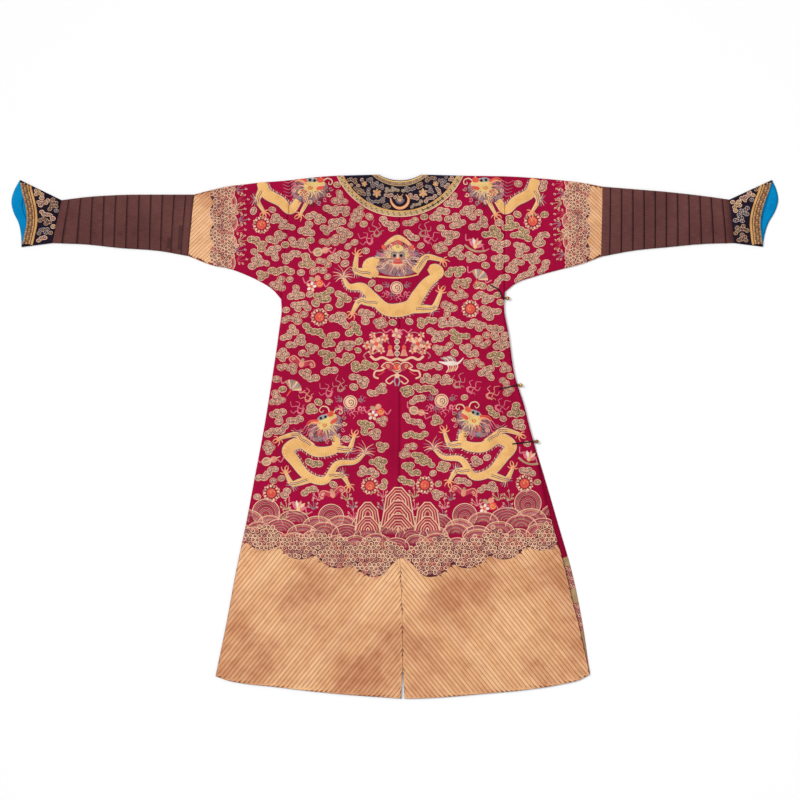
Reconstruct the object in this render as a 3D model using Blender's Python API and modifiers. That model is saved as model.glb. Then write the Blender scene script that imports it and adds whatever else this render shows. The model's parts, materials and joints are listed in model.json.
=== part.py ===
"""Chinese dragon robe, laid flat with its back uppermost.

Pattern sizes are in metres. u runs across the robe from the centre-back seam towards the wearer's
right sleeve, v runs down from the neck points to the hem, and z is height above the table.
The layers from the table up are the outer front, the under flap of the right front, and the back.
"""

import math
from collections import namedtuple

import bmesh
import bpy
import numpy as np
from mathutils import Vector
from mathutils.bvhtree import BVHTree

# ---- Driving sizes -------------------------------------------------------------------------
ROBE_LENGTH = 1.4151       # neck point to hem
MIDDLE_U = -0.0137         # u of the middle of the spread sleeves
CLOTH = 0.0014             # wall of the embroidered silk with its lining
SEAM = 0.0003              # gap between two pieces that are sewn together
LAYER = CLOTH + SEAM       # height that one layer of cloth takes
TRIM = 0.0010              # wall of facings and braids that lie on a panel
LEAST_LOFT = 0.0004        # what is left of the loft at an edge
LOFT = 0.0036              # how far the back stands clear of the layers under it
LOFT_REACH = 0.055         # distance from an edge at which the full loft is reached
FOLD_HEIGHT = 0.0046       # height of the doubled cloth beside the shoulder and sleeve folds

NECK_HALF_WIDTH = 0.0585
BACK_NECK_DROP = 0.0160
FRONT_NECK_DROP = 0.0780
COLLAR_HALF_WIDTH = 0.1715
BACK_COLLAR_DROP = 0.1150
SHOULDER_V = 0.003         # the shoulder fold beside the neck lies a little below the neck points
NECK_BORDER_SHARE = 0.16   # share of the collar's width taken by the neck border
OUTER_BORDER_SHARE = 0.155

SLIT_TOP_V = 1.316         # where the centre slit starts to gape
SLIT_HALF_GAP = 0.0040     # half of the gap at the hem
UNDER_FLAP_HEM_V = 1.300
RISE_START = 0.028         # the under flap starts to rise this far before the overlap's edge
RISE_END = 0.004
EDGING_WIDTH = 0.040
PLEATS = 11                # tucks round each sleeve extension
PLEAT_HEIGHT = 0.0016

BUTTON_RADIUS = 0.0052
BUTTON_NECK_RADIUS = 0.0013
CORD_RADIUS = 0.0009
CORD_SPACING = 0.0022      # between the two strands of a fastening loop
CORD_LIE = 0.0008          # gap under a strand, where the cloth beneath it is curved
BUTTON_REACH = 0.0088      # from the robe's edge to the middle of a ball button
EYE_REACH = 0.0019         # from the robe's edge to the loop's eye round the button's neck
EYE_RADIUS = 0.0031
LAID_GAP = 0.0006          # gap under a facing or braid, where the cloth beneath it is curved
BLEND = 0.0006             # rounding where the fold's height meets the loft
WELD = 1e-6

# The rounded cloth beside a fold: distance from the fold, and share of the height reached there.
Rim = namedtuple("Rim", "reach lift")
RIM = (Rim(0.0, 0.5), Rim(0.0014, 0.86), Rim(0.0042, 1.0))
SHOULDER_COLUMNS = (-0.2943, -0.288, -0.270, -0.240, -0.205, -0.1722)
RING_SHARES = (-1.0, -0.9, -0.72, -0.54, -0.36, -0.18, 0.0)
LAID_RING_SHARES = (-1.0, -0.985, -0.96, -0.9, -0.82, -0.73, -0.64, -0.54, -0.44, -0.33, -0.22, -0.11, 0.0)

Station = namedtuple("Station", "v u")
LEFT_SIDE = [Station(*row) for row in (
    (0.336, -0.3213), (0.360, -0.3195), (0.425, -0.327), (0.555, -0.346), (0.684, -0.367),
    (0.814, -0.3915), (0.944, -0.416), (1.073, -0.443), (1.203, -0.467), (1.355, -0.498))]
RIGHT_SIDE = [Station(*row) for row in (
    (0.317, 0.2835), (0.360, 0.281), (0.425, 0.292), (0.555, 0.313), (0.620, 0.334), (0.684, 0.350),
    (0.814, 0.389), (0.944, 0.427), (1.073, 0.464), (1.203, 0.491), (1.349, 0.513))]
# How far the sewn edge of the back lies inside the loose edge of the outer flap.
RIGHT_INSET = [Station(*row) for row in (
    (0.30, 0.0), (0.72, 0.0), (0.86, 0.012), (1.04, 0.016), (1.14, 0.016), (1.24, 0.009), (1.349, 0.001))]
CENTRE_SEAM = [Station(*row) for row in (
    (0.0, 0.0), (0.80, 0.0), (1.03, -0.001), (1.10, 0.003), (1.30, 0.007), (1.42, 0.0075))]
UNDER_FLAP_EDGE = [Station(*row) for row in (
    (0.170, 0.0), (0.26, -0.060), (0.36, -0.130), (0.46, -0.165), (0.60, -0.180), (1.35, -0.180))]

Along = namedtuple("Along", "u v")
SHOULDER = [Along(*row) for row in (
    (-0.2943, 0.0149), (-0.270, 0.012), (-0.216, 0.006), (-0.1715, SHOULDER_V), (-0.100, 0.002),
    (-NECK_HALF_WIDTH, 0.0), (NECK_HALF_WIDTH, 0.0), (0.100, 0.002), (0.1715, SHOULDER_V),
    (0.216, 0.0035), (0.2822, 0.0045))]
HEM = [Along(*row) for row in (
    (-0.498, 1.355), (-0.464, 1.367), (-0.432, 1.373), (-0.335, 1.384), (-0.270, 1.392), (-0.162, 1.403),
    (-0.054, 1.411), (0.010, 1.415), (0.108, 1.412), (0.216, 1.403), (0.335, 1.392), (0.432, 1.377),
    (0.497, 1.359), (0.513, 1.349))]
OVERLAP = [Along(*row) for row in (
    (0.0, 0.1760), (0.05, 0.179), (0.10, 0.189), (0.15, 0.208), (0.20, 0.237), (0.25, 0.280), (0.290, 0.329))]

Section = namedtuple("Section", "top_u top_v bottom_u bottom_v")
SLEEVE_LEFT = [Section(*row) for row in (
    (-0.2943, 0.0149, -0.3213, 0.3360), (-0.335, 0.0185, -0.346, 0.309), (-0.373, 0.021, -0.378, 0.289),
    (-0.416, 0.0260, -0.4185, 0.270), (-0.459, 0.0310, -0.462, 0.254), (-0.502, 0.040, -0.507, 0.245),
    (-0.556, 0.0540, -0.572, 0.220))]
SLEEVE_RIGHT = [Section(*row) for row in (
    (0.2822, 0.0045, 0.2835, 0.3170), (0.324, 0.0065, 0.316, 0.292), (0.367, 0.0095, 0.362, 0.276),
    (0.410, 0.0130, 0.408, 0.263), (0.454, 0.0175, 0.454, 0.251), (0.497, 0.023, 0.497, 0.239),
    (0.547, 0.0325, 0.5435, 0.2215))]
EXTENSION_LEFT = [Section(*row) for row in (
    (-0.556, 0.0540, -0.572, 0.2200), (-0.648, 0.054, -0.653, 0.206), (-0.756, 0.055, -0.761, 0.198),
    (-0.850, 0.0610, -0.858, 0.188), (-0.914, 0.069, -0.939, 0.185))]
EXTENSION_RIGHT = [Section(*row) for row in (
    (0.547, 0.0325, 0.5435, 0.2215), (0.627, 0.039, 0.627, 0.206), (0.724, 0.047, 0.724, 0.196),
    (0.821, 0.0580, 0.826, 0.187), (0.8895, 0.0675, 0.902, 0.185))]
CUFF_LEFT = [Section(*row) for row in (
    (-0.914, 0.069, -0.939, 0.185), (-1.0265, 0.0143, -1.0225, 0.1958))]
CUFF_RIGHT = [Section(*row) for row in (
    (0.8895, 0.0675, 0.902, 0.185), (1.005, 0.0143, 0.980, 0.1950))]

# How far the end of a cuff lies beyond the straight line between its corners. share runs from the top
# corner to the bottom one, back is the hollow edge that shows the lining, front is the rounded hoof.
Hoof = namedtuple("Hoof", "share back front")
CUFF_END = [Hoof(*row) for row in (
    (0.0, 0.0, 0.0), (0.14, -0.003, 0.015), (0.32, -0.011, 0.0245), (0.47, -0.0155, 0.020),
    (0.65, -0.0155, 0.006), (0.83, -0.008, 0.0005), (1.0, 0.0, 0.0))]
BRAID_WIDTH = 0.022
LINING_REACH = 0.030       # how far the lining is carried inside the cuff's mouth
LINING = 0.0010

# Soft ridges and troughs: from one end to the other, half width, and height (a trough is negative).
Fold = namedtuple("Fold", "u0 v0 u1 v1 half_width height")
FOLDS = [Fold(*row) for row in (
    (-0.290, 0.470, -0.185, 0.505, 0.020, -0.0030), (-0.205, 0.462, -0.090, 0.485, 0.018, -0.0032),
    (-0.280, 0.430, -0.100, 0.445, 0.034, 0.0022), (-0.270, 0.540, -0.140, 0.560, 0.040, 0.0020),
    (-0.195, 0.610, -0.165, 0.650, 0.018, -0.0022), (-0.010, 0.560, -0.008, 0.850, 0.014, -0.0024),
    (-0.040, 0.600, -0.038, 0.860, 0.022, 0.0014), (0.330, 0.200, 0.412, 0.240, 0.016, -0.0032),
    (0.382, 0.120, 0.410, 0.180, 0.016, -0.0026), (0.195, 0.145, 0.260, 0.170, 0.020, -0.0024),
    (0.165, 0.318, 0.235, 0.296, 0.018, -0.0022), (0.185, 0.425, 0.215, 0.450, 0.016, -0.0022),
    (0.255, 0.612, 0.305, 0.638, 0.015, -0.0026), (0.300, 0.160, 0.420, 0.200, 0.036, 0.0026),
    (-0.180, 0.050, -0.130, 0.080, 0.020, -0.0015), (-0.145, 0.098, -0.080, 0.115, 0.022, -0.0016),
    (-0.400, 0.120, -0.300, 0.215, 0.034, 0.0022), (-0.420, 0.200, -0.330, 0.262, 0.020, -0.0024),
    (-0.415, 1.150, -0.250, 1.385, 0.045, 0.0026), (-0.300, 1.120, -0.180, 1.390, 0.040, -0.0020),
    (0.160, 1.120, 0.250, 1.380, 0.045, 0.0026), (0.400, 1.150, 0.420, 1.360, 0.032, -0.0022),
    (-0.250, 0.800, -0.340, 1.080, 0.050, 0.0018), (0.230, 0.820, 0.330, 1.080, 0.050, 0.0018))]

# Each fastening on the wearer's right side: where its loop starts on the back, and where it crosses the edge.
Fastening = namedtuple("Fastening", "name start_u start_v bend_u bend_v edge_v")
FASTENINGS = [
    Fastening("underarm", 0.242, 0.297, 0.266, 0.311, 0.334),
    Fastening("waist", 0.267, 0.579, 0.292, 0.574, 0.569),
    Fastening("hip", 0.3025, 0.7275, 0.328, 0.7245, 0.721),
]

Finish = namedtuple("Finish", "name colour roughness metallic")
CRIMSON = Finish("crimson_silk", (0.34, 0.012, 0.055), 0.55, 0.0)
GOLD_HEM = Finish("striped_hem_silk", (0.70, 0.38, 0.17), 0.55, 0.0)
BROWN = Finish("brown_ribbed_silk", (0.115, 0.045, 0.038), 0.6, 0.0)
NAVY = Finish("navy_satin", (0.022, 0.014, 0.030), 0.5, 0.0)
BLUE = Finish("blue_lining", (0.0, 0.21, 0.45), 0.45, 0.0)
BRAID = Finish("gold_braid", (0.42, 0.28, 0.12), 0.5, 0.2)
CORD = Finish("black_cord", (0.012, 0.007, 0.008), 0.6, 0.0)
METAL = Finish("gilt_metal", (0.46, 0.38, 0.22), 0.35, 1.0)


# ---- Curves through the tables ---------------------------------------------------------------
class Smooth:
    """A smooth curve y(x) through the points of a table, straight beyond its ends."""

    def __init__(self, xs, ys):
        self.xs = np.array(xs, float)
        self.ys = np.array(ys, float)
        self.slopes = np.gradient(self.ys, self.xs)

    def __call__(self, x):
        x = min(max(float(x), self.xs[0]), self.xs[-1])
        i = min(max(int(np.searchsorted(self.xs, x)) - 1, 0), len(self.xs) - 2)
        step = self.xs[i + 1] - self.xs[i]
        t = (x - self.xs[i]) / step
        y = ((2 * t**3 - 3 * t**2 + 1) * self.ys[i] + (t**3 - 2 * t**2 + t) * step * self.slopes[i]
             + (3 * t**2 - 2 * t**3) * self.ys[i + 1] + (t**3 - t**2) * step * self.slopes[i + 1])
        return float(y)


def by_v(table):
    """u as a function of v."""
    return Smooth([row.v for row in table], [row.u for row in table])


def by_u(table):
    """v as a function of u."""
    return Smooth([row.u for row in table], [row.v for row in table])


def mix(a, b, share):
    """The value that lies this share of the way from a to b."""
    return a + (b - a) * share


def ease(t):
    """Rises smoothly from 0 to 1."""
    t = min(1.0, max(0.0, t))
    return t * t * (3 - 2 * t)


def steps(start, end, count):
    """count even steps from start to end, with the start and without the end."""
    return [mix(start, end, i / count) for i in range(count)]


side_left = by_v(LEFT_SIDE)
side_right = by_v(RIGHT_SIDE)
inset_right = by_v(RIGHT_INSET)
centre_seam = by_v(CENTRE_SEAM)
flap_edge = by_v(UNDER_FLAP_EDGE)
shoulder = by_u(SHOULDER)
hem = by_u(HEM)
overlap = by_u(OVERLAP)


def left_edge(v):
    """The left edge of the body: the straight armhole seam, then the side."""
    top, underarm = SLEEVE_LEFT[0], LEFT_SIDE[0]
    seam = np.interp(v, [top.top_v, underarm.v], [top.top_u, underarm.u]) + SEAM / 2
    return float(seam) if v < underarm.v else side_left(v)


def right_edge(v):
    """The right edge of the outer front."""
    top, underarm = SLEEVE_RIGHT[0], RIGHT_SIDE[0]
    seam = np.interp(v, [top.top_v, underarm.v], [top.top_u, underarm.u]) - SEAM / 2
    return float(seam) if v < underarm.v else side_right(v)


def right_sewn_edge(v):
    """The right edge of the back and of the under flap, which are sewn together."""
    return right_edge(v) - max(0.0, inset_right(v))


def slit_gap(v):
    """Half of the gap at the centre seams."""
    return SEAM / 2 + SLIT_HALF_GAP * ease((v - SLIT_TOP_V) / (ROBE_LENGTH - SLIT_TOP_V))


def left_of_centre(v):
    return centre_seam(v) - slit_gap(v)


def right_of_centre(v):
    return centre_seam(v) + slit_gap(v)


class Arc:
    """The lower arc of a circle that is half_width wide each side at the shoulder and reaches down to drop."""

    def __init__(self, half_width, drop, shoulder_v=0.0):
        depth = drop - shoulder_v
        self.radius = (half_width**2 + depth**2) / (2 * depth)
        self.centre_v = drop - self.radius
        self.end_angle = math.acos(max(-1.0, min(1.0, (shoulder_v - self.centre_v) / self.radius)))

    def at(self, share, outset=0.0):
        """(u, v) at a share from -1 at the left end to 1 at the right end, moved out by outset."""
        angle = share * self.end_angle
        radius = self.radius + outset
        return radius * math.sin(angle), self.centre_v + radius * math.cos(angle)


BACK_NECK = Arc(NECK_HALF_WIDTH, BACK_NECK_DROP)
FRONT_NECK = Arc(NECK_HALF_WIDTH, FRONT_NECK_DROP)
BACK_COLLAR = Arc(COLLAR_HALF_WIDTH, BACK_COLLAR_DROP, SHOULDER_V)
FRONT_COLLAR = Arc(COLLAR_HALF_WIDTH, SHOULDER_V + COLLAR_HALF_WIDTH, SHOULDER_V)


# ---- Heights -----------------------------------------------------------------------------------
def outline():
    """Lines along every edge where the cloth is folded or sewn down, for the loft to fade out towards."""
    lines = []
    for table in (SLEEVE_LEFT + EXTENSION_LEFT[1:] + CUFF_LEFT[1:], SLEEVE_RIGHT + EXTENSION_RIGHT[1:] + CUFF_RIGHT[1:]):
        lines.append([(row.top_u, row.top_v) for row in table])
        lines.append([(row.bottom_u, row.bottom_v) for row in table])
    for table in (SHOULDER, LEFT_SIDE, RIGHT_SIDE):
        lines.append([(row.u, row.v) for row in table])
    return [(np.array(start), np.array(end)) for line in lines for start, end in zip(line, line[1:])]


OUTLINE = outline()


def from_segment(u, v, start, end):
    """(distance, share along) of a point from a straight segment."""
    along = (end[0] - start[0], end[1] - start[1])
    share = ((u - start[0]) * along[0] + (v - start[1]) * along[1]) / (along[0] ** 2 + along[1] ** 2)
    held = min(1.0, max(0.0, share))
    return math.hypot(u - start[0] - held * along[0], v - start[1] - held * along[1]), share


def fold_height(u, v):
    """The soft ridges and troughs added together."""
    total = 0.0
    for fold in FOLDS:
        distance, share = from_segment(u, v, (fold.u0, fold.v0), (fold.u1, fold.v1))
        fade = ease(1.25 - abs(share - 0.5) * 2) if 0.0 < share < 1.0 else 0.0
        total += fold.height * fade * math.exp(-((distance / fold.half_width) ** 2))
    return total


def flap_rise(u, v, ahead=0.0):
    """0 where the under flap lies on the table, 1 where the overlap lies beneath it."""
    return ease((v - overlap(u) + RISE_START + ahead) / (RISE_START - RISE_END))


def third_layer(u, v):
    """0 where two layers lie under the back's top face, 1 where the under flap makes three."""
    past_edge = ease((u - flap_edge(v) + 0.075) / 0.040)
    above_hem = 1.0 - ease((v - UNDER_FLAP_HEM_V - 0.035) / 0.030)
    return past_edge * above_hem * flap_rise(u, v, ahead=0.050)


def back_height(u, v):
    """Height of the back's top face above the table."""
    base = LAYER + CLOTH + LAYER * third_layer(u, v)
    near_edge = min(from_segment(u, v, start, end)[0] for start, end in OUTLINE)
    near_hem = 1.0 - 0.6 * ease((v - 1.25) / 0.13)
    lofted = base + LEAST_LOFT + (LOFT + fold_height(u, v)) * near_hem * ease(near_edge / LOFT_REACH)
    folded = mix(FOLD_HEIGHT, base, ease((v - 0.25) / 0.08))
    return (folded + lofted + math.hypot(folded - lofted, BLEND)) / 2


def tube_height(u, v):
    """Height of a flattened sleeve's top face."""
    return max(FOLD_HEIGHT, back_height(u, v))


def flat(u, v):
    """The outer face of the front lies on the table."""
    return 0.0


# ---- Building ------------------------------------------------------------------------------------
def place(u, v, z):
    """A pattern point in the model's own axes."""
    return u - MIDDLE_U, ROBE_LENGTH / 2 - v, z


def material_of(finish):
    """The Principled material of a finish, made once."""
    found = bpy.data.materials.get(finish.name)
    if found:
        return found
    material = bpy.data.materials.new(finish.name)
    material.use_nodes = True
    shader = material.node_tree.nodes["Principled BSDF"]
    shader.inputs["Base Color"].default_value = (*finish.colour, 1.0)
    shader.inputs["Roughness"].default_value = finish.roughness
    shader.inputs["Metallic"].default_value = finish.metallic
    return material


def link(obj, finish):
    """Puts an object in the robe's collection with its material."""
    obj.data.materials.append(material_of(finish))
    ROBE.objects.link(obj)
    return obj


def cloth(name, grids, wall, finish, outer_is_up=True):
    """A piece of cloth: grids bent to rows of points on its outer face, welded and thickened inwards."""
    mesh = bpy.data.meshes.new(name)
    shape = bmesh.new()
    for rows in grids:
        rows = np.array(rows)
        made = bmesh.ops.create_grid(
            shape, x_segments=rows.shape[1] - 1, y_segments=rows.shape[0] - 1, size=1.0)
        for vertex, point in zip(made["verts"], rows.reshape(-1, 3)):
            vertex.co = point
    bmesh.ops.remove_doubles(shape, verts=shape.verts, dist=WELD)
    bmesh.ops.recalc_face_normals(shape, faces=shape.faces)
    highest = max(shape.faces, key=lambda face: face.calc_center_median().z)
    if (highest.normal.z > 0) != outer_is_up:
        bmesh.ops.reverse_faces(shape, faces=shape.faces)
    shape.to_mesh(mesh)
    shape.free()
    mesh.shade_smooth()
    obj = link(bpy.data.objects.new(name, mesh), finish)
    solid = obj.modifiers.new("wall", "SOLIDIFY")
    solid.thickness = wall
    solid.offset = -1.0
    return obj


def surface_of(*pieces):
    """The outer faces of some pieces as one search tree."""
    points, faces = [], []
    for piece in pieces:
        first = len(points)
        points += [vertex.co.copy() for vertex in piece.data.vertices]
        faces += [[first + i for i in face.vertices] for face in piece.data.polygons]
    return BVHTree.FromPolygons(points, faces)


def lay_on(surface, u, v, lift):
    """A point lift above the highest cloth at (u, v)."""
    x, y, _ = place(u, v, 0.0)
    hit = surface.ray_cast(Vector((x, y, 1.0)), Vector((0.0, 0.0, -1.0)))[0]
    if hit is None:
        hit = surface.find_nearest(Vector((x, y, FOLD_HEIGHT)))[0]
    return x, y, hit.z + lift


def column_of(u, left, right, tops):
    """(share across, top v) of a column that starts at (u, tops)."""
    across = (u - left(tops)) / (right(tops) - left(tops))
    return min(1.0, max(0.0, across)), tops


def body_grid(columns, edges, height, folded=0, rim=()):
    """Rows of points of a body panel.

    columns holds (share across, list of v) for each column. At the first `folded` columns, the cloth
    rounds the shoulder fold, and the first rows stand at the shares of the height that rim gives.
    """
    left, right = edges
    lines = []
    for index, (across, stations) in enumerate(columns):
        line = []
        for row, v in enumerate(stations):
            u = mix(left(v), right(v), across)
            lift = rim[row] if index < folded and row < len(rim) else 1.0
            line.append(place(u, v, lift * height(u, v) if lift > 0 else 0.0))
        lines.append(line)
    return [list(row) for row in zip(*lines)]


def back_stations(top_v, underarm_v, bottom_v):
    """The v of each row of a back panel's column."""
    rows = [top_v, top_v + RIM[1].reach, top_v + RIM[2].reach, top_v + 0.014, top_v + 0.030]
    rows += steps(top_v + 0.050, underarm_v, 6)
    rows += steps(underarm_v, 0.700, 12)
    rows += steps(0.700, bottom_v - 0.008, 12)
    return rows + [bottom_v - 0.008, bottom_v]


def front_stations(top_v, underarm_v, bottom_v):
    """The v of each row of the left front's column."""
    return [top_v, top_v + RIM[2].reach] + steps(max(underarm_v, top_v + 0.05), bottom_v, 18) + [bottom_v]


def flap_stations(across, top_v):
    """The v of each row of the under flap's column: two rows follow the overlap's edge."""
    crossing = 0.25
    for _ in range(6):
        crossing = overlap(mix(flap_edge(crossing), right_sewn_edge(crossing), across))
    start = max(crossing - RISE_START, top_v + 0.008)
    end = max(crossing - RISE_END, start + 0.004)
    rows = [top_v] + steps(top_v + RIM[2].reach, start, 3) + [start, end]
    return rows + steps(end + 0.02, UNDER_FLAP_HEM_V, 20) + [UNDER_FLAP_HEM_V]


def hem_below(left, right, across):
    """v of the hem at a share across."""
    v = ROBE_LENGTH
    for _ in range(6):
        v = hem(mix(left(v), right(v), across))
    return v


def make_left_half():
    """The left half: one length of cloth over the shoulder, from the back hem to the front hem."""
    edges = (left_edge, left_of_centre)
    neck = [BACK_NECK.at(share) for share in (-1.0, -0.67, -0.33, -0.06, 0.0)]
    under_collar = [(u, shoulder(u)) for u in (-0.135, -0.095)]
    folded = [(u, shoulder(u)) for u in SHOULDER_COLUMNS]
    back = []
    for u, top_v in folded + under_collar + neck:
        across, _ = column_of(u, *edges, top_v)
        back.append((across, back_stations(top_v, LEFT_SIDE[0].v, hem_below(*edges, across))))
    front = []
    for u, top_v in folded + [FRONT_COLLAR.at(share, SEAM / 2) for share in RING_SHARES[1:]]:
        across, _ = column_of(u, *edges, top_v)
        front.append((across, front_stations(top_v, LEFT_SIDE[0].v, hem_below(*edges, across))))
    count = len(folded)
    grids = [body_grid(back, edges, back_height, count, [row.lift for row in RIM]),
             body_grid(front, edges, front_rim, count, (1.0,))]
    return cloth("left_half", grids, CLOTH, CRIMSON)


def front_rim(u, v):
    """The front lies on the table, and rises to the middle of the fold at the shoulder line itself."""
    on_fold = abs(v - shoulder(u)) < 1e-6 and abs(u) > COLLAR_HALF_WIDTH
    return back_height(u, v) * RIM[0].lift if on_fold else 0.0


def make_right_half():
    """The right half: one length from the back hem over the shoulder to the hem of the under flap."""
    back_edges = (right_of_centre, right_sewn_edge)
    neck = [BACK_NECK.at(share) for share in (1.0, 0.67, 0.33, 0.06, 0.0)]
    under_collar = [(u, shoulder(u)) for u in (0.135, 0.095)]
    folded = [(mix(0.2822, COLLAR_HALF_WIDTH + 0.0007, i / 5), 0.0) for i in range(6)]
    folded = [(u, shoulder(u)) for u, _ in folded]
    back = []
    for u, top_v in folded + under_collar + neck:
        across, _ = column_of(u, *back_edges, top_v)
        back.append((across, back_stations(top_v, RIGHT_SIDE[0].v, hem_below(*back_edges, across))))
    flap_edges = (flap_edge, right_sewn_edge)
    flap = []
    for u, top_v in folded + [FRONT_COLLAR.at(-share, SEAM / 2) for share in RING_SHARES[1:]]:
        across, _ = column_of(u, *flap_edges, top_v)
        flap.append((across, flap_stations(across, top_v)))
    count = len(folded)
    grids = [body_grid(back, back_edges, back_height, count, [row.lift for row in RIM]),
             body_grid(flap, flap_edges, flap_rim, count, (1.0,))]
    return cloth("right_half", grids, CLOTH, CRIMSON)


def flap_rim(u, v):
    """Height of the under flap's outer face."""
    return front_rim(u, v) or LAYER * flap_rise(u, v)


def make_overlap():
    """The outer overlap, sewn to the left half at the centre front, and the edging of its opening."""
    edges = (right_of_centre, right_edge)
    columns, edging = [], []
    for across in steps(0.0, 1.0, 9) + [1.0]:
        top_v = 0.25
        for _ in range(6):
            top_v = overlap(mix(edges[0](top_v), edges[1](top_v), across))
        edging.append((across, [top_v, top_v + EDGING_WIDTH]))
        start = top_v + EDGING_WIDTH + SEAM
        columns.append((across, front_stations(start, LEFT_SIDE[0].v, hem_below(*edges, across))))
    cloth("front_overlap", [body_grid(columns, edges, flat)], CLOTH, CRIMSON, outer_is_up=False)
    cloth("overlap_edging", [body_grid(edging, edges, flat)], CLOTH, NAVY, outer_is_up=False)


def collar_band(name, arcs, span, rows, wall, finish, spot, outer_is_up=True):
    """A band of the collar facing over a span of the collar's width. spot places a point of it."""
    inner, outer = arcs
    near_centre = RING_SHARES if outer_is_up is False else LAID_RING_SHARES
    shares = near_centre + tuple(-share for share in reversed(near_centre[:-1]))
    grid = []
    for across in steps(*span, rows) + [span[1]]:
        line = []
        for share in shares:
            near, far = inner.at(share), outer.at(share, -SEAM / 2)
            line.append(spot(mix(near[0], far[0], across), mix(near[1], far[1], across)))
        grid.append(line)
    cloth(name, [grid], wall, finish, outer_is_up)


def make_collar(backs):
    """The collar facing: it lies on the back panels, and is let into the front ones."""
    surface = surface_of(*backs)
    gap = SEAM / (BACK_COLLAR_DROP - BACK_NECK_DROP)
    bands = (("neck_border", (0.0, NECK_BORDER_SHARE), 1, BRAID),
             ("field", (NECK_BORDER_SHARE + gap, 1.0 - OUTER_BORDER_SHARE), 8, NAVY),
             ("outer_border", (1.0 - OUTER_BORDER_SHARE + gap, 1.0), 1, BRAID))
    for part, span, rows, finish in bands:
        collar_band("collar_back_" + part, (BACK_NECK, BACK_COLLAR), span, rows, TRIM, finish,
                    lambda u, v: lay_on(surface, u, v, LAID_GAP + TRIM))
        collar_band("collar_front_" + part, (FRONT_NECK, FRONT_COLLAR), span, 1, CLOTH, finish,
                    lambda u, v: place(u, v, 0.0), outer_is_up=False)


def section_at(table, share):
    """A section part of the way along a table of sections, on smooth curves through them."""
    keys = [abs(row.top_u - table[0].top_u) for row in table]
    at = share * keys[-1]
    return Section(*(Smooth(keys, [row[i] for row in table])(at) for i in range(4)))


def tube(name, table, rings, finish, inner_shares, ends, hoof=None):
    """A flattened tube through the sections of a table.

    rings holds (share along, extra height) for each ring, and inner_shares the points across its width.
    ends holds how far each ring at share 0 is set back, and then the one at share 1. hoof shapes the
    back and the front of the far end.
    """
    outward = math.copysign(1.0, table[-1].top_u - table[0].top_u)
    grid = []
    for index, (share, extra) in enumerate(rings):
        row = section_at(table, share)
        width = row.bottom_v - row.top_v
        inset = outward * (ends[index] if share == 0.0 else -ends[-1] if share == 1.0 else 0.0)
        back = [(rim.reach / width, rim.lift) for rim in RIM]
        back += [(inner, 1.0) for inner in inner_shares]
        back += [(1.0 - reach, lift) for reach, lift in reversed(back[:len(RIM)])]
        front = [(1.0 - RIM[-1].reach / width, 0.0)]
        front += [(inner, 0.0) for inner in reversed(inner_shares)]
        front += [(RIM[-1].reach / width, 0.0)]
        line = []
        for is_back, (down, lift) in [(True, point) for point in back] + [(False, point) for point in front]:
            u = mix(row.top_u, row.bottom_u, down) + inset
            v = mix(row.top_v, row.bottom_v, down)
            z = (tube_height(u, v) + extra) * lift
            if hoof:
                u += outward * share * (hoof[0] if is_back else hoof[1])(down)
            line.append(place(u, v, z))
        grid.append(line + line[:1])
    return cloth(name, [grid], CLOTH, finish)


def make_sleeves():
    """The upper sleeves, the pleated extensions and the horse-hoof cuffs."""
    rings = [(share, 0.0) for share in [0.0] + steps(0.0, 1.0, 9) + [1.0]]
    inner = (0.05, 0.15, 0.29, 0.43, 0.57, 0.71, 0.85, 0.95)
    for side, table in (("left", SLEEVE_LEFT), ("right", SLEEVE_RIGHT)):
        tube("sleeve_" + side, table, rings, CRIMSON, inner, (SEAM / 2, 0.0015, SEAM / 2))

    rings = [(0.0, 0.0)]
    for i in range(PLEATS):
        crest = (i + 0.70) / (PLEATS + 0.35)
        rings += [(crest, PLEAT_HEIGHT), (crest + 0.008, 0.0)]
    rings.append((1.0, 0.0))
    inner = (0.12, 0.35, 0.65, 0.88)
    for side, table in (("left", EXTENSION_LEFT), ("right", EXTENSION_RIGHT)):
        tube("sleeve_extension_" + side, table, rings, BROWN, inner, (SEAM / 2, SEAM / 2))

    rings = [(share, 0.0) for share in steps(0.0, 1.0, 4) + [1.0]]
    inner = (0.07, 0.15, 0.26, 0.38, 0.50, 0.62, 0.74, 0.85, 0.93)
    shares = [row.share for row in CUFF_END]
    hoof = (Smooth(shares, [row.back for row in CUFF_END]), Smooth(shares, [row.front for row in CUFF_END]))
    for side, table in (("left", CUFF_LEFT), ("right", CUFF_RIGHT)):
        cuff = tube("cuff_" + side, table, rings, NAVY, inner, (SEAM / 2, 0.0), hoof)
        surface = surface_of(cuff)
        cuff_strip("cuff_lining_" + side, table, hoof[1], (0.055, 0.945), (LINING_REACH, 0.001), LINING, BLUE,
                   lambda u, v: place(u, v, CLOTH + SEAM + LINING))
        cuff_strip("cuff_braid_" + side, table, hoof[0], (0.040, 0.960), (BRAID_WIDTH, 0.0005), TRIM, BRAID,
                   lambda u, v: lay_on(surface, u, v, LAID_GAP + TRIM))


def cuff_strip(name, table, end_curve, span, reach, wall, finish, spot):
    """A strip along the end of a cuff, over a span of its width and from one reach back to the other."""
    wrist, end = table
    run = end.top_u - wrist.top_u
    outward = math.copysign(1.0, run)
    grid = []
    for back in (reach[0], (reach[0] + reach[1]) / 2, reach[1]):
        line = []
        for down in steps(*span, 14) + [span[1]]:
            taper = mix(wrist.top_v - end.top_v, wrist.bottom_v - end.bottom_v, down) / abs(run)
            u = mix(end.top_u, end.bottom_u, down) + outward * (end_curve(down) - back)
            line.append(spot(u, mix(end.top_v, end.bottom_v, down) + taper * back))
        grid.append(line)
    cloth(name, [grid], wall, finish)


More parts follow.
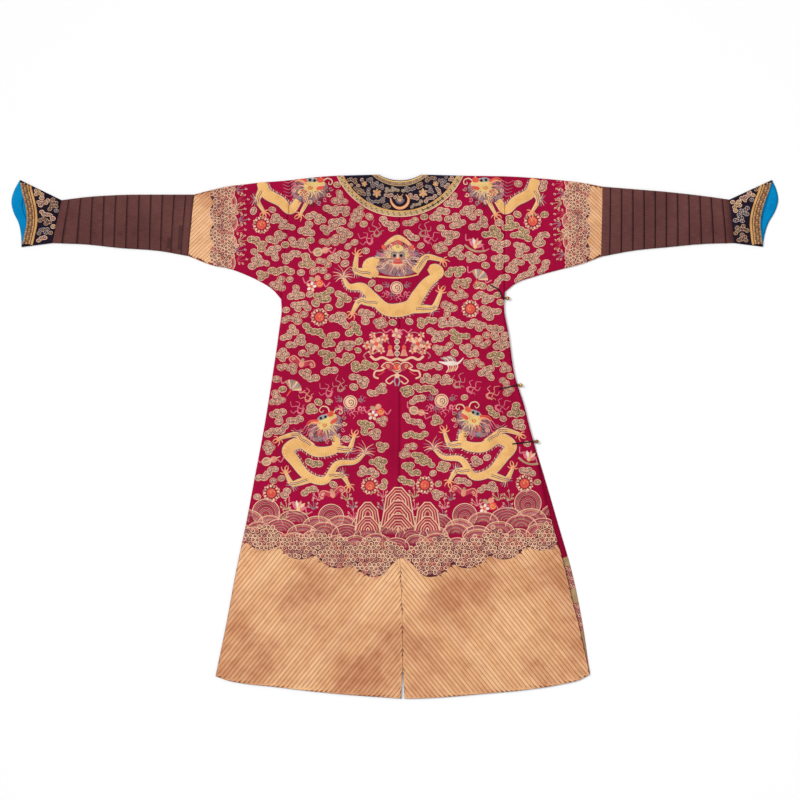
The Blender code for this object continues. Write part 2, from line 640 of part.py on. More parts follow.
def make_fastenings():
    """Three ball buttons beside the right edge, each held by a loop of cord sewn to the back."""
    for row in FASTENINGS:
        edge_u = right_edge(row.edge_v)
        make_button("button_" + row.name, edge_u + 2 * SEAM, edge_u + BUTTON_REACH, row.edge_v)
        make_loop("loop_" + row.name, row, edge_u)


def make_button(name, neck_u, ball_u, v):
    """A ball button turned about its neck, which points towards the robe's edge."""
    reach = ball_u - neck_u
    angles = [math.radians(a) for a in (60, 30, 0, -30, -55)]
    profile = [(0.0, BUTTON_RADIUS)]
    profile += [(BUTTON_RADIUS * math.cos(a), BUTTON_RADIUS * math.sin(a)) for a in angles]
    profile += [(BUTTON_NECK_RADIUS, -BUTTON_RADIUS), (BUTTON_NECK_RADIUS, -reach), (0.0, -reach)]
    mesh = bpy.data.meshes.new(name)
    edges = [(i, i + 1) for i in range(len(profile) - 1)]
    mesh.from_pydata([(x, 0.0, z) for x, z in profile], edges, [])
    obj = link(bpy.data.objects.new(name, mesh), METAL)
    screw = obj.modifiers.new("turned", "SCREW")
    screw.steps = screw.render_steps = 14
    screw.use_merge_vertices = True
    screw.merge_threshold = 0.00002
    obj.location = place(ball_u, v, BUTTON_RADIUS + SEAM)
    obj.rotation_euler = (0.0, math.radians(90), 0.0)


def make_loop(name, row, edge_u):
    """One cord doubled back on itself: two strands on the back, closed round the button's neck."""
    run = np.array([row.bend_u - row.start_u, row.bend_v - row.start_v])
    side = np.array([-run[1], run[0]]) / np.linalg.norm(run) * CORD_SPACING / 2
    start, bend = np.array([row.start_u, row.start_v]), np.array([row.bend_u, row.bend_v])
    shelf = np.array([edge_u - 0.0035, row.edge_v])
    strand = []
    for point in (start, mix(start, bend, 0.5), bend, mix(bend, shelf, 0.5), shelf):
        strand.append((*(point + side), back_height(*point) + CORD_RADIUS + CORD_LIE))
    neck_z = BUTTON_RADIUS + SEAM
    eye_u = edge_u + EYE_REACH
    eye = []
    for degrees in (60, 30, 0, -35, -70, -90):
        a = math.radians(degrees)
        eye.append((eye_u, row.edge_v + EYE_RADIUS * math.cos(a), neck_z + EYE_RADIUS * math.sin(a)))
    turn = (mix(strand[-1][0], eye_u, 0.6), row.edge_v + EYE_RADIUS * 0.45,
            mix(strand[-1][2], neck_z + EYE_RADIUS, 0.55))
    near = strand + [turn] + eye
    far = [(u - 2 * side[0], v - 2 * side[1], z) for u, v, z in strand]
    far += [(u, 2 * row.edge_v - v, z) for u, v, z in [turn] + eye[:-1]]
    points = near + far[::-1]
    curve = bpy.data.curves.new(name, "CURVE")
    curve.dimensions = "3D"
    curve.bevel_depth = CORD_RADIUS
    curve.bevel_resolution = 1
    curve.use_fill_caps = True
    spline = curve.splines.new("POLY")
    spline.points.add(len(points) - 1)
    for point, spot in zip(spline.points, points):
        point.co = (*place(*spot), 1.0)
    link(bpy.data.objects.new(name, curve), CORD)


for old in list(bpy.data.objects):
    bpy.data.objects.remove(old)
ROBE = bpy.data.collections.new("dragon_robe")
bpy.context.scene.collection.children.link(ROBE)
halves = (make_left_half(), make_right_half())
make_overlap()
make_collar(halves)
make_sleeves()
make_fastenings()
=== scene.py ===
"""Looks of a Chinese dragon robe that lies flat with its back uppermost.

Pattern sizes are in metres. u runs across the robe from the centre-back seam towards the wearer's
right sleeve, v runs down from the neck points to the hem, and z is height above the table. Each
sub-assembly is a class: cloth panels, sleeves, collar, cuffs and fastenings, and the embroidery,
which is drawn in pattern coordinates as raised strips and patches of thread and then draped.
"""

from __future__ import annotations

import json
import logging
import math
from dataclasses import dataclass
from enum import Enum
from typing import Callable, NamedTuple, Optional, Sequence, Union

import bpy
import numpy as np
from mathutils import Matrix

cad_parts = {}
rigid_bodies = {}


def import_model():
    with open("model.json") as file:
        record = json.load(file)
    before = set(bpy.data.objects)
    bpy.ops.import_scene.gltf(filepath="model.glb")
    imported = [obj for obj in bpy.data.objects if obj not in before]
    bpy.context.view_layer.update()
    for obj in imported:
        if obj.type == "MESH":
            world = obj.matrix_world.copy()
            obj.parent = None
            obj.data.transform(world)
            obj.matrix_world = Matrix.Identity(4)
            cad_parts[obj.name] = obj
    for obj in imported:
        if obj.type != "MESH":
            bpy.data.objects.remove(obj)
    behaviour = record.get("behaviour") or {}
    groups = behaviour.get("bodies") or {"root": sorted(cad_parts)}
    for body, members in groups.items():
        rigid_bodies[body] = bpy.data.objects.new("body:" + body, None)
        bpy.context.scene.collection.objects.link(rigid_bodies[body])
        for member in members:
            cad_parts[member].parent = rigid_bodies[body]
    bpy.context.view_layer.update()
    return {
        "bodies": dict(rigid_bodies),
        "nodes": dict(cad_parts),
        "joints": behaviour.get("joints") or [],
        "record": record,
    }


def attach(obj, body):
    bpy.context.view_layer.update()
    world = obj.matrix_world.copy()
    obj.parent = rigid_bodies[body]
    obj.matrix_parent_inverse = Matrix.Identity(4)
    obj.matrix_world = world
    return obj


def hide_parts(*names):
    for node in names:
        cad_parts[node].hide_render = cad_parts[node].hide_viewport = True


LOG = logging.getLogger("dragon_robe")
Array = np.ndarray
Value = Union[float, Array]
Rgb = tuple[float, float, float]
TURN = 2 * math.pi

# ---- Sizes shared by the pieces ------------------------------------------------------------------
ROBE_LENGTH = 1.4151
MIDDLE_U = -0.0137
CLOTH = 0.0014
SEAM = 0.0003
LAYER = CLOTH + SEAM
TRIM = 0.001
LEAST_LOFT = 0.0004
LOFT = 0.0036
LOFT_REACH = 0.055
FOLD_HEIGHT = 0.0046
NECK_HALF_WIDTH = 0.0585
BACK_NECK_DROP = 0.016
FRONT_NECK_DROP = 0.078
COLLAR_HALF_WIDTH = 0.1715
BACK_COLLAR_DROP = 0.115
SHOULDER_V = 0.003
NECK_BORDER_SHARE = 0.16
OUTER_BORDER_SHARE = 0.155
SLIT_TOP_V = 1.316
SLIT_HALF_GAP = 0.004
UNDER_FLAP_HEM_V = 1.3
RISE_START = 0.028
RISE_END = 0.004
EDGING_WIDTH = 0.04
PLEATS = 11
PLEAT_HEIGHT = 0.0016
LAID_GAP = 0.0006
BLEND = 0.0006
BRAID_WIDTH = 0.022
LINING_REACH = 0.03
LINING = 0.001
BUTTON_RADIUS = 0.0052
CORD_RADIUS = 0.0009
CORD_SPACING = 0.0022
CORD_LIE = 0.0008
EYE_REACH = 0.0019
EYE_RADIUS = 0.0031
FRONT_LIFT = 0.0005        # height of the underside's cloth, which leaves room for its embroidery
FRONT_WALL = 0.0011
FLAP_SLOPE_START = 0.075    # where the back starts to rise over the under flap, inside the flap's edge
FLAP_SLOPE = 0.04
FLAP_HEM_SLOPE_START = 0.035
FLAP_HEM_SLOPE = 0.03
FLAP_RISE_AHEAD = 0.05
CALM_V = 1.25               # below this the cloth lies flatter, towards its hem
CALM_RUN = 0.13
CALM = 0.6
FOLDED_TO_V = 0.25          # the sides are folds down to here, and open slits below
FOLDED_RUN = 0.08
RIM_REACH = (0.0, 0.0014, 0.0042)
RIM_LIFT = (0.5, 0.86, 1.0)


class Station(NamedTuple):
    """A point of an edge that runs down the robe."""

    v: float
    u: float


class Along(NamedTuple):
    """A point of an edge that runs across the robe."""

    u: float
    v: float


class Section(NamedTuple):
    """The top and bottom fold of a sleeve at one place along it."""

    top_u: float
    top_v: float
    bottom_u: float
    bottom_v: float


class Fold(NamedTuple):
    """A soft ridge, or a trough where the height is negative."""

    u0: float
    v0: float
    u1: float
    v1: float
    half_width: float
    height: float


class Hoof(NamedTuple):
    """How far a cuff's end lies beyond the line between its corners."""

    share: float
    back: float
    front: float


class Fastening(NamedTuple):
    """Where a loop starts and bends on the back, and where it crosses the robe's edge."""

    name: str
    start_u: float
    start_v: float
    bend_u: float
    bend_v: float
    edge_v: float


LEFT_SIDE = [Station(*row) for row in (
    (0.336, -0.3213), (0.36, -0.3195), (0.425, -0.327), (0.555, -0.346), (0.684, -0.367),
    (0.814, -0.3915), (0.944, -0.416), (1.073, -0.443), (1.203, -0.467), (1.355, -0.498))]
RIGHT_SIDE = [Station(*row) for row in (
    (0.317, 0.2835), (0.36, 0.281), (0.425, 0.292), (0.555, 0.313), (0.62, 0.334), (0.684, 0.35),
    (0.814, 0.389), (0.944, 0.427), (1.073, 0.464), (1.203, 0.491), (1.349, 0.513))]
RIGHT_INSET = [Station(*row) for row in (
    (0.3, 0.0), (0.72, 0.0), (0.86, 0.012), (1.04, 0.016), (1.14, 0.016), (1.24, 0.009), (1.349, 0.001))]
CENTRE_SEAM = [Station(*row) for row in (
    (0.0, 0.0), (0.8, 0.0), (1.03, -0.001), (1.1, 0.003), (1.3, 0.007), (1.42, 0.0075))]
UNDER_FLAP_EDGE = [Station(*row) for row in (
    (0.17, 0.0), (0.26, -0.06), (0.36, -0.13), (0.46, -0.165), (0.6, -0.18), (1.35, -0.18))]
SHOULDER = [Along(*row) for row in (
    (-0.2943, 0.0149), (-0.27, 0.012), (-0.216, 0.006), (-0.1715, SHOULDER_V), (-0.1, 0.002),
    (-NECK_HALF_WIDTH, 0.0), (NECK_HALF_WIDTH, 0.0), (0.1, 0.002), (0.1715, SHOULDER_V),
    (0.216, 0.0035), (0.2822, 0.0045))]
HEM = [Along(*row) for row in (
    (-0.498, 1.355), (-0.464, 1.367), (-0.432, 1.373), (-0.335, 1.384), (-0.27, 1.392), (-0.162, 1.403),
    (-0.054, 1.411), (0.01, 1.415), (0.108, 1.412), (0.216, 1.403), (0.335, 1.392), (0.432, 1.377),
    (0.497, 1.359), (0.513, 1.349))]
OVERLAP = [Along(*row) for row in (
    (0.0, 0.176), (0.05, 0.179), (0.1, 0.189), (0.15, 0.208), (0.2, 0.237), (0.25, 0.28), (0.29, 0.329))]
SLEEVE_LEFT = [Section(*row) for row in (
    (-0.2943, 0.0149, -0.3213, 0.336), (-0.335, 0.0185, -0.346, 0.309), (-0.373, 0.021, -0.378, 0.289),
    (-0.416, 0.026, -0.4185, 0.27), (-0.459, 0.031, -0.462, 0.254), (-0.502, 0.04, -0.507, 0.245),
    (-0.556, 0.054, -0.572, 0.22))]
SLEEVE_RIGHT = [Section(*row) for row in (
    (0.2822, 0.0045, 0.2835, 0.317), (0.324, 0.0065, 0.316, 0.292), (0.367, 0.0095, 0.362, 0.276),
    (0.41, 0.013, 0.408, 0.263), (0.454, 0.0175, 0.454, 0.251), (0.497, 0.023, 0.497, 0.239),
    (0.547, 0.0325, 0.5435, 0.2215))]
EXTENSION_LEFT = [Section(*row) for row in (
    (-0.556, 0.054, -0.572, 0.22), (-0.648, 0.054, -0.653, 0.206), (-0.756, 0.055, -0.761, 0.198),
    (-0.85, 0.061, -0.858, 0.188), (-0.914, 0.069, -0.939, 0.185))]
EXTENSION_RIGHT = [Section(*row) for row in (
    (0.547, 0.0325, 0.5435, 0.2215), (0.627, 0.039, 0.627, 0.206), (0.724, 0.047, 0.724, 0.196),
    (0.821, 0.058, 0.826, 0.187), (0.8895, 0.0675, 0.902, 0.185))]
CUFF_LEFT = [Section(*row) for row in (
    (-0.914, 0.069, -0.939, 0.185), (-1.0265, 0.0143, -1.0225, 0.1958))]
CUFF_RIGHT = [Section(*row) for row in (
    (0.8895, 0.0675, 0.902, 0.185), (1.005, 0.0143, 0.98, 0.195))]
CUFF_END = [Hoof(*row) for row in (
    (0.0, 0.0, 0.0), (0.14, -0.003, 0.015), (0.32, -0.011, 0.0245), (0.47, -0.0155, 0.02),
    (0.65, -0.0155, 0.006), (0.83, -0.008, 0.0005), (1.0, 0.0, 0.0))]
FOLDS = [Fold(*row) for row in (
    (-0.29, 0.47, -0.185, 0.505, 0.011, -0.0036), (-0.205, 0.462, -0.09, 0.485, 0.01, -0.0038),
    (-0.28, 0.43, -0.1, 0.445, 0.028, 0.0024), (-0.27, 0.54, -0.14, 0.56, 0.032, 0.0022),
    (-0.195, 0.61, -0.165, 0.65, 0.01, -0.003), (-0.01, 0.56, -0.008, 0.85, 0.01, -0.003),
    (-0.04, 0.6, -0.038, 0.86, 0.018, 0.0016), (0.33, 0.2, 0.412, 0.24, 0.01, -0.0036),
    (0.382, 0.12, 0.41, 0.18, 0.01, -0.0032), (0.195, 0.145, 0.26, 0.17, 0.012, -0.003),
    (0.165, 0.318, 0.235, 0.296, 0.01, -0.003), (0.185, 0.425, 0.215, 0.45, 0.01, -0.003),
    (0.255, 0.612, 0.305, 0.638, 0.009, -0.0034), (0.3, 0.16, 0.42, 0.2, 0.03, 0.0028),
    (-0.18, 0.05, -0.13, 0.08, 0.014, -0.002), (-0.145, 0.098, -0.08, 0.115, 0.014, -0.0022),
    (-0.4, 0.12, -0.3, 0.215, 0.028, 0.0024), (-0.42, 0.2, -0.33, 0.262, 0.013, -0.0028),
    (-0.415, 1.15, -0.25, 1.385, 0.03, 0.0034), (-0.3, 1.12, -0.18, 1.39, 0.026, -0.003),
    (0.16, 1.12, 0.25, 1.38, 0.03, 0.0032), (0.4, 1.15, 0.42, 1.36, 0.02, -0.003),
    (-0.25, 0.8, -0.34, 1.08, 0.04, 0.002), (0.23, 0.82, 0.33, 1.08, 0.04, 0.002))]
FASTENINGS = [
    Fastening("underarm", 0.242, 0.297, 0.266, 0.311, 0.334),
    Fastening("waist", 0.267, 0.579, 0.292, 0.574, 0.569),
    Fastening("hip", 0.3025, 0.7275, 0.328, 0.7245, 0.721),
]


# ---- Curves and heights --------------------------------------------------------------------------
class Smooth:
    """A smooth curve y(x) through the points of a table, level beyond its ends."""

    def __init__(self, xs: Sequence[float], ys: Sequence[float]) -> None:
        """Keeps the points and their slopes.

        Args:
            xs: Rising places.
            ys: Values there.
        """
        self.xs = np.array(xs, float)
        self.ys = np.array(ys, float)
        self.slopes = np.gradient(self.ys, self.xs)

    def __call__(self, x: Value) -> Array:
        """The curve's value at one place or at many.

        Args:
            x: Places.

        Returns:
            Values, of the shape of x.
        """
        x = np.clip(np.asarray(x, float), self.xs[0], self.xs[-1])
        i = np.clip(np.searchsorted(self.xs, x) - 1, 0, len(self.xs) - 2)
        step = self.xs[i + 1] - self.xs[i]
        t = (x - self.xs[i]) / step
        return ((2 * t**3 - 3 * t**2 + 1) * self.ys[i] + (t**3 - 2 * t**2 + t) * step * self.slopes[i]
                + (3 * t**2 - 2 * t**3) * self.ys[i + 1] + (t**3 - t**2) * step * self.slopes[i + 1])


def by_v(table: Sequence[Station]) -> Smooth:
    """u as a function of v."""
    return Smooth([row.v for row in table], [row.u for row in table])


def by_u(table: Sequence[Along]) -> Smooth:
    """v as a function of u."""
    return Smooth([row.u for row in table], [row.v for row in table])


def mix(a: Value, b: Value, share: Value) -> Value:
    """The value that lies this share of the way from a to b."""
    return a + (b - a) * share


def ease(t: Value) -> Array:
    """Rises smoothly from 0 to 1."""
    t = np.clip(t, 0.0, 1.0)
    return t * t * (3 - 2 * t)


def from_segment(u: Value, v: Value, start: Array, end: Array) -> tuple[Array, Array]:
    """Distance of points from a straight segment, and their share of the way along it.

    Args:
        u: Places across the robe.
        v: Places down the robe.
        start: One end.
        end: The other end.

    Returns:
        The distances and the shares.
    """
    du, dv = end[0] - start[0], end[1] - start[1]
    share = ((u - start[0]) * du + (v - start[1]) * dv) / (du**2 + dv**2)
    held = np.clip(share, 0.0, 1.0)
    return np.hypot(u - start[0] - held * du, v - start[1] - held * dv), share


class Arc:
    """The lower arc of a circle, half_width wide each side at the shoulder and down to drop."""

    def __init__(self, half_width: float, drop: float, shoulder_v: float = 0.0) -> None:
        """Finds the circle.

        Args:
            half_width: Half of the arc's width at shoulder_v.
            drop: v of its lowest point.
            shoulder_v: v of its two ends.
        """
        depth = drop - shoulder_v
        self.radius = (half_width**2 + depth**2) / (2 * depth)
        self.centre_v = drop - self.radius
        self.end_angle = math.acos(max(-1.0, min(1.0, (shoulder_v - self.centre_v) / self.radius)))

    def at(self, share: Value, outset: float = 0.0) -> tuple[Array, Array]:
        """(u, v) at shares from -1 at the left end to 1 at the right end, moved out by outset.

        Args:
            share: Shares of the way along.
            outset: How far outside it.

        Returns:
            u and v of the places.
        """
        angle = np.asarray(share) * self.end_angle
        radius = self.radius + outset
        return radius * np.sin(angle), self.centre_v + radius * np.cos(angle)

    def below(self, u: Value) -> Array:
        """v of the arc's lower side at u."""
        return self.centre_v + np.sqrt(np.maximum(0.0, self.radius**2 - np.asarray(u) ** 2))


BACK_NECK = Arc(NECK_HALF_WIDTH, BACK_NECK_DROP)
FRONT_NECK = Arc(NECK_HALF_WIDTH, FRONT_NECK_DROP)
BACK_COLLAR = Arc(COLLAR_HALF_WIDTH, BACK_COLLAR_DROP, SHOULDER_V)
FRONT_COLLAR = Arc(COLLAR_HALF_WIDTH, SHOULDER_V + COLLAR_HALF_WIDTH, SHOULDER_V)

side_left = by_v(LEFT_SIDE)
side_right = by_v(RIGHT_SIDE)
inset_right = by_v(RIGHT_INSET)
centre_seam = by_v(CENTRE_SEAM)
flap_edge = by_v(UNDER_FLAP_EDGE)
shoulder = by_u(SHOULDER)
hem = by_u(HEM)
overlap = by_u(OVERLAP)


def side_edge(v: Value, sleeve: Sequence[Section], side: Sequence[Station], below: Smooth,
              seam: float) -> Array:
    """u of one edge of the body: the straight armhole seam, then the side.

    Args:
        v: Places down the robe.
        sleeve: The sleeve's sections, of which the first is the armhole.
        side: The side's stations, of which the first is the underarm.
        below: The side's curve.
        seam: How far the body's cloth stays off the armhole.

    Returns:
        u at each v.
    """
    top, underarm = sleeve[0], side[0]
    armhole = np.interp(v, [top.top_v, underarm.v], [top.top_u, underarm.u]) + seam
    return np.where(np.asarray(v) < underarm.v, armhole, below(v))


def left_edge(v: Value) -> Array:
    """The left edge of the body."""
    return side_edge(v, SLEEVE_LEFT, LEFT_SIDE, side_left, SEAM / 2)


def right_edge(v: Value) -> Array:
    """The right edge of the outer front."""
    return side_edge(v, SLEEVE_RIGHT, RIGHT_SIDE, side_right, -SEAM / 2)


def right_sewn_edge(v: Value) -> Array:
    """The right edge of the back and of the under flap, which are sewn together."""
    return right_edge(v) - np.maximum(0.0, inset_right(v))


def slit_gap(v: Value) -> Array:
    """Half of the gap at the centre seams."""
    return SEAM / 2 + SLIT_HALF_GAP * ease((np.asarray(v) - SLIT_TOP_V) / (ROBE_LENGTH - SLIT_TOP_V))


def left_of_centre(v: Value) -> Array:
    """The left half's edge at the centre seam."""
    return centre_seam(v) - slit_gap(v)


def right_of_centre(v: Value) -> Array:
    """The right half's edge at the centre seam."""
    return centre_seam(v) + slit_gap(v)


def fold_lines() -> list[tuple[Array, Array]]:
    """Short lines along every edge where the cloth is folded or sewn down.

    Returns:
        The two ends of each line.
    """
    lines = []
    left = SLEEVE_LEFT + EXTENSION_LEFT[1:] + CUFF_LEFT[1:]
    right = SLEEVE_RIGHT + EXTENSION_RIGHT[1:] + CUFF_RIGHT[1:]
    for table in (left, right):
        lines.append([(row.top_u, row.top_v) for row in table])
        lines.append([(row.bottom_u, row.bottom_v) for row in table])
    for edge in (SHOULDER, LEFT_SIDE, RIGHT_SIDE):
        lines.append([(row.u, row.v) for row in edge])
    return [(np.array(a), np.array(b)) for line in lines for a, b in zip(line, line[1:])]


def flap_rise(u: Value, v: Value, ahead: float = 0.0) -> Array:
    """0 where the under flap lies on the table, 1 where the overlap lies beneath it."""
    return ease((v - overlap(u) + RISE_START + ahead) / (RISE_START - RISE_END))


def back_height(u: Array, v: Array) -> Array:
    """Height of the back's top face above the table.

    Args:
        u: Places across the robe.
        v: Places down the robe.

    Returns:
        A height for each place.
    """
    past_edge = ease((u - flap_edge(v) + FLAP_SLOPE_START) / FLAP_SLOPE)
    above_hem = 1.0 - ease((v - UNDER_FLAP_HEM_V - FLAP_HEM_SLOPE_START) / FLAP_HEM_SLOPE)
    base = LAYER + CLOTH + LAYER * past_edge * above_hem * flap_rise(u, v, FLAP_RISE_AHEAD)
    near_edge = np.full(np.shape(u), 9.0)
    for start, end in fold_lines():
        near_edge = np.minimum(near_edge, from_segment(u, v, start, end)[0])
    ridges = np.zeros(np.shape(u))
    for row in FOLDS:
        distance, share = from_segment(u, v, (row.u0, row.v0), (row.u1, row.v1))
        fade = np.where((share > 0) & (share < 1), ease(1.25 - np.abs(share - 0.5) * 2), 0.0)
        ridges += row.height * fade * np.exp(-((distance / row.half_width) ** 2))
    near_hem = 1.0 - CALM * ease((v - CALM_V) / CALM_RUN)
    lofted = base + LEAST_LOFT + (LOFT + ridges) * near_hem * ease(near_edge / LOFT_REACH)
    folded = mix(FOLD_HEIGHT, base, ease((v - FOLDED_TO_V) / FOLDED_RUN))
    return (folded + lofted + np.hypot(folded - lofted, BLEND)) / 2


def outward_of(table: Sequence[Section]) -> float:
    """-1 for a table of the left sleeve, 1 for one of the right."""
    return math.copysign(1.0, table[-1].top_u - table[0].top_u)


class HeightMap:
    """The back's height on an even grid, read between its points."""

    # (u, v) of its first and last corners, a little outside the robe.
    FIRST = (-1.07, -0.03)
    LAST = (1.08, 1.45)

    def __init__(self, step: float = 0.003) -> None:
        """Works the heights out once.

        Args:
            step: Spacing of the grid.
        """
        self.step = step
        self.u0, self.v0 = self.FIRST
        us = np.arange(self.u0, self.LAST[0], step)
        vs = np.arange(self.v0, self.LAST[1], step)
        self.z = back_height(*np.meshgrid(us, vs))

    def __call__(self, u: Value, v: Value) -> Array:
        """Heights at points of the pattern.

        Args:
            u: Places across the robe.
            v: Places down the robe.

        Returns:
            A height for each place.
        """
        i = np.clip((np.asarray(u) - self.u0) / self.step, 0, self.z.shape[1] - 1.001)
        j = np.clip((np.asarray(v) - self.v0) / self.step, 0, self.z.shape[0] - 1.001)
        i0, j0 = i.astype(int), j.astype(int)
        di, dj = i - i0, j - j0
        top = mix(self.z[j0, i0], self.z[j0, i0 + 1], di)
        return mix(top, mix(self.z[j0 + 1, i0], self.z[j0 + 1, i0 + 1], di), dj)

    def tube(self, u: Value, v: Value) -> Array:
        """Height of a flattened sleeve's top face."""
        return np.maximum(FOLD_HEIGHT, self(u, v))


def place(u: Value, v: Value, z: Value) -> Array:
    """Pattern points in the model's own axes."""
    u, v, z = np.broadcast_arrays(np.asarray(u, float), np.asarray(v, float), np.asarray(z, float))
    return np.stack([u - MIDDLE_U, ROBE_LENGTH / 2 - v, z], axis=-1)


def rim(distance: Value) -> Array:
    """Share of the height that the rounded cloth reaches at a distance from its fold."""
    return np.interp(distance, RIM_REACH, RIM_LIFT)


# ---- Finishes ------------------------------------------------------------------------------------
Socket = bpy.types.NodeSocket


def linear(colour: Rgb) -> tuple[float, float, float, float]:
    """A colour given as 0 to 255 values, as the shader takes it."""
    values = [c / 255 for c in colour]
    return (*[c / 12.92 if c <= 0.04045 else ((c + 0.055) / 1.055) ** 2.4 for c in values], 1.0)


class Wiring:
    """Short calls that make and join the nodes of one tree."""

    def __init__(self, tree: bpy.types.NodeTree) -> None:
        """Keeps the tree."""
        self.tree = tree

    def add(self, kind: str, inputs: Optional[dict] = None, **settings: object) -> bpy.types.Node:
        """Makes a node.

        Args:
            kind: Blender's name of the node type.
            inputs: Value or source socket for each input, by name or number.
            settings: Attributes of the node.

        Returns:
            The node.
        """
        made = self.tree.nodes.new(kind)
        for name, value in settings.items():
            setattr(made, name, value)
        self.give(made, inputs or {})
        return made

    def give(self, node: bpy.types.Node, inputs: dict) -> None:
        """Sets or links a node's inputs.

        Args:
            node: The node.
            inputs: Value or source socket for each input, by name or number.
        """
        for name, value in inputs.items():
            if isinstance(value, Socket):
                self.tree.links.new(value, node.inputs[name])
            else:
                node.inputs[name].default_value = value

    def group(self, tree: bpy.types.NodeTree, inputs: dict) -> bpy.types.Node:
        """A shared group placed in this tree."""
        return self.add("ShaderNodeGroup", inputs, node_tree=tree)

    def math(self, operation: str, a: object, b: object = 0.0, clamp: bool = False) -> Socket:
        """The result of a Math node."""
        return self.add("ShaderNodeMath", {0: a, 1: b}, operation=operation, use_clamp=clamp).outputs[0]

    def plus(self, a: object, b: object, clamp: bool = False) -> Socket:
        """The sum of two values."""
        return self.math("ADD", a, b, clamp)

    def times(self, a: object, b: object) -> Socket:
        """The product of two values."""
        return self.math("MULTIPLY", a, b)

    def sine(self, turns: object, full: float = TURN) -> Socket:
        """The sine of a number of turns."""
        return self.math("SINE", self.times(turns, full))

    def bump(self, height: Socket, distance: float, strength: float) -> Socket:
        """The normal of a surface that stands up by a height."""
        return self.add("ShaderNodeBump",
                        {"Height": height, "Distance": distance, "Strength": strength}).outputs[0]

    def parts(self, vector: Socket) -> Sequence[Socket]:
        """The parts of a vector."""
        return self.add("ShaderNodeSeparateXYZ", {0: vector}).outputs

    def mix(self, factor: object, a: object, b: object, blend: str = "MIX") -> Socket:
        """Two colours mixed by a factor."""
        made = self.add("ShaderNodeMix", {0: factor, 6: a, 7: b}, data_type="RGBA", blend_type=blend)
        return made.outputs[2]

    def span(self, value: object, low: float, high: float, to_low: float = 0.0,
             to_high: float = 1.0) -> Socket:
        """A value brought smoothly from one range to another.

        Args:
            value: The value.
            low: Start of its range.
            high: End of its range.
            to_low: Start of the new range.
            to_high: End of the new range.

        Returns:
            The new value.
        """
        made = self.add("ShaderNodeMapRange", {"Value": value, 1: low, 2: high, 3: to_low, 4: to_high},
                        interpolation_type="SMOOTHSTEP")
        return made.outputs[0]

    def stretched(self, vector: Socket, u: float, v: float) -> Socket:
        """Coordinates scaled along u and along v."""
        return self.add("ShaderNodeVectorMath", {0: vector, 1: (u, v, 1.0)}, operation="MULTIPLY").outputs[0]

    def noise(self, vector: Socket, scale: float, detail: float = 2.0) -> Socket:
        """Even noise from 0 to 1."""
        return self.add("ShaderNodeTexNoise", {"Vector": vector, "Scale": scale, "Detail": detail}).outputs[0]


def shared_group(name: str, inputs: Sequence[tuple[str, str]], outputs: Sequence[str],
                 wire: Callable[[Wiring, dict[str, Socket]], Sequence[Socket]]) -> bpy.types.NodeTree:
    """A node group with named inputs and number outputs, made once.

    Args:
        name: Its name.
        inputs: Name and socket type of each input.
        outputs: Name of each output.
        wire: Makes the nodes and returns the sockets to put out.

    Returns:
        The group.
    """
    found = bpy.data.node_groups.get(name)
    if found:
        return found
    group = bpy.data.node_groups.new(name, "ShaderNodeTree")
    for label, kind in inputs:
        group.interface.new_socket(name=label, in_out="INPUT", socket_type=kind)
    for label in outputs:
        group.interface.new_socket(name=label, in_out="OUTPUT", socket_type="NodeSocketFloat")
    wires = Wiring(group)
    source = wires.add("NodeGroupInput")
    results = wire(wires, {label: source.outputs[label] for label, _ in inputs})
    wires.add("NodeGroupOutput", dict(zip(outputs, results)))
    return group


def weave_group() -> bpy.types.NodeTree:
    """Ribs of the weave and the uneven thickness of its threads.

    Returns:
        The group.
    """

    def wire(w: Wiring, given: dict[str, Socket]) -> list[Socket]:
        """Ribs from a sine across v, slubs from noise drawn out along u.

        Args:
            w: Where the nodes go.
            given: The group's inputs.

        Returns:
            What the group puts out.
        """
        parts = w.parts(given["Vector"])
        wobble = w.noise(given["Vector"], 90.0)
        across = w.math("DIVIDE", w.plus(parts[1], w.times(wobble, 0.0006)), given["Pitch"])
        rib = w.sine(across)
        slub = w.noise(w.stretched(given["Vector"], 55.0, 620.0), 1.0, 3.0)
        return [w.plus(w.times(rib, 0.5), slub), slub]

    return shared_group("weave", [("Vector", "NodeSocketVector"), ("Pitch", "NodeSocketFloat")],
                        ("Height", "Slub"), wire)


def stitch_group() -> bpy.types.NodeTree:
    """Threads that lie side by side along a strip, with the couching that holds them.

    Returns:
        The group.
    """

    def wire(w: Wiring, given: dict[str, Socket]) -> list[Socket]:
        """Round threads from a sine across the strip, and dips at the couching at even steps along it; the
        thread material darkens these low parts as painted shade.

        Args:
            w: Where the nodes go.
            given: The group's inputs.

        Returns:
            What the group puts out.
        """
        parts = w.parts(given["Vector"])
        across = w.math("DIVIDE", parts[1], given["Pitch"])
        thread = w.math("ABSOLUTE", w.sine(across, math.pi))
        brick = w.times(w.math("FLOOR", across), 0.5)
        along = w.plus(w.math("DIVIDE", parts[0], w.times(given["Pitch"], 4.0)), brick)
        couch = w.math("POWER", w.math("ABSOLUTE", w.sine(along, math.pi)), 0.35)
        uneven = w.noise(w.stretched(given["Vector"], 60.0, 500.0), 1.0)
        return [w.times(thread, couch), couch, uneven]

    return shared_group("stitches", [("Vector", "NodeSocketVector"), ("Pitch", "NodeSocketFloat")],
                        ("Height", "Couching", "Uneven"), wire)


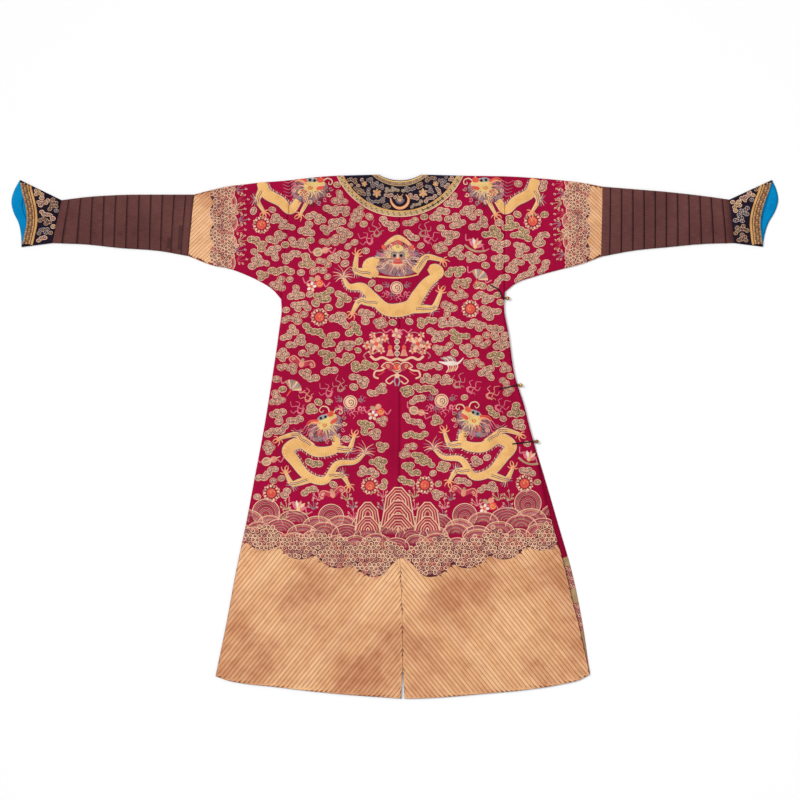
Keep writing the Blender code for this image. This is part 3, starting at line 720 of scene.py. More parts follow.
def age_group() -> bpy.types.NodeTree:
    """Patches where cloth or thread has faded, worn or stained.

    Returns:
        The group.
    """

    def wire(w: Wiring, given: dict[str, Socket]) -> list[Socket]:
        """Broad patches with smaller spots inside them.

        Args:
            w: Where the nodes go.
            given: The group's inputs.

        Returns:
            What the group puts out.
        """
        broad = w.span(w.noise(given["Vector"], 5.0, 4.0), 0.38, 0.68)
        small = w.span(w.noise(given["Vector"], 42.0, 3.0), 0.42, 0.72)
        fine = w.noise(given["Vector"], 260.0, 2.0)
        return [broad, small, fine]

    return shared_group("age", [("Vector", "NodeSocketVector")], ("Broad", "Small", "Fine"), wire)


def scale_group() -> bpy.types.NodeTree:
    """Overlapping scales: 1 along the edge of each one.

    Returns:
        The group.
    """

    def wire(w: Wiring, given: dict[str, Socket]) -> list[Socket]:
        """Rows of arcs, each row set half a scale to the side of the one before.

        Args:
            w: Where the nodes go.
            given: The group's inputs.

        Returns:
            What the group puts out.
        """
        parts = w.parts(given["Vector"])
        x = w.math("DIVIDE", parts[0], given["Size"])
        y = w.math("DIVIDE", parts[1], given["Size"])
        shift = w.times(w.math("MODULO", w.math("FLOOR", x), 2.0), 0.5)
        fx = w.math("FRACT", x)
        fy = w.math("SUBTRACT", w.math("FRACT", w.plus(y, shift)), 0.5)
        reach = w.math("SQRT", w.plus(w.times(fx, fx), w.times(fy, fy)))
        near = w.math("ABSOLUTE", w.math("SUBTRACT", reach, 0.58))
        return [w.span(near, 0.0, 0.16, 1.0, 0.0)]

    return shared_group("scales", [("Vector", "NodeSocketVector"), ("Size", "NodeSocketFloat")], ("Edge",),
                        wire)


def new_material(name: str) -> tuple[bpy.types.Material, Wiring, bpy.types.Node]:
    """A material with its wiring and its Principled shader.

    Args:
        name: Its name.

    Returns:
        The material, its wiring and its shader.
    """
    made = bpy.data.materials.new(name)
    made.use_nodes = True
    return made, Wiring(made.node_tree), made.node_tree.nodes["Principled BSDF"]


def coordinates(w: Wiring, layer: str) -> Socket:
    """The coordinates of a UV layer, in metres."""
    return w.add("ShaderNodeUVMap", uv_map=layer).outputs[0]


@dataclass(frozen=True)
class Finish:
    """What a piece is made of.

    Attributes:
        name: The material's name.
        colour: Its colour where it is fresh, 0 to 255.
        shade: Its colour where it is worn or its weave is uneven; for thread it is also the painted shade in
            the gaps between its threads.
    """

    name: str
    colour: Rgb
    shade: Rgb

    def material(self) -> bpy.types.Material:
        """The finish as a material, made once.

        Returns:
            The material.
        """
        found = bpy.data.materials.get(self.name)
        if found:
            return found
        made, w, shader = new_material(self.name)
        factor, inputs = self.surface(w)
        w.give(shader, {"Base Color": w.mix(factor, linear(self.colour), linear(self.shade)), **inputs})
        return made

    def surface(self, w: Wiring) -> tuple[Socket, dict]:
        """How far its colour turns to its shade, and the shader's other inputs."""
        raise NotImplementedError


@dataclass(frozen=True)
class Silk(Finish):
    """A woven silk.

    Attributes:
        pitch: From one rib of the weave to the next, in metres.
        roughness: Of its surface.
        sheen: Weight of the soft shine at grazing angles.
        relief: Height of the weave, in metres.
        worn: How strongly the broad patches show.
    """

    pitch: float = 0.0012
    roughness: float = 0.5
    sheen: float = 0.0
    relief: float = 0.00012
    worn: float = 0.35

    def surface(self, w: Wiring) -> tuple[Socket, dict]:
        """Ribs and slubs of the weave, with worn patches.

        Args:
            w: Where the nodes go.

        Returns:
            How far its colour turns to its shade, and the shader's other inputs.
        """
        at = coordinates(w, "pattern")
        weave = w.group(weave_group(), {"Vector": at, "Pitch": self.pitch})
        age = w.group(age_group(), {"Vector": at})
        patches = w.times(age.outputs["Broad"], self.worn)
        patches = w.plus(patches, w.times(age.outputs["Small"], self.worn * 0.35))
        slubs = w.times(w.span(weave.outputs["Slub"], 0.35, 0.7), 0.45)
        return w.plus(patches, slubs, clamp=True), {
            "Roughness": w.plus(self.roughness - 0.06, w.times(age.outputs["Fine"], 0.16)),
            "Normal": w.bump(weave.outputs["Height"], self.relief, 0.6),
            "Sheen Weight": self.sheen,
            "Sheen Roughness": 0.4,
            "Specular IOR Level": 0.03,
        }


@dataclass(frozen=True)
class Thread(Finish):
    """Embroidery thread laid side by side.

    Attributes:
        pitch: From one thread to the next, in metres.
        roughness: Of its surface.
        metallic: 0 for silk, more for gold thread.
        scales: Size of the scales worked in it, or 0.
        worn: How strongly small stains show.
        faded: How strongly broad faded patches show.
    """

    pitch: float = 0.0011
    roughness: float = 0.5
    metallic: float = 0.0
    scales: float = 0.0
    worn: float = 0.4
    faded: float = 0.24

    def surface(self, w: Wiring) -> tuple[Socket, dict]:
        """Round threads and their couching, with painted shade in the gaps between them, worn patches and any
        scales.

        Args:
            w: Where the nodes go.

        Returns:
            How far its colour turns to its shade, and the shader's other inputs.
        """
        stitch = coordinates(w, "stitch")
        laid = w.group(stitch_group(), {"Vector": stitch, "Pitch": self.pitch})
        age = w.group(age_group(), {"Vector": coordinates(w, "pattern")})
        # The gaps between the round threads and at the couching are mixed towards the shade colour: painted
        # shade in those hollows.
        painted_gap_shade = w.times(w.math("SUBTRACT", 1.0, laid.outputs["Height"]), 0.34)
        worn = w.plus(w.times(age.outputs["Small"], self.worn), w.times(age.outputs["Broad"], self.faded))
        factor = w.plus(w.plus(painted_gap_shade, worn), w.times(laid.outputs["Uneven"], 0.12), clamp=True)
        height = laid.outputs["Height"]
        if self.scales:
            edge = w.group(scale_group(), {"Vector": stitch, "Size": self.scales}).outputs["Edge"]
            factor = w.plus(factor, w.times(edge, 0.4), clamp=True)
            height = w.math("SUBTRACT", height, w.times(edge, 1.4))
        return factor, {
            "Roughness": w.plus(self.roughness - 0.05, w.times(age.outputs["Fine"], 0.14)),
            "Normal": w.bump(height, 0.00022, 0.7),
            "Metallic": self.metallic,
            "Specular IOR Level": 0.15,
        }


@dataclass(frozen=True)
class Metal(Finish):
    """A worn gilt metal.

    Attributes:
        roughness: Of its surface.
    """

    roughness: float = 0.34

    def surface(self, w: Wiring) -> tuple[Socket, dict]:
        """Gilding with darker spots.

        Args:
            w: Where the nodes go.

        Returns:
            How far its colour turns to its shade, and the shader's other inputs.
        """
        at = w.add("ShaderNodeTexCoord").outputs["Object"]
        age = w.group(age_group(), {"Vector": w.stretched(at, 3.0, 3.0)})
        factor = w.times(age.outputs["Small"], 0.8)
        return factor, {"Roughness": w.plus(self.roughness, w.times(factor, 0.3)), "Metallic": 0.9}


CRIMSON = Silk("crimson_cloth", (162, 11, 58), (134, 5, 44), roughness=0.55)
HEM_GROUND = Silk("hem_ground_silk", (120, 54, 44), (88, 36, 32))
BROWN = Silk("brown_ribs", (106, 66, 62), (78, 44, 44), pitch=0.0022, relief=0.0003, worn=0.5)
# Painted shadow of the extension's tucks: a dark brown on each step and a softer brown beside it.
TUCK_PAINTED_SHADOW = Silk("brown_tuck_painted_shadow", (56, 28, 30), (40, 18, 20), pitch=0.0022)
TUCK_PAINTED_SOFT_SHADOW = Silk("brown_tuck_soft", (82, 50, 48), (60, 34, 34), pitch=0.0022)
NAVY = Silk("navy_ground", (34, 24, 40), (20, 12, 24), roughness=0.4, worn=0.4)
LINING_BLUE = Silk("lining_cloth", (0, 142, 198), (0, 110, 168), roughness=0.4, worn=0.5)
GALLOON = Silk("braid_cloth", (150, 112, 74), (106, 70, 50), pitch=0.0016)
CORD_SILK = Silk("black_cord_silk", (46, 30, 36), (24, 14, 20), pitch=0.0006, roughness=0.55, sheen=0.1)
GILT = Metal("gilt_metal_worn", (196, 150, 84), (112, 76, 44))

GOLD = Thread("dragon_gold", (244, 198, 126), (206, 146, 84), metallic=0.1, scales=0.0062, worn=0.3)
PLAIN_GOLD = Thread("plain_gold", (240, 192, 126), (200, 142, 90), metallic=0.1)
HEM_GOLD = Thread("hem_gold", (238, 186, 136), (182, 118, 80), pitch=0.0018, metallic=0.08, worn=0.2,
                  faded=0.6)
HEM_PALE = Thread("hem_pale", (242, 194, 146), (187, 123, 85), pitch=0.0018, metallic=0.08, worn=0.2,
                  faded=0.6)
HEM_TAN = Thread("hem_tan", (234, 181, 131), (177, 113, 77), pitch=0.0018, metallic=0.08, worn=0.2, faded=0.6)
CLAW = Thread("claw_gold", (240, 170, 120), (206, 130, 92), metallic=0.05)
CREAM = Thread("cream_thread", (238, 196, 162), (208, 156, 126))
PEACH = Thread("peach_thread", (232, 158, 130), (192, 112, 98))
PINK = Thread("pink_thread", (224, 128, 136), (186, 84, 102))
TAN = Thread("tan_thread", (192, 158, 124), (150, 108, 84))
SAGE = Thread("sage_thread", (196, 140, 124), (150, 96, 92))
CLOUD_MIDDLE = Thread("cloud_middle", (218, 168, 146), (168, 114, 102))
SCROLL = Thread("scroll_thread", (92, 58, 54), (60, 34, 38))
CLOUD_RIM = Thread("cloud_rim", (238, 192, 160), (206, 152, 126))
MAUVE = Thread("mauve_thread", (160, 122, 128), (118, 80, 92))
GREY = Thread("grey_thread", (164, 158, 160), (118, 110, 116))
WHITE = Thread("white_thread", (240, 226, 214), (206, 178, 168))
SCARLET = Thread("scarlet_thread", (232, 96, 70), (192, 60, 52))
WINE = Thread("wine_thread", (150, 26, 58), (112, 14, 42))
ROSE = Thread("rose_thread", (196, 66, 82), (152, 34, 58))
DARK = Thread("dark_outline", (92, 34, 44), (60, 18, 30))
BROWN_LINE = Thread("brown_outline", (120, 66, 50), (84, 40, 34))
INK = Thread("ink_thread", (24, 16, 20), (10, 6, 10))
OCHRE = Thread("ochre_thread", (218, 168, 104), (176, 120, 70))
NAVY_THREAD = Thread("navy_thread", (52, 44, 60), (34, 26, 40))
GALLOON_SHADE = Thread("braid_thread", (138, 104, 78), (96, 66, 54))
OLIVE = Thread("olive_thread", (184, 158, 112), (134, 104, 76))
YELLOW = Thread("yellow_thread", (236, 204, 130), (200, 160, 92))
LILAC = Thread("lilac_thread", (150, 132, 158), (104, 86, 116))


# ---- Meshes --------------------------------------------------------------------------------------
class Facing(Enum):
    """Which way the outer side of a surface looks."""

    UP = "up"
    DOWN = "down"
    OUT = "out"

    @classmethod
    def of(cls, back: bool) -> "Facing":
        """The way that the robe's back or its front looks."""
        return cls.UP if back else cls.DOWN


def turned_faces(points: Array, faces: Array, facing: Facing) -> Array:
    """The faces with their corners in the order that makes them look the right way.

    Args:
        points: (n, 3) places.
        faces: (m, 3) or (m, 4) corner numbers.
        facing: The way wanted. OUT turns all together, so that the upper ones look up.

    Returns:
        The faces, turned where that was needed.
    """
    corners = points[faces]
    last = 3 if faces.shape[1] == 4 else 2
    a = corners[:, 2] - corners[:, 0]
    b = corners[:, last] - corners[:, 1]
    rise = a[:, 0] * b[:, 1] - a[:, 1] * b[:, 0]
    if faces.shape[1] == 3:
        a, b = corners[:, 1] - corners[:, 0], corners[:, 2] - corners[:, 0]
        rise = a[:, 0] * b[:, 1] - a[:, 1] * b[:, 0]
    if facing is Facing.OUT:
        middle = corners[:, :, 2].mean(axis=1)
        wrong = np.full(len(faces), np.sum(rise * (middle - middle.mean())) < 0)
    else:
        wrong = (rise < 0) == (facing is Facing.UP)
        wrong &= rise != 0
    return np.where(wrong[:, None], faces[:, ::-1], faces)


def make_object(name: str, points: Array, faces: Sequence[tuple[Array, int]],
                materials: Sequence[bpy.types.Material], layers: dict[str, Array]) -> bpy.types.Object:
    """A mesh object from arrays.

    Args:
        name: The piece's name.
        points: (n, 3) places.
        faces: Arrays of corner numbers, each with its material's number.
        materials: Its material slots.
        layers: UV layers by name, (n, 2) for each point.

    Returns:
        The object, in the scene.
    """
    mesh = bpy.data.meshes.new(name)
    corners = np.concatenate([rows.ravel() for rows, _ in faces]).astype(np.int32)
    totals = np.concatenate([np.full(len(rows), rows.shape[1], np.int32) for rows, _ in faces])
    numbers = np.concatenate([np.full(len(rows), index, np.int32) for rows, index in faces])
    mesh.vertices.add(len(points))
    mesh.vertices.foreach_set("co", points.astype(np.float32).ravel())
    mesh.loops.add(len(corners))
    mesh.loops.foreach_set("vertex_index", corners)
    mesh.polygons.add(len(totals))
    starts = np.concatenate([[0], np.cumsum(totals)[:-1]]).astype(np.int32)
    mesh.polygons.foreach_set("loop_start", starts)
    mesh.polygons.foreach_set("loop_total", totals)
    mesh.polygons.foreach_set("material_index", numbers)
    mesh.update(calc_edges=True)
    for label, values in layers.items():
        layer = mesh.uv_layers.new(name=label)
        layer.data.foreach_set("uv", values[corners].astype(np.float32).ravel())
    mesh.validate()
    for material in materials:
        mesh.materials.append(material)
    mesh.shade_smooth()
    obj = bpy.data.objects.new(name, mesh)
    bpy.context.scene.collection.objects.link(obj)
    return obj


def grid_faces(rows: int, columns: int, closed: bool = False, first: int = 0) -> Array:
    """Corner numbers of a grid of quads, whose rows may close on themselves.

    Args:
        rows: Number of rows.
        columns: Points in each row.
        closed: Whether each row closes on itself.
        first: Number of the first corner.

    Returns:
        Four corner numbers for each face.
    """
    index = first + np.arange(rows * columns).reshape(rows, columns)
    if closed:
        index = np.concatenate([index, index[:, :1]], axis=1)
    faces = np.stack([index[:-1, :-1], index[:-1, 1:], index[1:, 1:], index[1:, :-1]], axis=-1)
    return faces.reshape(-1, 4)


class Grid(NamedTuple):
    """Rows of points of one side of a cloth, and how its faces look."""

    points: Array
    facing: Facing
    closed: bool = False


def make_cloth(name: str, grids: Sequence[Grid], wall: float, materials: Sequence[bpy.types.Material],
               which: Optional[Callable[[Array, Array], Array]] = None) -> bpy.types.Object:
    """A piece of cloth from its outer faces, thickened inwards by its wall.

    Args:
        name: The piece's name.
        grids: Its outer faces. Points that fall together are joined.
        wall: Thickness.
        materials: Outer finishes, and the finish of the inside last.
        which: Number of the outer finish at points (u, v).

    Returns:
        The object.
    """
    points, faces, first = [], [], 0
    for grid in grids:
        rows, columns = grid.points.shape[:2]
        flat_points = grid.points.reshape(-1, 3)
        quads = grid_faces(rows, columns, grid.closed)
        faces.append(turned_faces(flat_points, quads, grid.facing) + first)
        points.append(flat_points)
        first += len(flat_points)
    joined, where = np.unique(np.round(np.concatenate(points), 6), axis=0, return_inverse=True)
    quads = where.ravel()[np.concatenate(faces)]
    apart = np.sort(quads, axis=1)
    quads = quads[np.all(np.diff(apart, axis=1) > 0, axis=1)]
    pattern = np.stack([joined[:, 0] + MIDDLE_U, ROBE_LENGTH / 2 - joined[:, 1]], axis=1)
    centre = pattern[quads].mean(axis=1)
    number = which(centre[:, 0], centre[:, 1]) if which else np.zeros(len(quads), int)
    sets = [(quads[number == index], index) for index in np.unique(number)]
    outer = len(materials) - 1
    slots = list(materials[:-1]) + [materials[-1]] * outer
    obj = make_object(name, joined, sets, slots, {"pattern": pattern})
    solid = obj.modifiers.new("wall", "SOLIDIFY")
    solid.thickness = wall
    solid.offset = -1.0
    solid.material_offset = outer
    return obj


# ---- Embroidery ----------------------------------------------------------------------------------
# Cross sections of a strip: place across it from -1 to 1, and share of its crown.
FLAT_STRIP = np.array([(-1.0, 0.0), (1.0, 0.0)])
ROUND_STRIP = np.array([(-1.0, 0.0), (0.0, 1.0), (1.0, 0.0)])
FULL_STRIP = np.array([(-1.0, 0.0), (-0.62, 0.75), (0.0, 1.0), (0.62, 0.75), (1.0, 0.0)])


def curve(points: Sequence[Sequence[float]], per: int = 4, closed: bool = False) -> Array:
    """A smooth line through points, with any further columns carried along it.

    Args:
        points: Rows of u and v, and any more values.
        per: Steps between two points.
        closed: Whether the line returns to its start.

    Returns:
        Rows of the smooth line.
    """
    rows = np.asarray(points, float)
    before = rows[-1:] if closed else 2 * rows[:1] - rows[1:2]
    after = rows[:2] if closed else 2 * rows[-1:] - rows[-2:-1]
    padded = np.concatenate([before, rows, after])
    out = []
    for i in range(1, len(padded) - 2):
        p0, p1, p2, p3 = padded[i - 1:i + 3]
        for step in range(per):
            t = step / per
            out.append(0.5 * (2 * p1 + (p2 - p0) * t + (2 * p0 - 5 * p1 + 4 * p2 - p3) * t**2
                              + (3 * p1 - p0 - 3 * p2 + p3) * t**3))
    if not closed:
        out.append(rows[-1])
    return np.array(out)


def turned(points: Array, angle: float) -> Array:
    """Points turned about the origin."""
    c, s = math.cos(angle), math.sin(angle)
    return np.asarray(points, float) @ np.array([[c, s], [-s, c]])


def polar(reach: float, angle: float) -> Array:
    """(u, v) at a distance from the origin and an angle round it."""
    return reach * np.array([math.cos(angle), math.sin(angle)])


def circle(radius: float, sides: int, squash: float = 1.0) -> Array:
    """Corners of a circle or an oval round the origin."""
    turn = np.linspace(0, TURN, sides, endpoint=False)
    return np.stack([radius * np.cos(turn), radius * squash * np.sin(turn)], axis=1)


Width = Union[float, Array, tuple[float, float]]


class Stitching:
    """Embroidery drawn as raised strips and patches of thread, in metres."""

    def __init__(self) -> None:
        """Starts with nothing drawn."""
        self.spots: list[Array] = []
        self.stitch: list[Array] = []
        self.faces: list[tuple[Array, Thread]] = []
        self.count = 0

    def add(self, spots: Array, stitch: Array, faces: Array, thread: Thread) -> None:
        """Adds points, their stitch coordinates and the faces between them.

        Args:
            spots: Rows of u, v and height over the cloth.
            stitch: Rows of place along and across the thread.
            faces: Corner numbers among these points.
            thread: What they are worked in.
        """
        self.spots.append(spots)
        self.stitch.append(stitch)
        self.faces.append((faces + self.count, thread))
        self.count += len(spots)

    def strip(self, line: Array, width: Width, thread: Thread, lift: float = 0.0002,
              crown: float = 0.0003, closed: bool = False, section: Array = ROUND_STRIP) -> None:
        """A strip of thread along a line.

        Args:
            line: Rows of u and v.
            width: Its full width: one for all, one for each row, or the first and the last.
            thread: What it is worked in.
            lift: Height of its edges over the cloth.
            crown: How much higher its middle stands.
            closed: Whether it returns to its start.
            section: Its cross section.
        """
        line = np.asarray(line, float)[:, :2]
        count = len(line)
        if closed:
            ahead = np.roll(line, -1, axis=0) - np.roll(line, 1, axis=0)
        else:
            ahead = np.gradient(line, axis=0)
        ahead /= np.maximum(np.linalg.norm(ahead, axis=1, keepdims=True), 1e-9)
        side = np.stack([-ahead[:, 1], ahead[:, 0]], axis=1)
        if isinstance(width, tuple):
            width = np.linspace(*width, count)
        half = np.broadcast_to(np.asarray(width, float) / 2, (count,))
        across = half[:, None] * section[None, :, 0]
        spots = line[:, None, :] + side[:, None, :] * across[:, :, None]
        lifts = np.broadcast_to(lift + crown * section[:, 1], across.shape)
        steps = np.linalg.norm(np.diff(line, axis=0), axis=1)
        along = np.concatenate([[0.0], np.cumsum(steps)])
        stitch = np.stack([np.broadcast_to(along[:, None], across.shape), across], axis=-1)
        spots = np.concatenate([spots, lifts[:, :, None]], axis=-1).reshape(-1, 3)
        faces = grid_faces(count, len(section))
        if closed:
            ends = np.stack([np.arange(len(section) - 1), np.arange(1, len(section))], axis=1)
            last = (count - 1) * len(section)
            faces = np.concatenate([faces, np.concatenate([ends + last, ends[:, ::-1]], axis=1)])
        self.add(spots, stitch.reshape(-1, 2), faces, thread)

    def patch(self, outline: Array, thread: Thread, lift: float = 0.0002, crown: float = 0.0003) -> None:
        """A filled shape that has its middle in sight of its whole outline.

        Args:
            outline: Rows of u and v round it.
            thread: What it is worked in.
            lift: Height of its edge over the cloth.
            crown: How much higher its middle stands.
        """
        ring = np.asarray(outline, float)[:, :2]
        count = len(ring)
        centre = ring.mean(axis=0)
        inner = mix(centre, ring, 0.55)
        spots = np.concatenate([ring, inner, [centre]])
        lifts = np.concatenate([np.full(count, lift), np.full(count, lift + 0.8 * crown), [lift + crown]])
        here = np.arange(count)
        there = (here + 1) % count
        band = np.stack([here, there, there + count, here + count], axis=1)
        fan = np.stack([here + count, there + count, np.full(count, 2 * count)], axis=1)
        stitch = spots - centre
        self.add(np.column_stack([spots, lifts]), stitch, band, thread)
        self.faces.append((fan + self.count - len(spots), thread))

    def disc(self, u: float, v: float, radius: float, thread: Thread, lift: float = 0.0002,
             crown: float = 0.0003, sides: int = 10, squash: float = 1.0, angle: float = 0.0) -> None:
        """A round or oval patch.

        Args:
            u: Its middle, across.
            v: Its middle, down.
            radius: Its radius.
            thread: What it is worked in.
            lift: Height over the cloth.
            crown: How much higher its middle stands.
            sides: Corners round it.
            squash: Its height for its width.
            angle: How far it is turned, in radians.
        """
        ring = turned(circle(radius, sides, squash), angle)
        spots = np.concatenate([ring, [(0.0, 0.0)]])
        lifts = np.append(np.full(sides, lift), lift + crown)
        here = np.arange(sides)
        fan = np.stack([here, (here + 1) % sides, np.full(sides, sides)], axis=1)
        self.add(np.column_stack([spots + (u, v), lifts]), spots, fan, thread)

    def ring(self, u: float, v: float, radius: float, width: float, thread: Thread, lift: float = 0.0004,
             crown: float = 0.0002, sides: int = 14, section: Array = ROUND_STRIP) -> None:
        """A closed round strip."""
        self.strip(circle(radius, sides) + (u, v), width, thread, lift, crown, True, section)

    def spiral(self, u: float, v: float, outer: float, inner: float, turns: float, width: float,
               thread: Thread, start: float = 0.0, lift: float = 0.0005, crown: float = 0.0002,
               steps: int = 12, section: Array = ROUND_STRIP) -> None:
        """A strip that winds inwards. Negative turns wind the other way.

        Args:
            u: Its middle, across.
            v: Its middle, down.
            outer: Radius where it ends outside.
            inner: Radius where it ends inside.
            turns: How often it goes round.
            width: Its width outside, which narrows inwards.
            thread: What it is worked in.
            start: Angle where it starts outside.
            lift: Height over the cloth.
            crown: How much higher its middle stands.
            steps: Steps along it.
            section: Its cross section.
        """
        share = np.linspace(0, 1, steps + 1)
        turn = start + share * turns * TURN
        radius = mix(outer, inner, share)
        line = np.stack([u + radius * np.cos(turn), v + radius * np.sin(turn)], axis=1)
        self.strip(line, mix(width, width * 0.6, share), thread, lift, crown, False, section)

    def stamp(self, motif: "Stitching", u: float, v: float, angle: float = 0.0, scale: float = 1.0,
              mirror: bool = False, lift: float = 0.0, swap: Optional[dict[Thread, Thread]] = None) -> None:
        """Repeats a motif.

        Args:
            motif: What to repeat.
            u: Where its origin goes.
            v: Where its origin goes.
            angle: How far it turns, in radians.
            scale: Its size.
            mirror: Whether its u is turned round first.
            lift: Further height over the cloth.
            swap: Other threads for some of its own.
        """
        first = self.count
        side = np.array([-scale if mirror else scale, scale])
        for spots, stitch in zip(motif.spots, motif.stitch):
            moved = turned(spots[:, :2] * side, angle) + (u, v)
            self.spots.append(np.column_stack([moved, spots[:, 2] + lift]))
            self.stitch.append(stitch * scale)
        for faces, thread in motif.faces:
            self.faces.append((faces + first, swap.get(thread, thread) if swap else thread))
        self.count += motif.count

    def points(self) -> Array:
        """All its points, as rows of u and v."""
        return np.concatenate(self.spots)[:, :2] if self.spots else np.zeros((0, 2))


class Ground:
    """Cloth that embroidery is worked on: its edges in pattern coordinates, its height and its side."""

    def __init__(self, top: Callable, bottom: Callable, left: Callable, right: Callable,
                 height: Callable, facing: Facing = Facing.UP, folds: Sequence[Callable] = ()) -> None:
        """Keeps the edges.

        Args:
            top: v of the upper edge at u.
            bottom: v of the lower edge at u.
            left: u of the left edge at v.
            right: u of the right edge at v.
            height: Height of the cloth's outer face at (u, v).
            facing: UP for the back of the robe, DOWN for its front.
            folds: Distances of (u, v) from the folds that it rounds.
        """
        self.top, self.bottom, self.left, self.right = top, bottom, left, right
        self.height, self.facing, self.folds = height, facing, list(folds)

    def inside(self, u: Array, v: Array, margin: float = 0.0) -> Array:
        """Whether points lie on the cloth, at least a margin from its edges."""
        return ((v >= self.top(u) + margin) & (v <= self.bottom(u) - margin)
                & (u >= self.left(v) + margin) & (u <= self.right(v) - margin))

    def drape(self, spots: Array) -> Array:
        """Places of points of thread over the cloth.

        Args:
            spots: Rows of u, v and height over the cloth.

        Returns:
            Rows of x, y and z.
        """
        u, v = spots[:, 0], spots[:, 1]
        v = np.clip(v, self.top(u), np.maximum(self.bottom(u), self.top(u)))
        u = np.clip(u, self.left(v), np.maximum(self.right(v), self.left(v)))
        z = self.height(u, v)
        reach = np.full(len(u), 1.0)
        for distance in self.folds:
            reach = np.minimum(reach, distance(u, v))
        if self.facing is Facing.UP:
            return place(u, v, z * rim(reach) + spots[:, 2])
        return place(u, v, z * (1.0 - rim(reach)) + FRONT_LIFT * np.exp(-spots[:, 2] / 0.0009))

    def work(self, name: str, drawing: Stitching) -> bpy.types.Object:
        """The piece of embroidery that a drawing makes on this cloth.

        Args:
            name: The piece's name.
            drawing: What is worked.

        Returns:
            The object. Faces that lie wholly off the cloth are left out.
        """
        spots = np.concatenate(drawing.spots)
        within = self.inside(spots[:, 0], spots[:, 1])
        points = self.drape(spots)
        threads = list(dict.fromkeys(thread for _, thread in drawing.faces))
        sets = []
        for size in (3, 4):
            for number, thread in enumerate(threads):
                chosen = [rows for rows, own in drawing.faces if own == thread and rows.shape[1] == size]
                if not chosen:
                    continue
                rows = np.concatenate(chosen)
                rows = rows[within[rows].any(axis=1)]
                if len(rows):
                    sets.append((turned_faces(points, rows, self.facing), number))
        used = np.unique(np.concatenate([rows.ravel() for rows, _ in sets]))
        renumber = np.zeros(len(points), int)
        renumber[used] = np.arange(len(used))
        sets = [(renumber[rows], number) for rows, number in sets]
        layers = {"stitch": np.concatenate(drawing.stitch)[used], "pattern": spots[used, :2]}
        obj = make_object(name, points[used], sets, [thread.material() for thread in threads], layers)
        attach(obj, "root")
        count = sum(len(rows) * (rows.shape[1] - 2) for rows, _ in sets)
        LOG.info("%s: %d triangles", name, count)
        return obj


# ---- Small motifs --------------------------------------------------------------------------------
Spot = tuple[float, float]


def flame(d: Stitching, u: float, v: float, size: float, angle: float, thread: Thread = PINK) -> None:
    """A wavering flame: four strokes that leave one root.

    Args:
        d: The drawing that it is added to.
        u: Its root, across.
        v: Its root, down.
        size: Its size.
        angle: How far it is turned, in radians.
        thread: What it is worked in.
    """
    for bend, reach, side in ((0.0, 1.0, 1), (0.5, 0.8, -1), (-0.55, 0.75, 1), (1.0, 0.5, 1)):
        line = curve([(0, 0), (0.25, -0.13 * side), (0.5, 0.12 * side), (0.75, -0.09 * side),
                      (1.0, 0.12 * side)])
        d.strip(turned(line * size * reach, angle + bend) + (u, v), (0.0032, 0.0012), thread)


def petals(d: Stitching, u: float, v: float, radius: float, count: int, threads: Sequence[Thread],
           centre: Thread, lift: float = 0.0002, turn: float = 0.0) -> None:
    """A flower seen from above.

    Args:
        d: The drawing that it is added to.
        u: Its middle, across.
        v: Its middle, down.
        radius: Its radius.
        count: How many.
        threads: Taken in turn.
        centre: Thread of its middle.
        lift: Height over the cloth.
        turn: How far it is turned, in radians.
    """
    for i in range(count):
        a = turn + TURN * i / count
        d.disc(*polar(radius * 0.62, a) + (u, v), radius * 0.42, threads[i % len(threads)], lift, 0.0004, 7,
               0.72, a)
    d.disc(u, v, radius * 0.32, centre, lift + 0.0003, 0.0003, 7)


class Small(Enum):
    """The small emblems between the clouds."""

    GOURD = "gourd"
    FRUIT = "fruit"
    LOTUS = "lotus"
    FAN = "fan"
    BAT = "bat"
    CRANE = "crane"


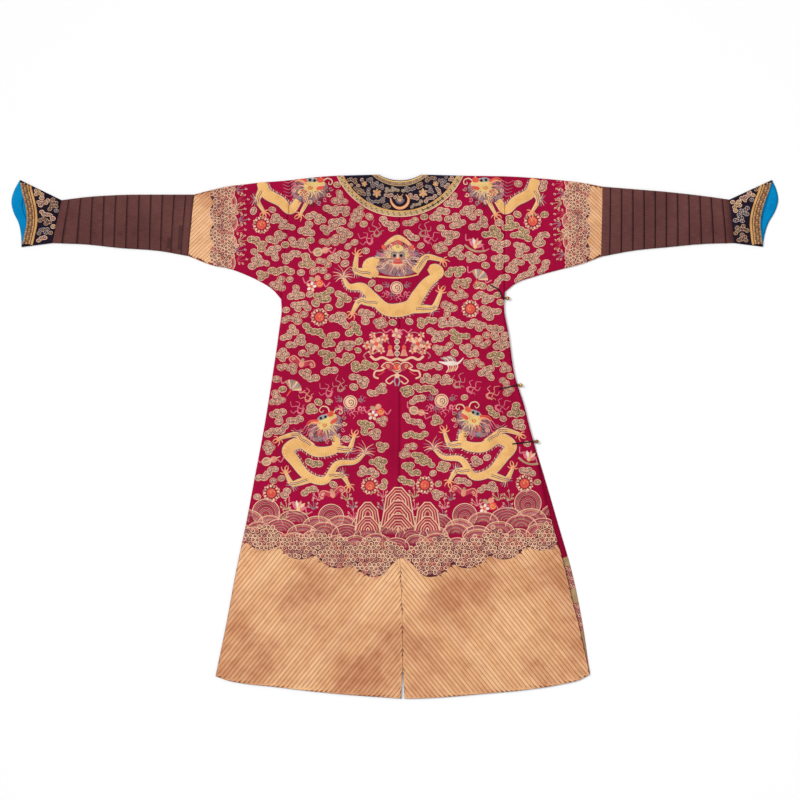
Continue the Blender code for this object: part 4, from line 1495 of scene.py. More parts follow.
def small_emblem(kind: Small) -> Stitching:
    """One of the small emblems, about 55 mm across and lying level, round its own middle.

    Args:
        kind: Which one.

    Returns:
        Its drawing.
    """
    d = Stitching()
    if kind not in (Small.BAT, Small.CRANE):
        ribbon = curve([(-1.0, -0.25), (-0.75, 0.12), (-0.45, -0.12), (0.0, 0.05), (0.45, -0.12),
                        (0.75, 0.15), (1.0, -0.2)])
        d.strip(turned(ribbon * 0.031, 0.25), 0.0026, PINK, 0.0001)
    if kind is Small.GOURD:
        d.disc(-0.009, 0.0, 0.0118, TAN, 0.0003, 0.0006, 10, 0.85)
        d.disc(0.008, 0.0, 0.0082, PEACH, 0.0004, 0.0005, 9, 0.9)
        d.ring(-0.009, 0.0, 0.0088, 0.002, CREAM, 0.0008)
        d.strip([(-0.015, 0.0), (0.024, -0.002)], 0.0018, CREAM, 0.001)
    elif kind is Small.FRUIT:
        petals(d, -0.011, 0.007, 0.0115, 5, (WHITE, CREAM), SCARLET)
        d.disc(0.008, 0.002, 0.0092, SCARLET, 0.0003, 0.0006, 9)
        d.disc(0.005, -0.01, 0.007, PEACH, 0.0003, 0.0005, 8)
        d.disc(-0.007, -0.009, 0.008, TAN, 0.0002, 0.0004, 8, 0.6, 0.6)
        d.spiral(0.008, 0.002, 0.0065, 0.001, 1.2, 0.0014, YELLOW, lift=0.0009)
    elif kind is Small.LOTUS:
        leaf = np.array([(0.001, -0.004), (0.011, -0.005), (0.021, 0.0), (0.011, 0.005), (0.001, 0.004)])
        for i in range(5):
            d.patch(turned(leaf, math.radians(-150 + 30 * i)) + (0.0, 0.006),
                    (PINK, WHITE, PEACH, CREAM, PINK)[i],
                    0.0003 + 0.00004 * i, 0.0004)
        d.disc(0.0, 0.006, 0.0046, YELLOW, 0.0006)
        d.strip(curve([(-0.024, 0.009), (-0.008, 0.015), (0.008, 0.015), (0.024, 0.009)]), 0.0046, TAN,
                0.0003)
    elif kind is Small.FAN:
        for i in range(8):
            a = math.radians(-130 + 16 * i)
            d.strip([polar(reach, a) + (0.0, 0.009) for reach in (0.003, 0.024)], (0.0014, 0.0058),
                    (TAN, CREAM, GREY)[i % 3], 0.0003, 0.0004)
        d.strip([(0.0, 0.009), (-0.006, 0.024)], 0.0026, SCARLET, 0.0004)
    elif kind is Small.BAT:
        for s in (-1, 1):
            wing = curve([(0.0, 0.0), (0.01 * s, -0.008), (0.022 * s, -0.012), (0.03 * s, -0.003),
                          (0.024 * s, 0.003),
                          (0.015 * s, 0.001), (0.007 * s, 0.006)], 3, True)
            d.patch(wing, ROSE, 0.0002, 0.0004)
            d.strip(wing[:14], 0.0024, PEACH, 0.0006)
            d.spiral(0.021 * s, -0.004, 0.0042, 0.0008, 1.2 * s, 0.0016, CREAM, lift=0.0008, steps=8)
        d.disc(0.0, 0.001, 0.0064, PEACH, 0.0004, 0.0006, 8, 1.4)
        d.disc(0.0, -0.008, 0.0038, TAN, 0.0005, 0.0004, 7)
    else:
        neck = curve([(-0.028, -0.009, 0.002), (-0.014, -0.003, 0.007), (0.0, 0.0, 0.011),
                      (0.014, 0.002, 0.005),
                      (0.028, -0.007, 0.002)])
        d.strip(neck, neck[:, 2], WHITE, 0.0004, 0.0005)
        for i in range(5):
            x = -0.01 + 0.005 * i
            d.strip(curve([(x, 0.0), (x - 0.003, -0.01), (x - 0.012, -0.017)]), 0.003, (GREY, CREAM)[i % 2],
                    0.0003)
            d.strip(curve([(x, 0.001), (x + 0.001, 0.01), (x - 0.006, 0.018)]), 0.0028, (CREAM, PEACH)[i % 2],
                    0.0003)
    return d


def roundel() -> Stitching:
    """A round longevity blossom: a scarlet middle in a ring of pale petals.

    Returns:
        Its drawing.
    """
    d = Stitching()
    d.ring(0.0, 0.0, 0.0172, 0.0092, WINE, 0.0001, 0.0001, 18)
    d.disc(0.0, 0.0, 0.0124, SCARLET, 0.0004, 0.0006, 14)
    for i in range(12):
        d.disc(*polar(0.0026 * math.sqrt(i + 0.5), 2.4 * i), 0.0014, (YELLOW, ROSE, ROSE)[i % 3], 0.001,
               0.0002, 5)
    for i in range(13):
        a = TURN * i / 13
        d.disc(*polar(0.019, a), 0.004, (CREAM, TAN, CLOUD_RIM)[i % 3], 0.0005, 0.0005, 7, 0.8, a)
        d.disc(*polar(0.0227, a + 0.24), 0.0023, (PINK, CREAM)[i % 2], 0.0004, 0.0004, 6)
    return d


def pearl(radius: float = 0.0195) -> Stitching:
    """The flaming pearl that a dragon chases.

    Args:
        radius: Its radius.

    Returns:
        Its drawing.
    """
    d = Stitching()
    d.disc(0.0, 0.0, radius, WINE, 0.0001, 0.0001, 20)
    d.ring(0.0, 0.0, radius - 0.002, 0.0028, CLOUD_RIM, 0.0004, 0.0002, 20)
    d.disc(0.0, 0.0, radius - 0.0052, CREAM, 0.0004, 0.0005, 18)
    d.spiral(0.001, 0.0, 0.0094, 0.0016, -1.35, 0.0022, BROWN_LINE, 1.6, 0.001)
    for x, angle, size in ((-0.022, 2.6, 0.026), (-0.01, 1.9, 0.024), (0.006, 1.4, 0.03), (0.022, 0.5, 0.026),
                           (-0.023, -2.7, 0.022), (0.023, -0.5, 0.022)):
        flame(d, x, 0.014 if angle > 0 else -0.004, size, angle, PINK if size > 0.024 else MAUVE)
    return d


@dataclass(frozen=True)
class CloudScroll:
    """A cloud: oval lobes that run into one another, each with a scroll inside.

    Attributes:
        lobe: Half of a lobe's height.
        pitch: From one lobe to the next.
        wide: A lobe's width for its height.
        rim: Width of the pale rim, in lobes.
    """

    lobe: float = 0.009
    pitch: float = 0.0122
    wide: float = 1.24
    rim: float = 0.2

    # Places of the lobes of each cloud, in pitches.
    FORMS = (
        ((0, 0), (1.1, 0.15), (2.2, 0.0), (3.2, -0.5), (1.0, 1.05), (2.0, 1.3)),
        ((0, 0), (1.1, -0.15), (2.2, 0.1), (1.1, 0.95), (1.25, 1.85)),
        ((0, 0), (0.9, 0.7), (1.95, 1.1), (0.1, 1.1), (2.9, 0.8)),
        ((0, 0), (1.1, 0.45), (2.15, 0.1), (3.1, -0.45), (4.1, -0.2)),
        ((0, 0), (1.0, -0.5), (2.0, 0), (1.95, 0.95), (3.0, 0.45)),
        ((0, 0), (1.0, 0.45), (1.95, 1.0), (3.0, 1.2), (2.0, -0.1), (3.1, 0.1), (4.1, 1.0)),
        ((0, 0), (1.1, 0.1), (2.2, 0.0), (3.3, 0.3), (0.1, 0.95), (2.4, 0.95), (4.3, -0.1)),
        ((0, 0), (1.0, -0.4), (2.0, -0.1), (2.9, 0.5), (3.9, 0.4), (4.8, -0.2), (1.9, 0.9), (4.0, 1.4)),
        ((0, 0), (0.9, 0.6), (1.9, 0.8), (2.9, 0.4), (3.7, -0.3), (1.0, 1.6), (3.0, 1.4)),
        ((0, 0), (1.05, 0.3), (0.05, 1.0), (1.05, 1.3)),
        ((0, 0), (1.1, 0.05), (0.55, 0.9)),
        ((0, 0), (1.05, 0.4), (2.1, 0.3)),
        ((0, 0), (0.95, 0.5)),
        ((0, 0),),
    )

    def lobe_drawing(self) -> Stitching:
        """One lobe round its own middle: a pale rim, a muted middle and a scroll.

        Returns:
            Its drawing.
        """
        d = Stitching()
        r, w = self.lobe, self.lobe * self.wide
        d.disc(0.0, 0.0, w, CLOUD_RIM, 0.00015, 0.0001, 12, 1 / self.wide)
        d.disc(0.0, 0.0, w - r * self.rim, SCROLL, 0.0003, 0.0001, 12, 0.95 / self.wide)
        d.disc(0.0, 0.0, w - r * (self.rim + 0.16), CLOUD_MIDDLE, 0.0005, 0.0002, 12, 0.92 / self.wide)
        d.spiral(0.0, 0.0, r * 0.46, r * 0.3, 0.7, r * 0.2, SCROLL, 0.4, 0.0008, 0.0001, 6, FLAT_STRIP)
        d.disc(0.0, 0.0, r * 0.22, CREAM, 0.0009, 0.0001, 5)
        for i in range(6):
            a = 1.05 * i + 0.5
            d.disc(0.86 * r * math.cos(a), 0.68 * r * math.sin(a), r * 0.17,
                   (SCROLL, CREAM, OLIVE, SCROLL, CREAM, TAN)[i],
                   0.0009, 0.0001, 5)
        return d

    def places(self, form: int) -> Array:
        """Middles of a cloud's lobes, round the cloud's own middle."""
        rows = np.array(self.FORMS[form], float)
        return (rows - rows.mean(axis=0)) * self.pitch


class Packing:
    """Lays clouds side by side over a cloth, clear of its edges, of other motifs and of one another."""

    STEP = 0.002

    def __init__(self, ground: Ground, box: tuple[float, float, float, float], margin: float,
                 seed: int) -> None:
        """Starts with the cloth free.

        Args:
            ground: The cloth.
            box: Lowest u and v, highest u and v.
            margin: Least distance of a lobe's middle from the cloth's edge.
            seed: Of the scatter.
        """
        self.box = box
        self.rng = np.random.default_rng(seed)
        self.us, self.vs = np.arange(box[0], box[2], self.STEP), np.arange(box[1], box[3], self.STEP)
        self.shut = ~ground.inside(*np.meshgrid(self.us, self.vs), margin)

    def block(self, places: Array, reach: float) -> None:
        """Keeps later lobes at least this far from the places.

        Args:
            places: Rows of u and v.
            reach: How far the lobes' middles stay off.
        """
        cells = int(reach / self.STEP) + 1
        for u, v in places:
            i, j = int((u - self.box[0]) / self.STEP), int((v - self.box[1]) / self.STEP)
            if i + cells < 0 or j + cells < 0:
                continue
            i0, j0 = max(0, i - cells), max(0, j - cells)
            du, dv = self.us[i0:i + cells + 2] - u, self.vs[j0:j + cells + 2] - v
            self.shut[j0:j + cells + 2, i0:i + cells + 2] |= np.hypot(du[None], dv[:, None]) < reach

    def free(self, places: Array) -> bool:
        """Whether every lobe would lie on free cloth.

        Args:
            places: Middles of the lobes.

        Returns:
            True where they would.
        """
        cells = ((places - self.box[:2]) / self.STEP + 0.5).astype(int)
        if (cells < 0).any() or (cells[:, 0] >= len(self.us)).any() or (cells[:, 1] >= len(self.vs)).any():
            return False
        return not self.shut[cells[:, 1], cells[:, 0]].any()

    def fill(self, drawing: Stitching, cloud: CloudScroll, gap: float, tilt: float,
             tints: Sequence[dict[Thread, Thread]], scan: float) -> int:
        """Packs clouds row by row, large ones first.

        Args:
            drawing: Where they are drawn.
            cloud: Their sizes.
            gap: Least distance between lobes of two clouds.
            tilt: How far a cloud may turn, in radians.
            tints: Other threads for some of a cloud's own, one set for each look.
            scan: From one place tried to the next.

        Returns:
            How many clouds were placed.
        """
        lobe, placed = cloud.lobe_drawing(), 0
        for least, most in ((5, 9), (3, 4), (1, 3)):
            forms = [i for i, form in enumerate(cloud.FORMS) if least <= len(form) <= most]
            for v in np.arange(self.box[1], self.box[3], scan):
                for u in np.arange(self.box[0], self.box[2], scan):
                    middle = (u, v) + self.rng.uniform(-0.5, 0.5, 2) * scan
                    form = forms[int(self.rng.integers(len(forms)))]
                    mirror = (1 if self.rng.random() < 0.5 else -1, 1 if self.rng.random() < 0.6 else -1)
                    places = turned(cloud.places(form) * mirror, self.rng.normal(0.0, tilt)) + middle
                    if not self.free(places):
                        continue
                    tint = tints[int(self.rng.integers(len(tints)))]
                    for i, spot in enumerate(places):
                        drawing.stamp(lobe, *spot, self.rng.normal(0.0, 0.35), self.rng.uniform(0.88, 1.1),
                                      bool(i % 2), 0.00003 * i, tint)
                    self.block(places, gap)
                    placed += 1
        return placed


# ---- Dragons -------------------------------------------------------------------------------------
class Limb(NamedTuple):
    """A leg: where it leaves the body, its elbow, its paw, and where the claws point, in degrees."""

    root: Spot
    elbow: Spot
    paw: Spot
    aim: float


@dataclass(frozen=True)
class DragonForm:
    """The pose of one dragon round the middle of its head, in metres.

    Attributes:
        body: Places that the body winds through, from the neck to the tail.
        girth: Its width where it is widest.
        limbs: Its legs, the nearest one last.
        loops: Further lengths of the body beside the head.
        tail_aim: Direction in which the tail's strands leave, in degrees, or None where it is hidden.
        face_turn: How far a face seen from its side is turned, in degrees, or None for one that looks out.
    """

    body: tuple[Spot, ...]
    girth: float
    limbs: tuple[Limb, ...]
    loops: tuple[tuple[Spot, ...], ...] = ()
    tail_aim: Optional[float] = None
    face_turn: Optional[float] = None


SEATED = DragonForm(
    body=((0.104, 0.056), (0.078, 0.076), (0.056, 0.106), (0.03, 0.14), (-0.028, 0.146), (-0.068, 0.112),
          (-0.096, 0.085), (-0.13, 0.084), (-0.147, 0.06)),
    girth=0.037,
    limbs=(Limb((0.042, 0.144), (0.098, 0.14), (0.116, 0.1), -80),
           Limb((-0.048, 0.13), (-0.104, 0.124), (-0.122, 0.153), 105),
           Limb((-0.068, 0.05), (-0.114, 0.038), (-0.111, 0.0), -70),
           Limb((0.046, 0.044), (0.08, 0.004), (0.12, 0.012), 40)),
    loops=(((-0.05, 0.01), (-0.076, 0.03), (-0.056, 0.055)),
           ((0.084, 0.032), (0.104, 0.044), (0.102, 0.064))),
    tail_aim=-95)

STRIDING = DragonForm(
    body=((0.03, 0.036), (0.028, 0.074), (-0.022, 0.082), (-0.064, 0.058), (-0.099, 0.078), (-0.08, 0.108),
          (-0.046, 0.148), (0.002, 0.16), (0.034, 0.116), (0.082, 0.11), (0.109, 0.088)),
    girth=0.031,
    limbs=(Limb((0.03, 0.074), (0.068, 0.074), (0.08, 0.042), -80),
           Limb((-0.04, 0.156), (-0.088, 0.168), (-0.104, 0.14), -100),
           Limb((0.008, 0.146), (0.05, 0.148), (0.066, 0.172), 75),
           Limb((-0.032, 0.07), (-0.08, 0.036), (-0.122, 0.046), 125)),
    tail_aim=-85, face_turn=-35)

SHOULDERED = DragonForm(
    body=((-0.138, -0.014), (-0.124, 0.024), (-0.086, 0.046), (-0.058, 0.07), (-0.036, 0.044)),
    girth=0.028,
    limbs=(Limb((-0.136, 0.014), (-0.146, 0.046), (-0.13, 0.074), 60),
           Limb((-0.034, 0.016), (-0.012, 0.044), (-0.03, 0.08), 120)),
    face_turn=-10)


class Dragon:
    """A dragon worked in gold thread, with a dark outline, pale edge, mane and claws."""

    # Shares of the greatest width at even places along a length.
    WHOLE_BODY = (0.62, 0.88, 1.0, 0.74, 0.52, 0.16)
    CUT_BODY = (0.9, 1.0, 1.0, 0.9, 0.8, 0.7)
    LOOP = (0.4, 0.8, 1.0, 1.0, 0.75, 0.35)
    LEG = (1.0, 0.94, 0.8, 0.62, 0.4)
    LOOP_GIRTH = 0.038
    CLAW_SPREADS = (-105, -50, 0, 50, 105)

    def __init__(self, form: DragonForm, seed: int = 5) -> None:
        """Draws it.

        Args:
            form: Its pose.
            seed: Of the small unevenness in its mane.
        """
        self.rng = np.random.default_rng(seed)
        self.drawing = Stitching()
        if form.tail_aim is not None:
            self.tuft(form.body[-1], form.tail_aim, 11, 19, 0.038, (CREAM, MAUVE, PEACH), 0.004)
        for limb in form.limbs[:-1]:
            self.limb(limb, form.girth, 0.0)
        profile = self.WHOLE_BODY if form.tail_aim is not None else self.CUT_BODY
        self.length(form.body, form.girth, profile, 0.0004, True)
        for loop in form.loops:
            self.length(loop, self.LOOP_GIRTH, self.LOOP, 0.0006, False)
        self.limb(form.limbs[-1], form.girth, 0.0006)
        if form.face_turn is None:
            self.front_face()
        else:
            whole, self.drawing = self.drawing, Stitching()
            self.side_face()
            whole.stamp(self.drawing, 0.0, 0.0, math.radians(form.face_turn))
            self.drawing = whole

    def length(self, places: Sequence[Spot], girth: float, profile: Sequence[float], lift: float,
               spines: bool) -> None:
        """A length of body or leg: dark outline, pale edge and a rounded gold middle.

        Args:
            places: What it winds through.
            girth: Its greatest width.
            profile: Share of that width at even places along it.
            lift: Height over the cloth.
            spines: Whether small spines stand along one side.
        """
        d = self.drawing
        line = curve(places, 8)
        share = np.linspace(0, 1, len(line))
        width = girth * Smooth(np.linspace(0, 1, len(profile)), profile)(share)
        d.strip(line, width + 0.0046, DARK, lift - 0.0003, 0.0, section=FLAT_STRIP)
        d.strip(line, width + 0.001, CREAM, lift - 0.0001, 0.0002)
        d.strip(line, np.maximum(width - 0.003, 0.003), GOLD, lift + 0.0001, 0.0009, section=FULL_STRIP)
        if not spines:
            return
        ahead = np.gradient(line, axis=0)
        ahead /= np.linalg.norm(ahead, axis=1, keepdims=True)
        side = np.stack([ahead[:, 1], -ahead[:, 0]], axis=1)
        for i in range(2, len(line) - 1):
            root = line[i] + side[i] * (width[i] / 2 + 0.0018)
            d.strip([root, root + side[i] * 0.0046 - ahead[i] * 0.0028], (0.0034, 0.001),
                    (MAUVE, CREAM)[i % 2], lift - 0.0002, 0.0002)

    def tuft(self, root: Spot, aim: float, count: int, spread: float, reach: float, threads: Sequence[Thread],
             width: float) -> None:
        """Strands that fan out from a root, the middle ones longest.

        Args:
            root: Where they leave.
            aim: Direction of the middle one, in degrees.
            count: How many.
            spread: Degrees from one to the next.
            reach: Length of the middle one.
            threads: Taken in turn.
            width: Of each at its root.
        """
        for i in range(count):
            off = i - (count - 1) / 2
            a = math.radians(aim + off * spread)
            far = reach * (1 - 0.08 * abs(off))
            bend = math.radians(18 if off > 0 else -18)
            line = curve([root, root + polar(far * 0.5, a), root + polar(far, a + bend)])
            self.drawing.strip(line, (width, 0.001), threads[i % len(threads)], 0.0003, 0.0004)

    def limb(self, limb: Limb, girth: float, lift: float) -> None:
        """A leg with a tuft at its elbow, a groove along it and a five-clawed paw.

        Args:
            limb: Where it bends and ends.
            girth: The body's greatest width.
            lift: Height over the cloth.
        """
        d = self.drawing
        root, elbow, paw = (np.array(spot) for spot in limb[:3])
        out = elbow - (root + paw) / 2
        self.tuft(tuple(mix(root, elbow, 0.85)), math.degrees(math.atan2(out[1], out[0])), 7, 18, 0.026,
                  (MAUVE, GREY, CREAM), 0.0036)
        places = (limb.root, tuple(mix(root, elbow, 0.55) + out * 0.1), limb.elbow, limb.paw)
        self.length(places, girth * 0.62, self.LEG, 0.0004 + lift, False)
        groove = curve(places, 5)[1:-4]
        sway = 0.0018 * np.sin(np.arange(len(groove)) * 1.1)[:, None] * (1.0, -0.6)
        for more, width, thread in ((0.0, 0.0056, DARK), (0.0003, 0.0026, CREAM)):
            d.strip(groove + sway, width, thread, 0.0015 + lift + more, 0.0001, section=FLAT_STRIP)
        aim = math.radians(limb.aim)
        palm = paw + polar(0.003, aim)
        for i, spread in enumerate(self.CLAW_SPREADS):
            a = aim + math.radians(spread)
            bend = 0.35 if i > 2 else -0.35
            reach = 0.0185 if i % 4 else 0.015
            line = curve([palm, palm + polar(0.55 * reach, a), palm + polar(reach, a - bend)])
            d.strip(line, (0.0044, 0.0016), CLAW, 0.0007 + lift, 0.0004)
        d.disc(*palm, 0.0048, CLAW, 0.0009 + lift, 0.0006, 9)

    def curls(self, reach: float, inner: float, start: float, end: float, count: int,
              threads: Sequence[Thread],
              lift: float, squash: float) -> None:
        """Two rows of curls round the head, between two angles in degrees.

        Args:
            reach: Radius of the outer row.
            inner: Radius that the inner row nears.
            start: Angle of the first.
            end: Angle of the last.
            count: How many.
            threads: Taken in turn.
            lift: Height over the cloth.
            squash: Its height for its width.
        """
        for i in range(count):
            a = math.radians(mix(start, end, (i + 0.5) / count))
            far = (reach, mix(reach, inner, 0.4))[i % 2]
            self.drawing.spiral(far * math.cos(a), 0.01 + far * squash * math.sin(a), 0.0066, 0.0012,
                                1.2 * (-1) ** i, 0.0028,
                                threads[i % len(threads)], a, lift + 0.0001 * (i % 2), 0.0003, 8)

    def hair(self, middle: Spot, inner: float, outer: float, start: float, end: float, count: int,
             threads: Sequence[Thread], lift: float, squash: float = 0.9, width: float = 0.0026) -> None:
        """Strokes of a mane or beard that leave a middle between two angles, in degrees.

        Args:
            middle: The point that they leave.
            inner: Radius where they start.
            outer: Radius where they end.
            start: Angle of the first.
            end: Angle of the last.
            count: How many.
            threads: Taken in turn.
            lift: Height over the cloth.
            squash: Its height for its width.
            width: Of each at its root.
        """
        for i in range(count):
            a = math.radians(mix(start, end, (i + 0.5) / count))
            reach = outer * self.rng.uniform(0.86, 1.1)
            bend = 0.22 * math.sin(i * 1.7)
            points = [(middle[0] + r * math.cos(a + b), middle[1] + r * squash * math.sin(a + b))
                      for r, b in ((inner, 0.0), ((inner + reach) / 2, bend * 0.4), (reach, bend))]
            line = curve(points, 3)
            self.drawing.strip(line, (width, width * 0.35), threads[i % len(threads)],
                               lift + 0.00005 * (i % 3), 0.0003)

    def front_face(self) -> None:
        """A face that looks straight out, in the way that all such dragons share."""
        d = self.drawing
        coat = (SAGE, DARK, CREAM, SAGE, LILAC, PINK, DARK, GREY)
        d.disc(0.0, 0.018, 0.068, MAUVE, 0.0008, 0.0001, 18, 0.56)
        self.curls(0.055, 0.024, -198, 18, 26, coat, 0.0011, 0.66)
        self.hair((0.0, 0.004), 0.03, 0.06, 182, 358, 34, (MAUVE, PINK, SAGE), 0.001, 0.72)
        self.hair((0.0, 0.0), 0.034, 0.066, 6, 174, 40, (CREAM, DARK, SAGE), 0.0012, 0.8, 0.003)
        self.hair((0.0, 0.004), 0.02, 0.056, 2, 178, 44, coat, 0.0013, 0.8)
        for start, end in ((178, 238), (-58, 2)):
            self.hair((0.0, 0.003), 0.019, 0.036, start - 10, end + 10, 13, (CREAM, YELLOW, SAGE), 0.0016)
        chin = curve([(-0.064, 0.055), (-0.03, 0.059), (0.0, 0.06), (0.03, 0.057), (0.056, 0.051)])
        d.strip(chin, (0.005, 0.0034), PLAIN_GOLD, 0.0016, 0.0005)
        crest = curve([(-0.035, -0.027), (-0.019, -0.04), (0.0, -0.049), (0.019, -0.04), (0.035, -0.027)], 5)
        wide = 0.0115 * np.sin(np.linspace(0.5, math.pi - 0.5, len(crest)))
        d.patch(crest * (0.66, 0.86), SCARLET, 0.0006, 0.0001)
        for more, thread, lift, crown in ((0.0046, BROWN_LINE, 0.0005, 0.0), (0.002, CREAM, 0.0007, 0.0001),
                                          (-0.001, PLAIN_GOLD, 0.0009, 0.0006)):
            d.strip(crest, wide + more, thread, lift, crown)
        for s in (-1, 1):
            d.disc(0.038 * s, -0.022, 0.0082, SCARLET, 0.0013, 0.0005, 9, 0.6, -1.0 * s)
            d.spiral(0.024 * s, -0.016, 0.0058, 0.0012, 1.3 * s, 0.0026, CREAM, 1.2, 0.0019)
            d.spiral(0.027 * s, 0.0, 0.0062, 0.0012, 1.3 * s, 0.0026, YELLOW, 2.0, 0.0019)
        d.disc(0.0, -0.017, 0.0165, YELLOW, 0.0016, 0.0005, 12, 0.75)
        d.disc(0.0, -0.0235, 0.004, BROWN_LINE, 0.0021, 0.0001, 9)
        d.disc(0.0, -0.0235, 0.0028, PLAIN_GOLD, 0.0023, 0.0004, 9)
        d.disc(0.0, 0.005, 0.018, SAGE, 0.0018, 0.0005, 14, 0.9)
        for s in (-1, 1):
            d.disc(0.009 * s, -0.0045, 0.0092, GREY, 0.0023, 0.0003, 12, 0.85)
            d.disc(0.008 * s, -0.006, 0.0054, TAN, 0.0025, 0.0002, 10, 0.7)
            d.disc(0.009 * s, 0.0002, 0.0042, INK, 0.0028, 0.0005, 10)
            d.strip(curve([(0.002 * s, -0.005), (0.01 * s, -0.0082), (0.019 * s, -0.004)]), 0.0015,
                    BROWN_LINE, 0.0027)
            whisker = curve([(0.012 * s, 0.015), (0.024 * s, 0.013), (0.034 * s, 0.026), (0.048 * s, 0.036),
                             (0.062 * s, 0.034)])
            d.strip(whisker, (0.0036, 0.0016), CREAM, 0.0022, 0.0005)
        d.strip([(0.0, -0.006), (0.0, 0.01)], (0.0034, 0.009), CREAM, 0.0025, 0.0004)
        d.disc(0.0, 0.0115, 0.0082, SCARLET, 0.0027, 0.0006, 10, 0.5)
        for thread, v, half, width in ((ROSE, 0.018, 0.01, 0.003), (SCARLET, 0.021, 0.013, 0.0034),
                                       (CREAM, 0.0245, 0.015, 0.0036)):
            d.strip(curve([(-half, v - 0.001), (0.0, v + 0.001), (half, v - 0.001)]), width, thread, 0.0026,
                    0.0004)
        self.hair((0.0, 0.017), 0.012, 0.026, 5, 175, 19, (CREAM, PEACH), 0.0021, 0.9, 0.0024)

    def side_face(self) -> None:
        """A face seen from its side, looking towards the right."""
        d = self.drawing
        coat = (SAGE, DARK, CREAM, SAGE, PINK, DARK, GREY)
        d.disc(-0.008, 0.016, 0.05, MAUVE, 0.0008, 0.0001, 18, 0.62)
        self.curls(0.05, 0.03, 10, 216, 20, coat, 0.0011, 0.9)
        self.hair((-0.002, 0.006), 0.014, 0.044, 14, 210, 34, coat[::-1], 0.0013)
        for i in range(5):
            line = curve([(-0.02, -0.006 + 0.004 * i), (-0.044, -0.018 + 0.006 * i),
                          (-0.062, -0.014 + 0.009 * i),
                          (-0.078, -0.024 + 0.01 * i)])
            d.strip(line, (0.0034, 0.001), (PINK, MAUVE)[i % 2], 0.0011, 0.0003)
        head = curve([(-0.024, 0.004), (-0.012, -0.016), (0.006, -0.016), (0.026, -0.008), (0.036, 0.004),
                      (0.028, 0.016),
                      (0.006, 0.022), (-0.014, 0.02)], 3, True)
        d.patch(head, YELLOW, 0.0015, 0.0006)
        self.hair((0.004, 0.008), 0.017, 0.034, 30, 190, 19, (CREAM, YELLOW), 0.0014)
        for s, thread in ((0, SCARLET), (1, CLAW)):
            horn = curve([(-0.012, -0.01 + 0.008 * s), (-0.03, -0.022 + 0.006 * s),
                          (-0.044, -0.02 + 0.006 * s)])
            d.strip(horn, (0.0066, 0.0022), thread, 0.0017, 0.0004)
        d.disc(0.003, -0.01, 0.015, GREY, 0.0019, 0.0004, 12, 0.52, 0.3)
        for u, v in ((-0.003, -0.012), (0.009, -0.008)):
            d.disc(u, v, 0.0038, INK, 0.0026, 0.0004, 9)
        d.spiral(-0.006, 0.008, 0.0062, 0.001, 1.3, 0.0024, SCARLET, lift=0.0025)
        d.spiral(-0.026, 0.018, 0.01, 0.001, 1.4, 0.0034, SCARLET, 1.0, 0.0018)
        d.disc(0.025, -0.007, 0.01, SCARLET, 0.0021, 0.0006, 10, 0.75)
        d.disc(0.021, 0.014, 0.012, SCARLET, 0.0021, 0.0004, 10, 0.45, -0.1)
        d.strip([(0.01, 0.0075), (0.034, 0.009)], 0.003, CREAM, 0.0024, 0.0003)
        for points in (((0.026, -0.013), (0.028, -0.026), (0.018, -0.036), (0.006, -0.032), (0.008, -0.023),
                        (0.015, -0.025)),
                       ((0.033, -0.004), (0.044, -0.008), (0.055, -0.001), (0.053, 0.009), (0.045, 0.008),
                        (0.047, 0.002))):
            line = curve(points)
            d.strip(line, (0.0038, 0.0018), CREAM, 0.0022, 0.0005)


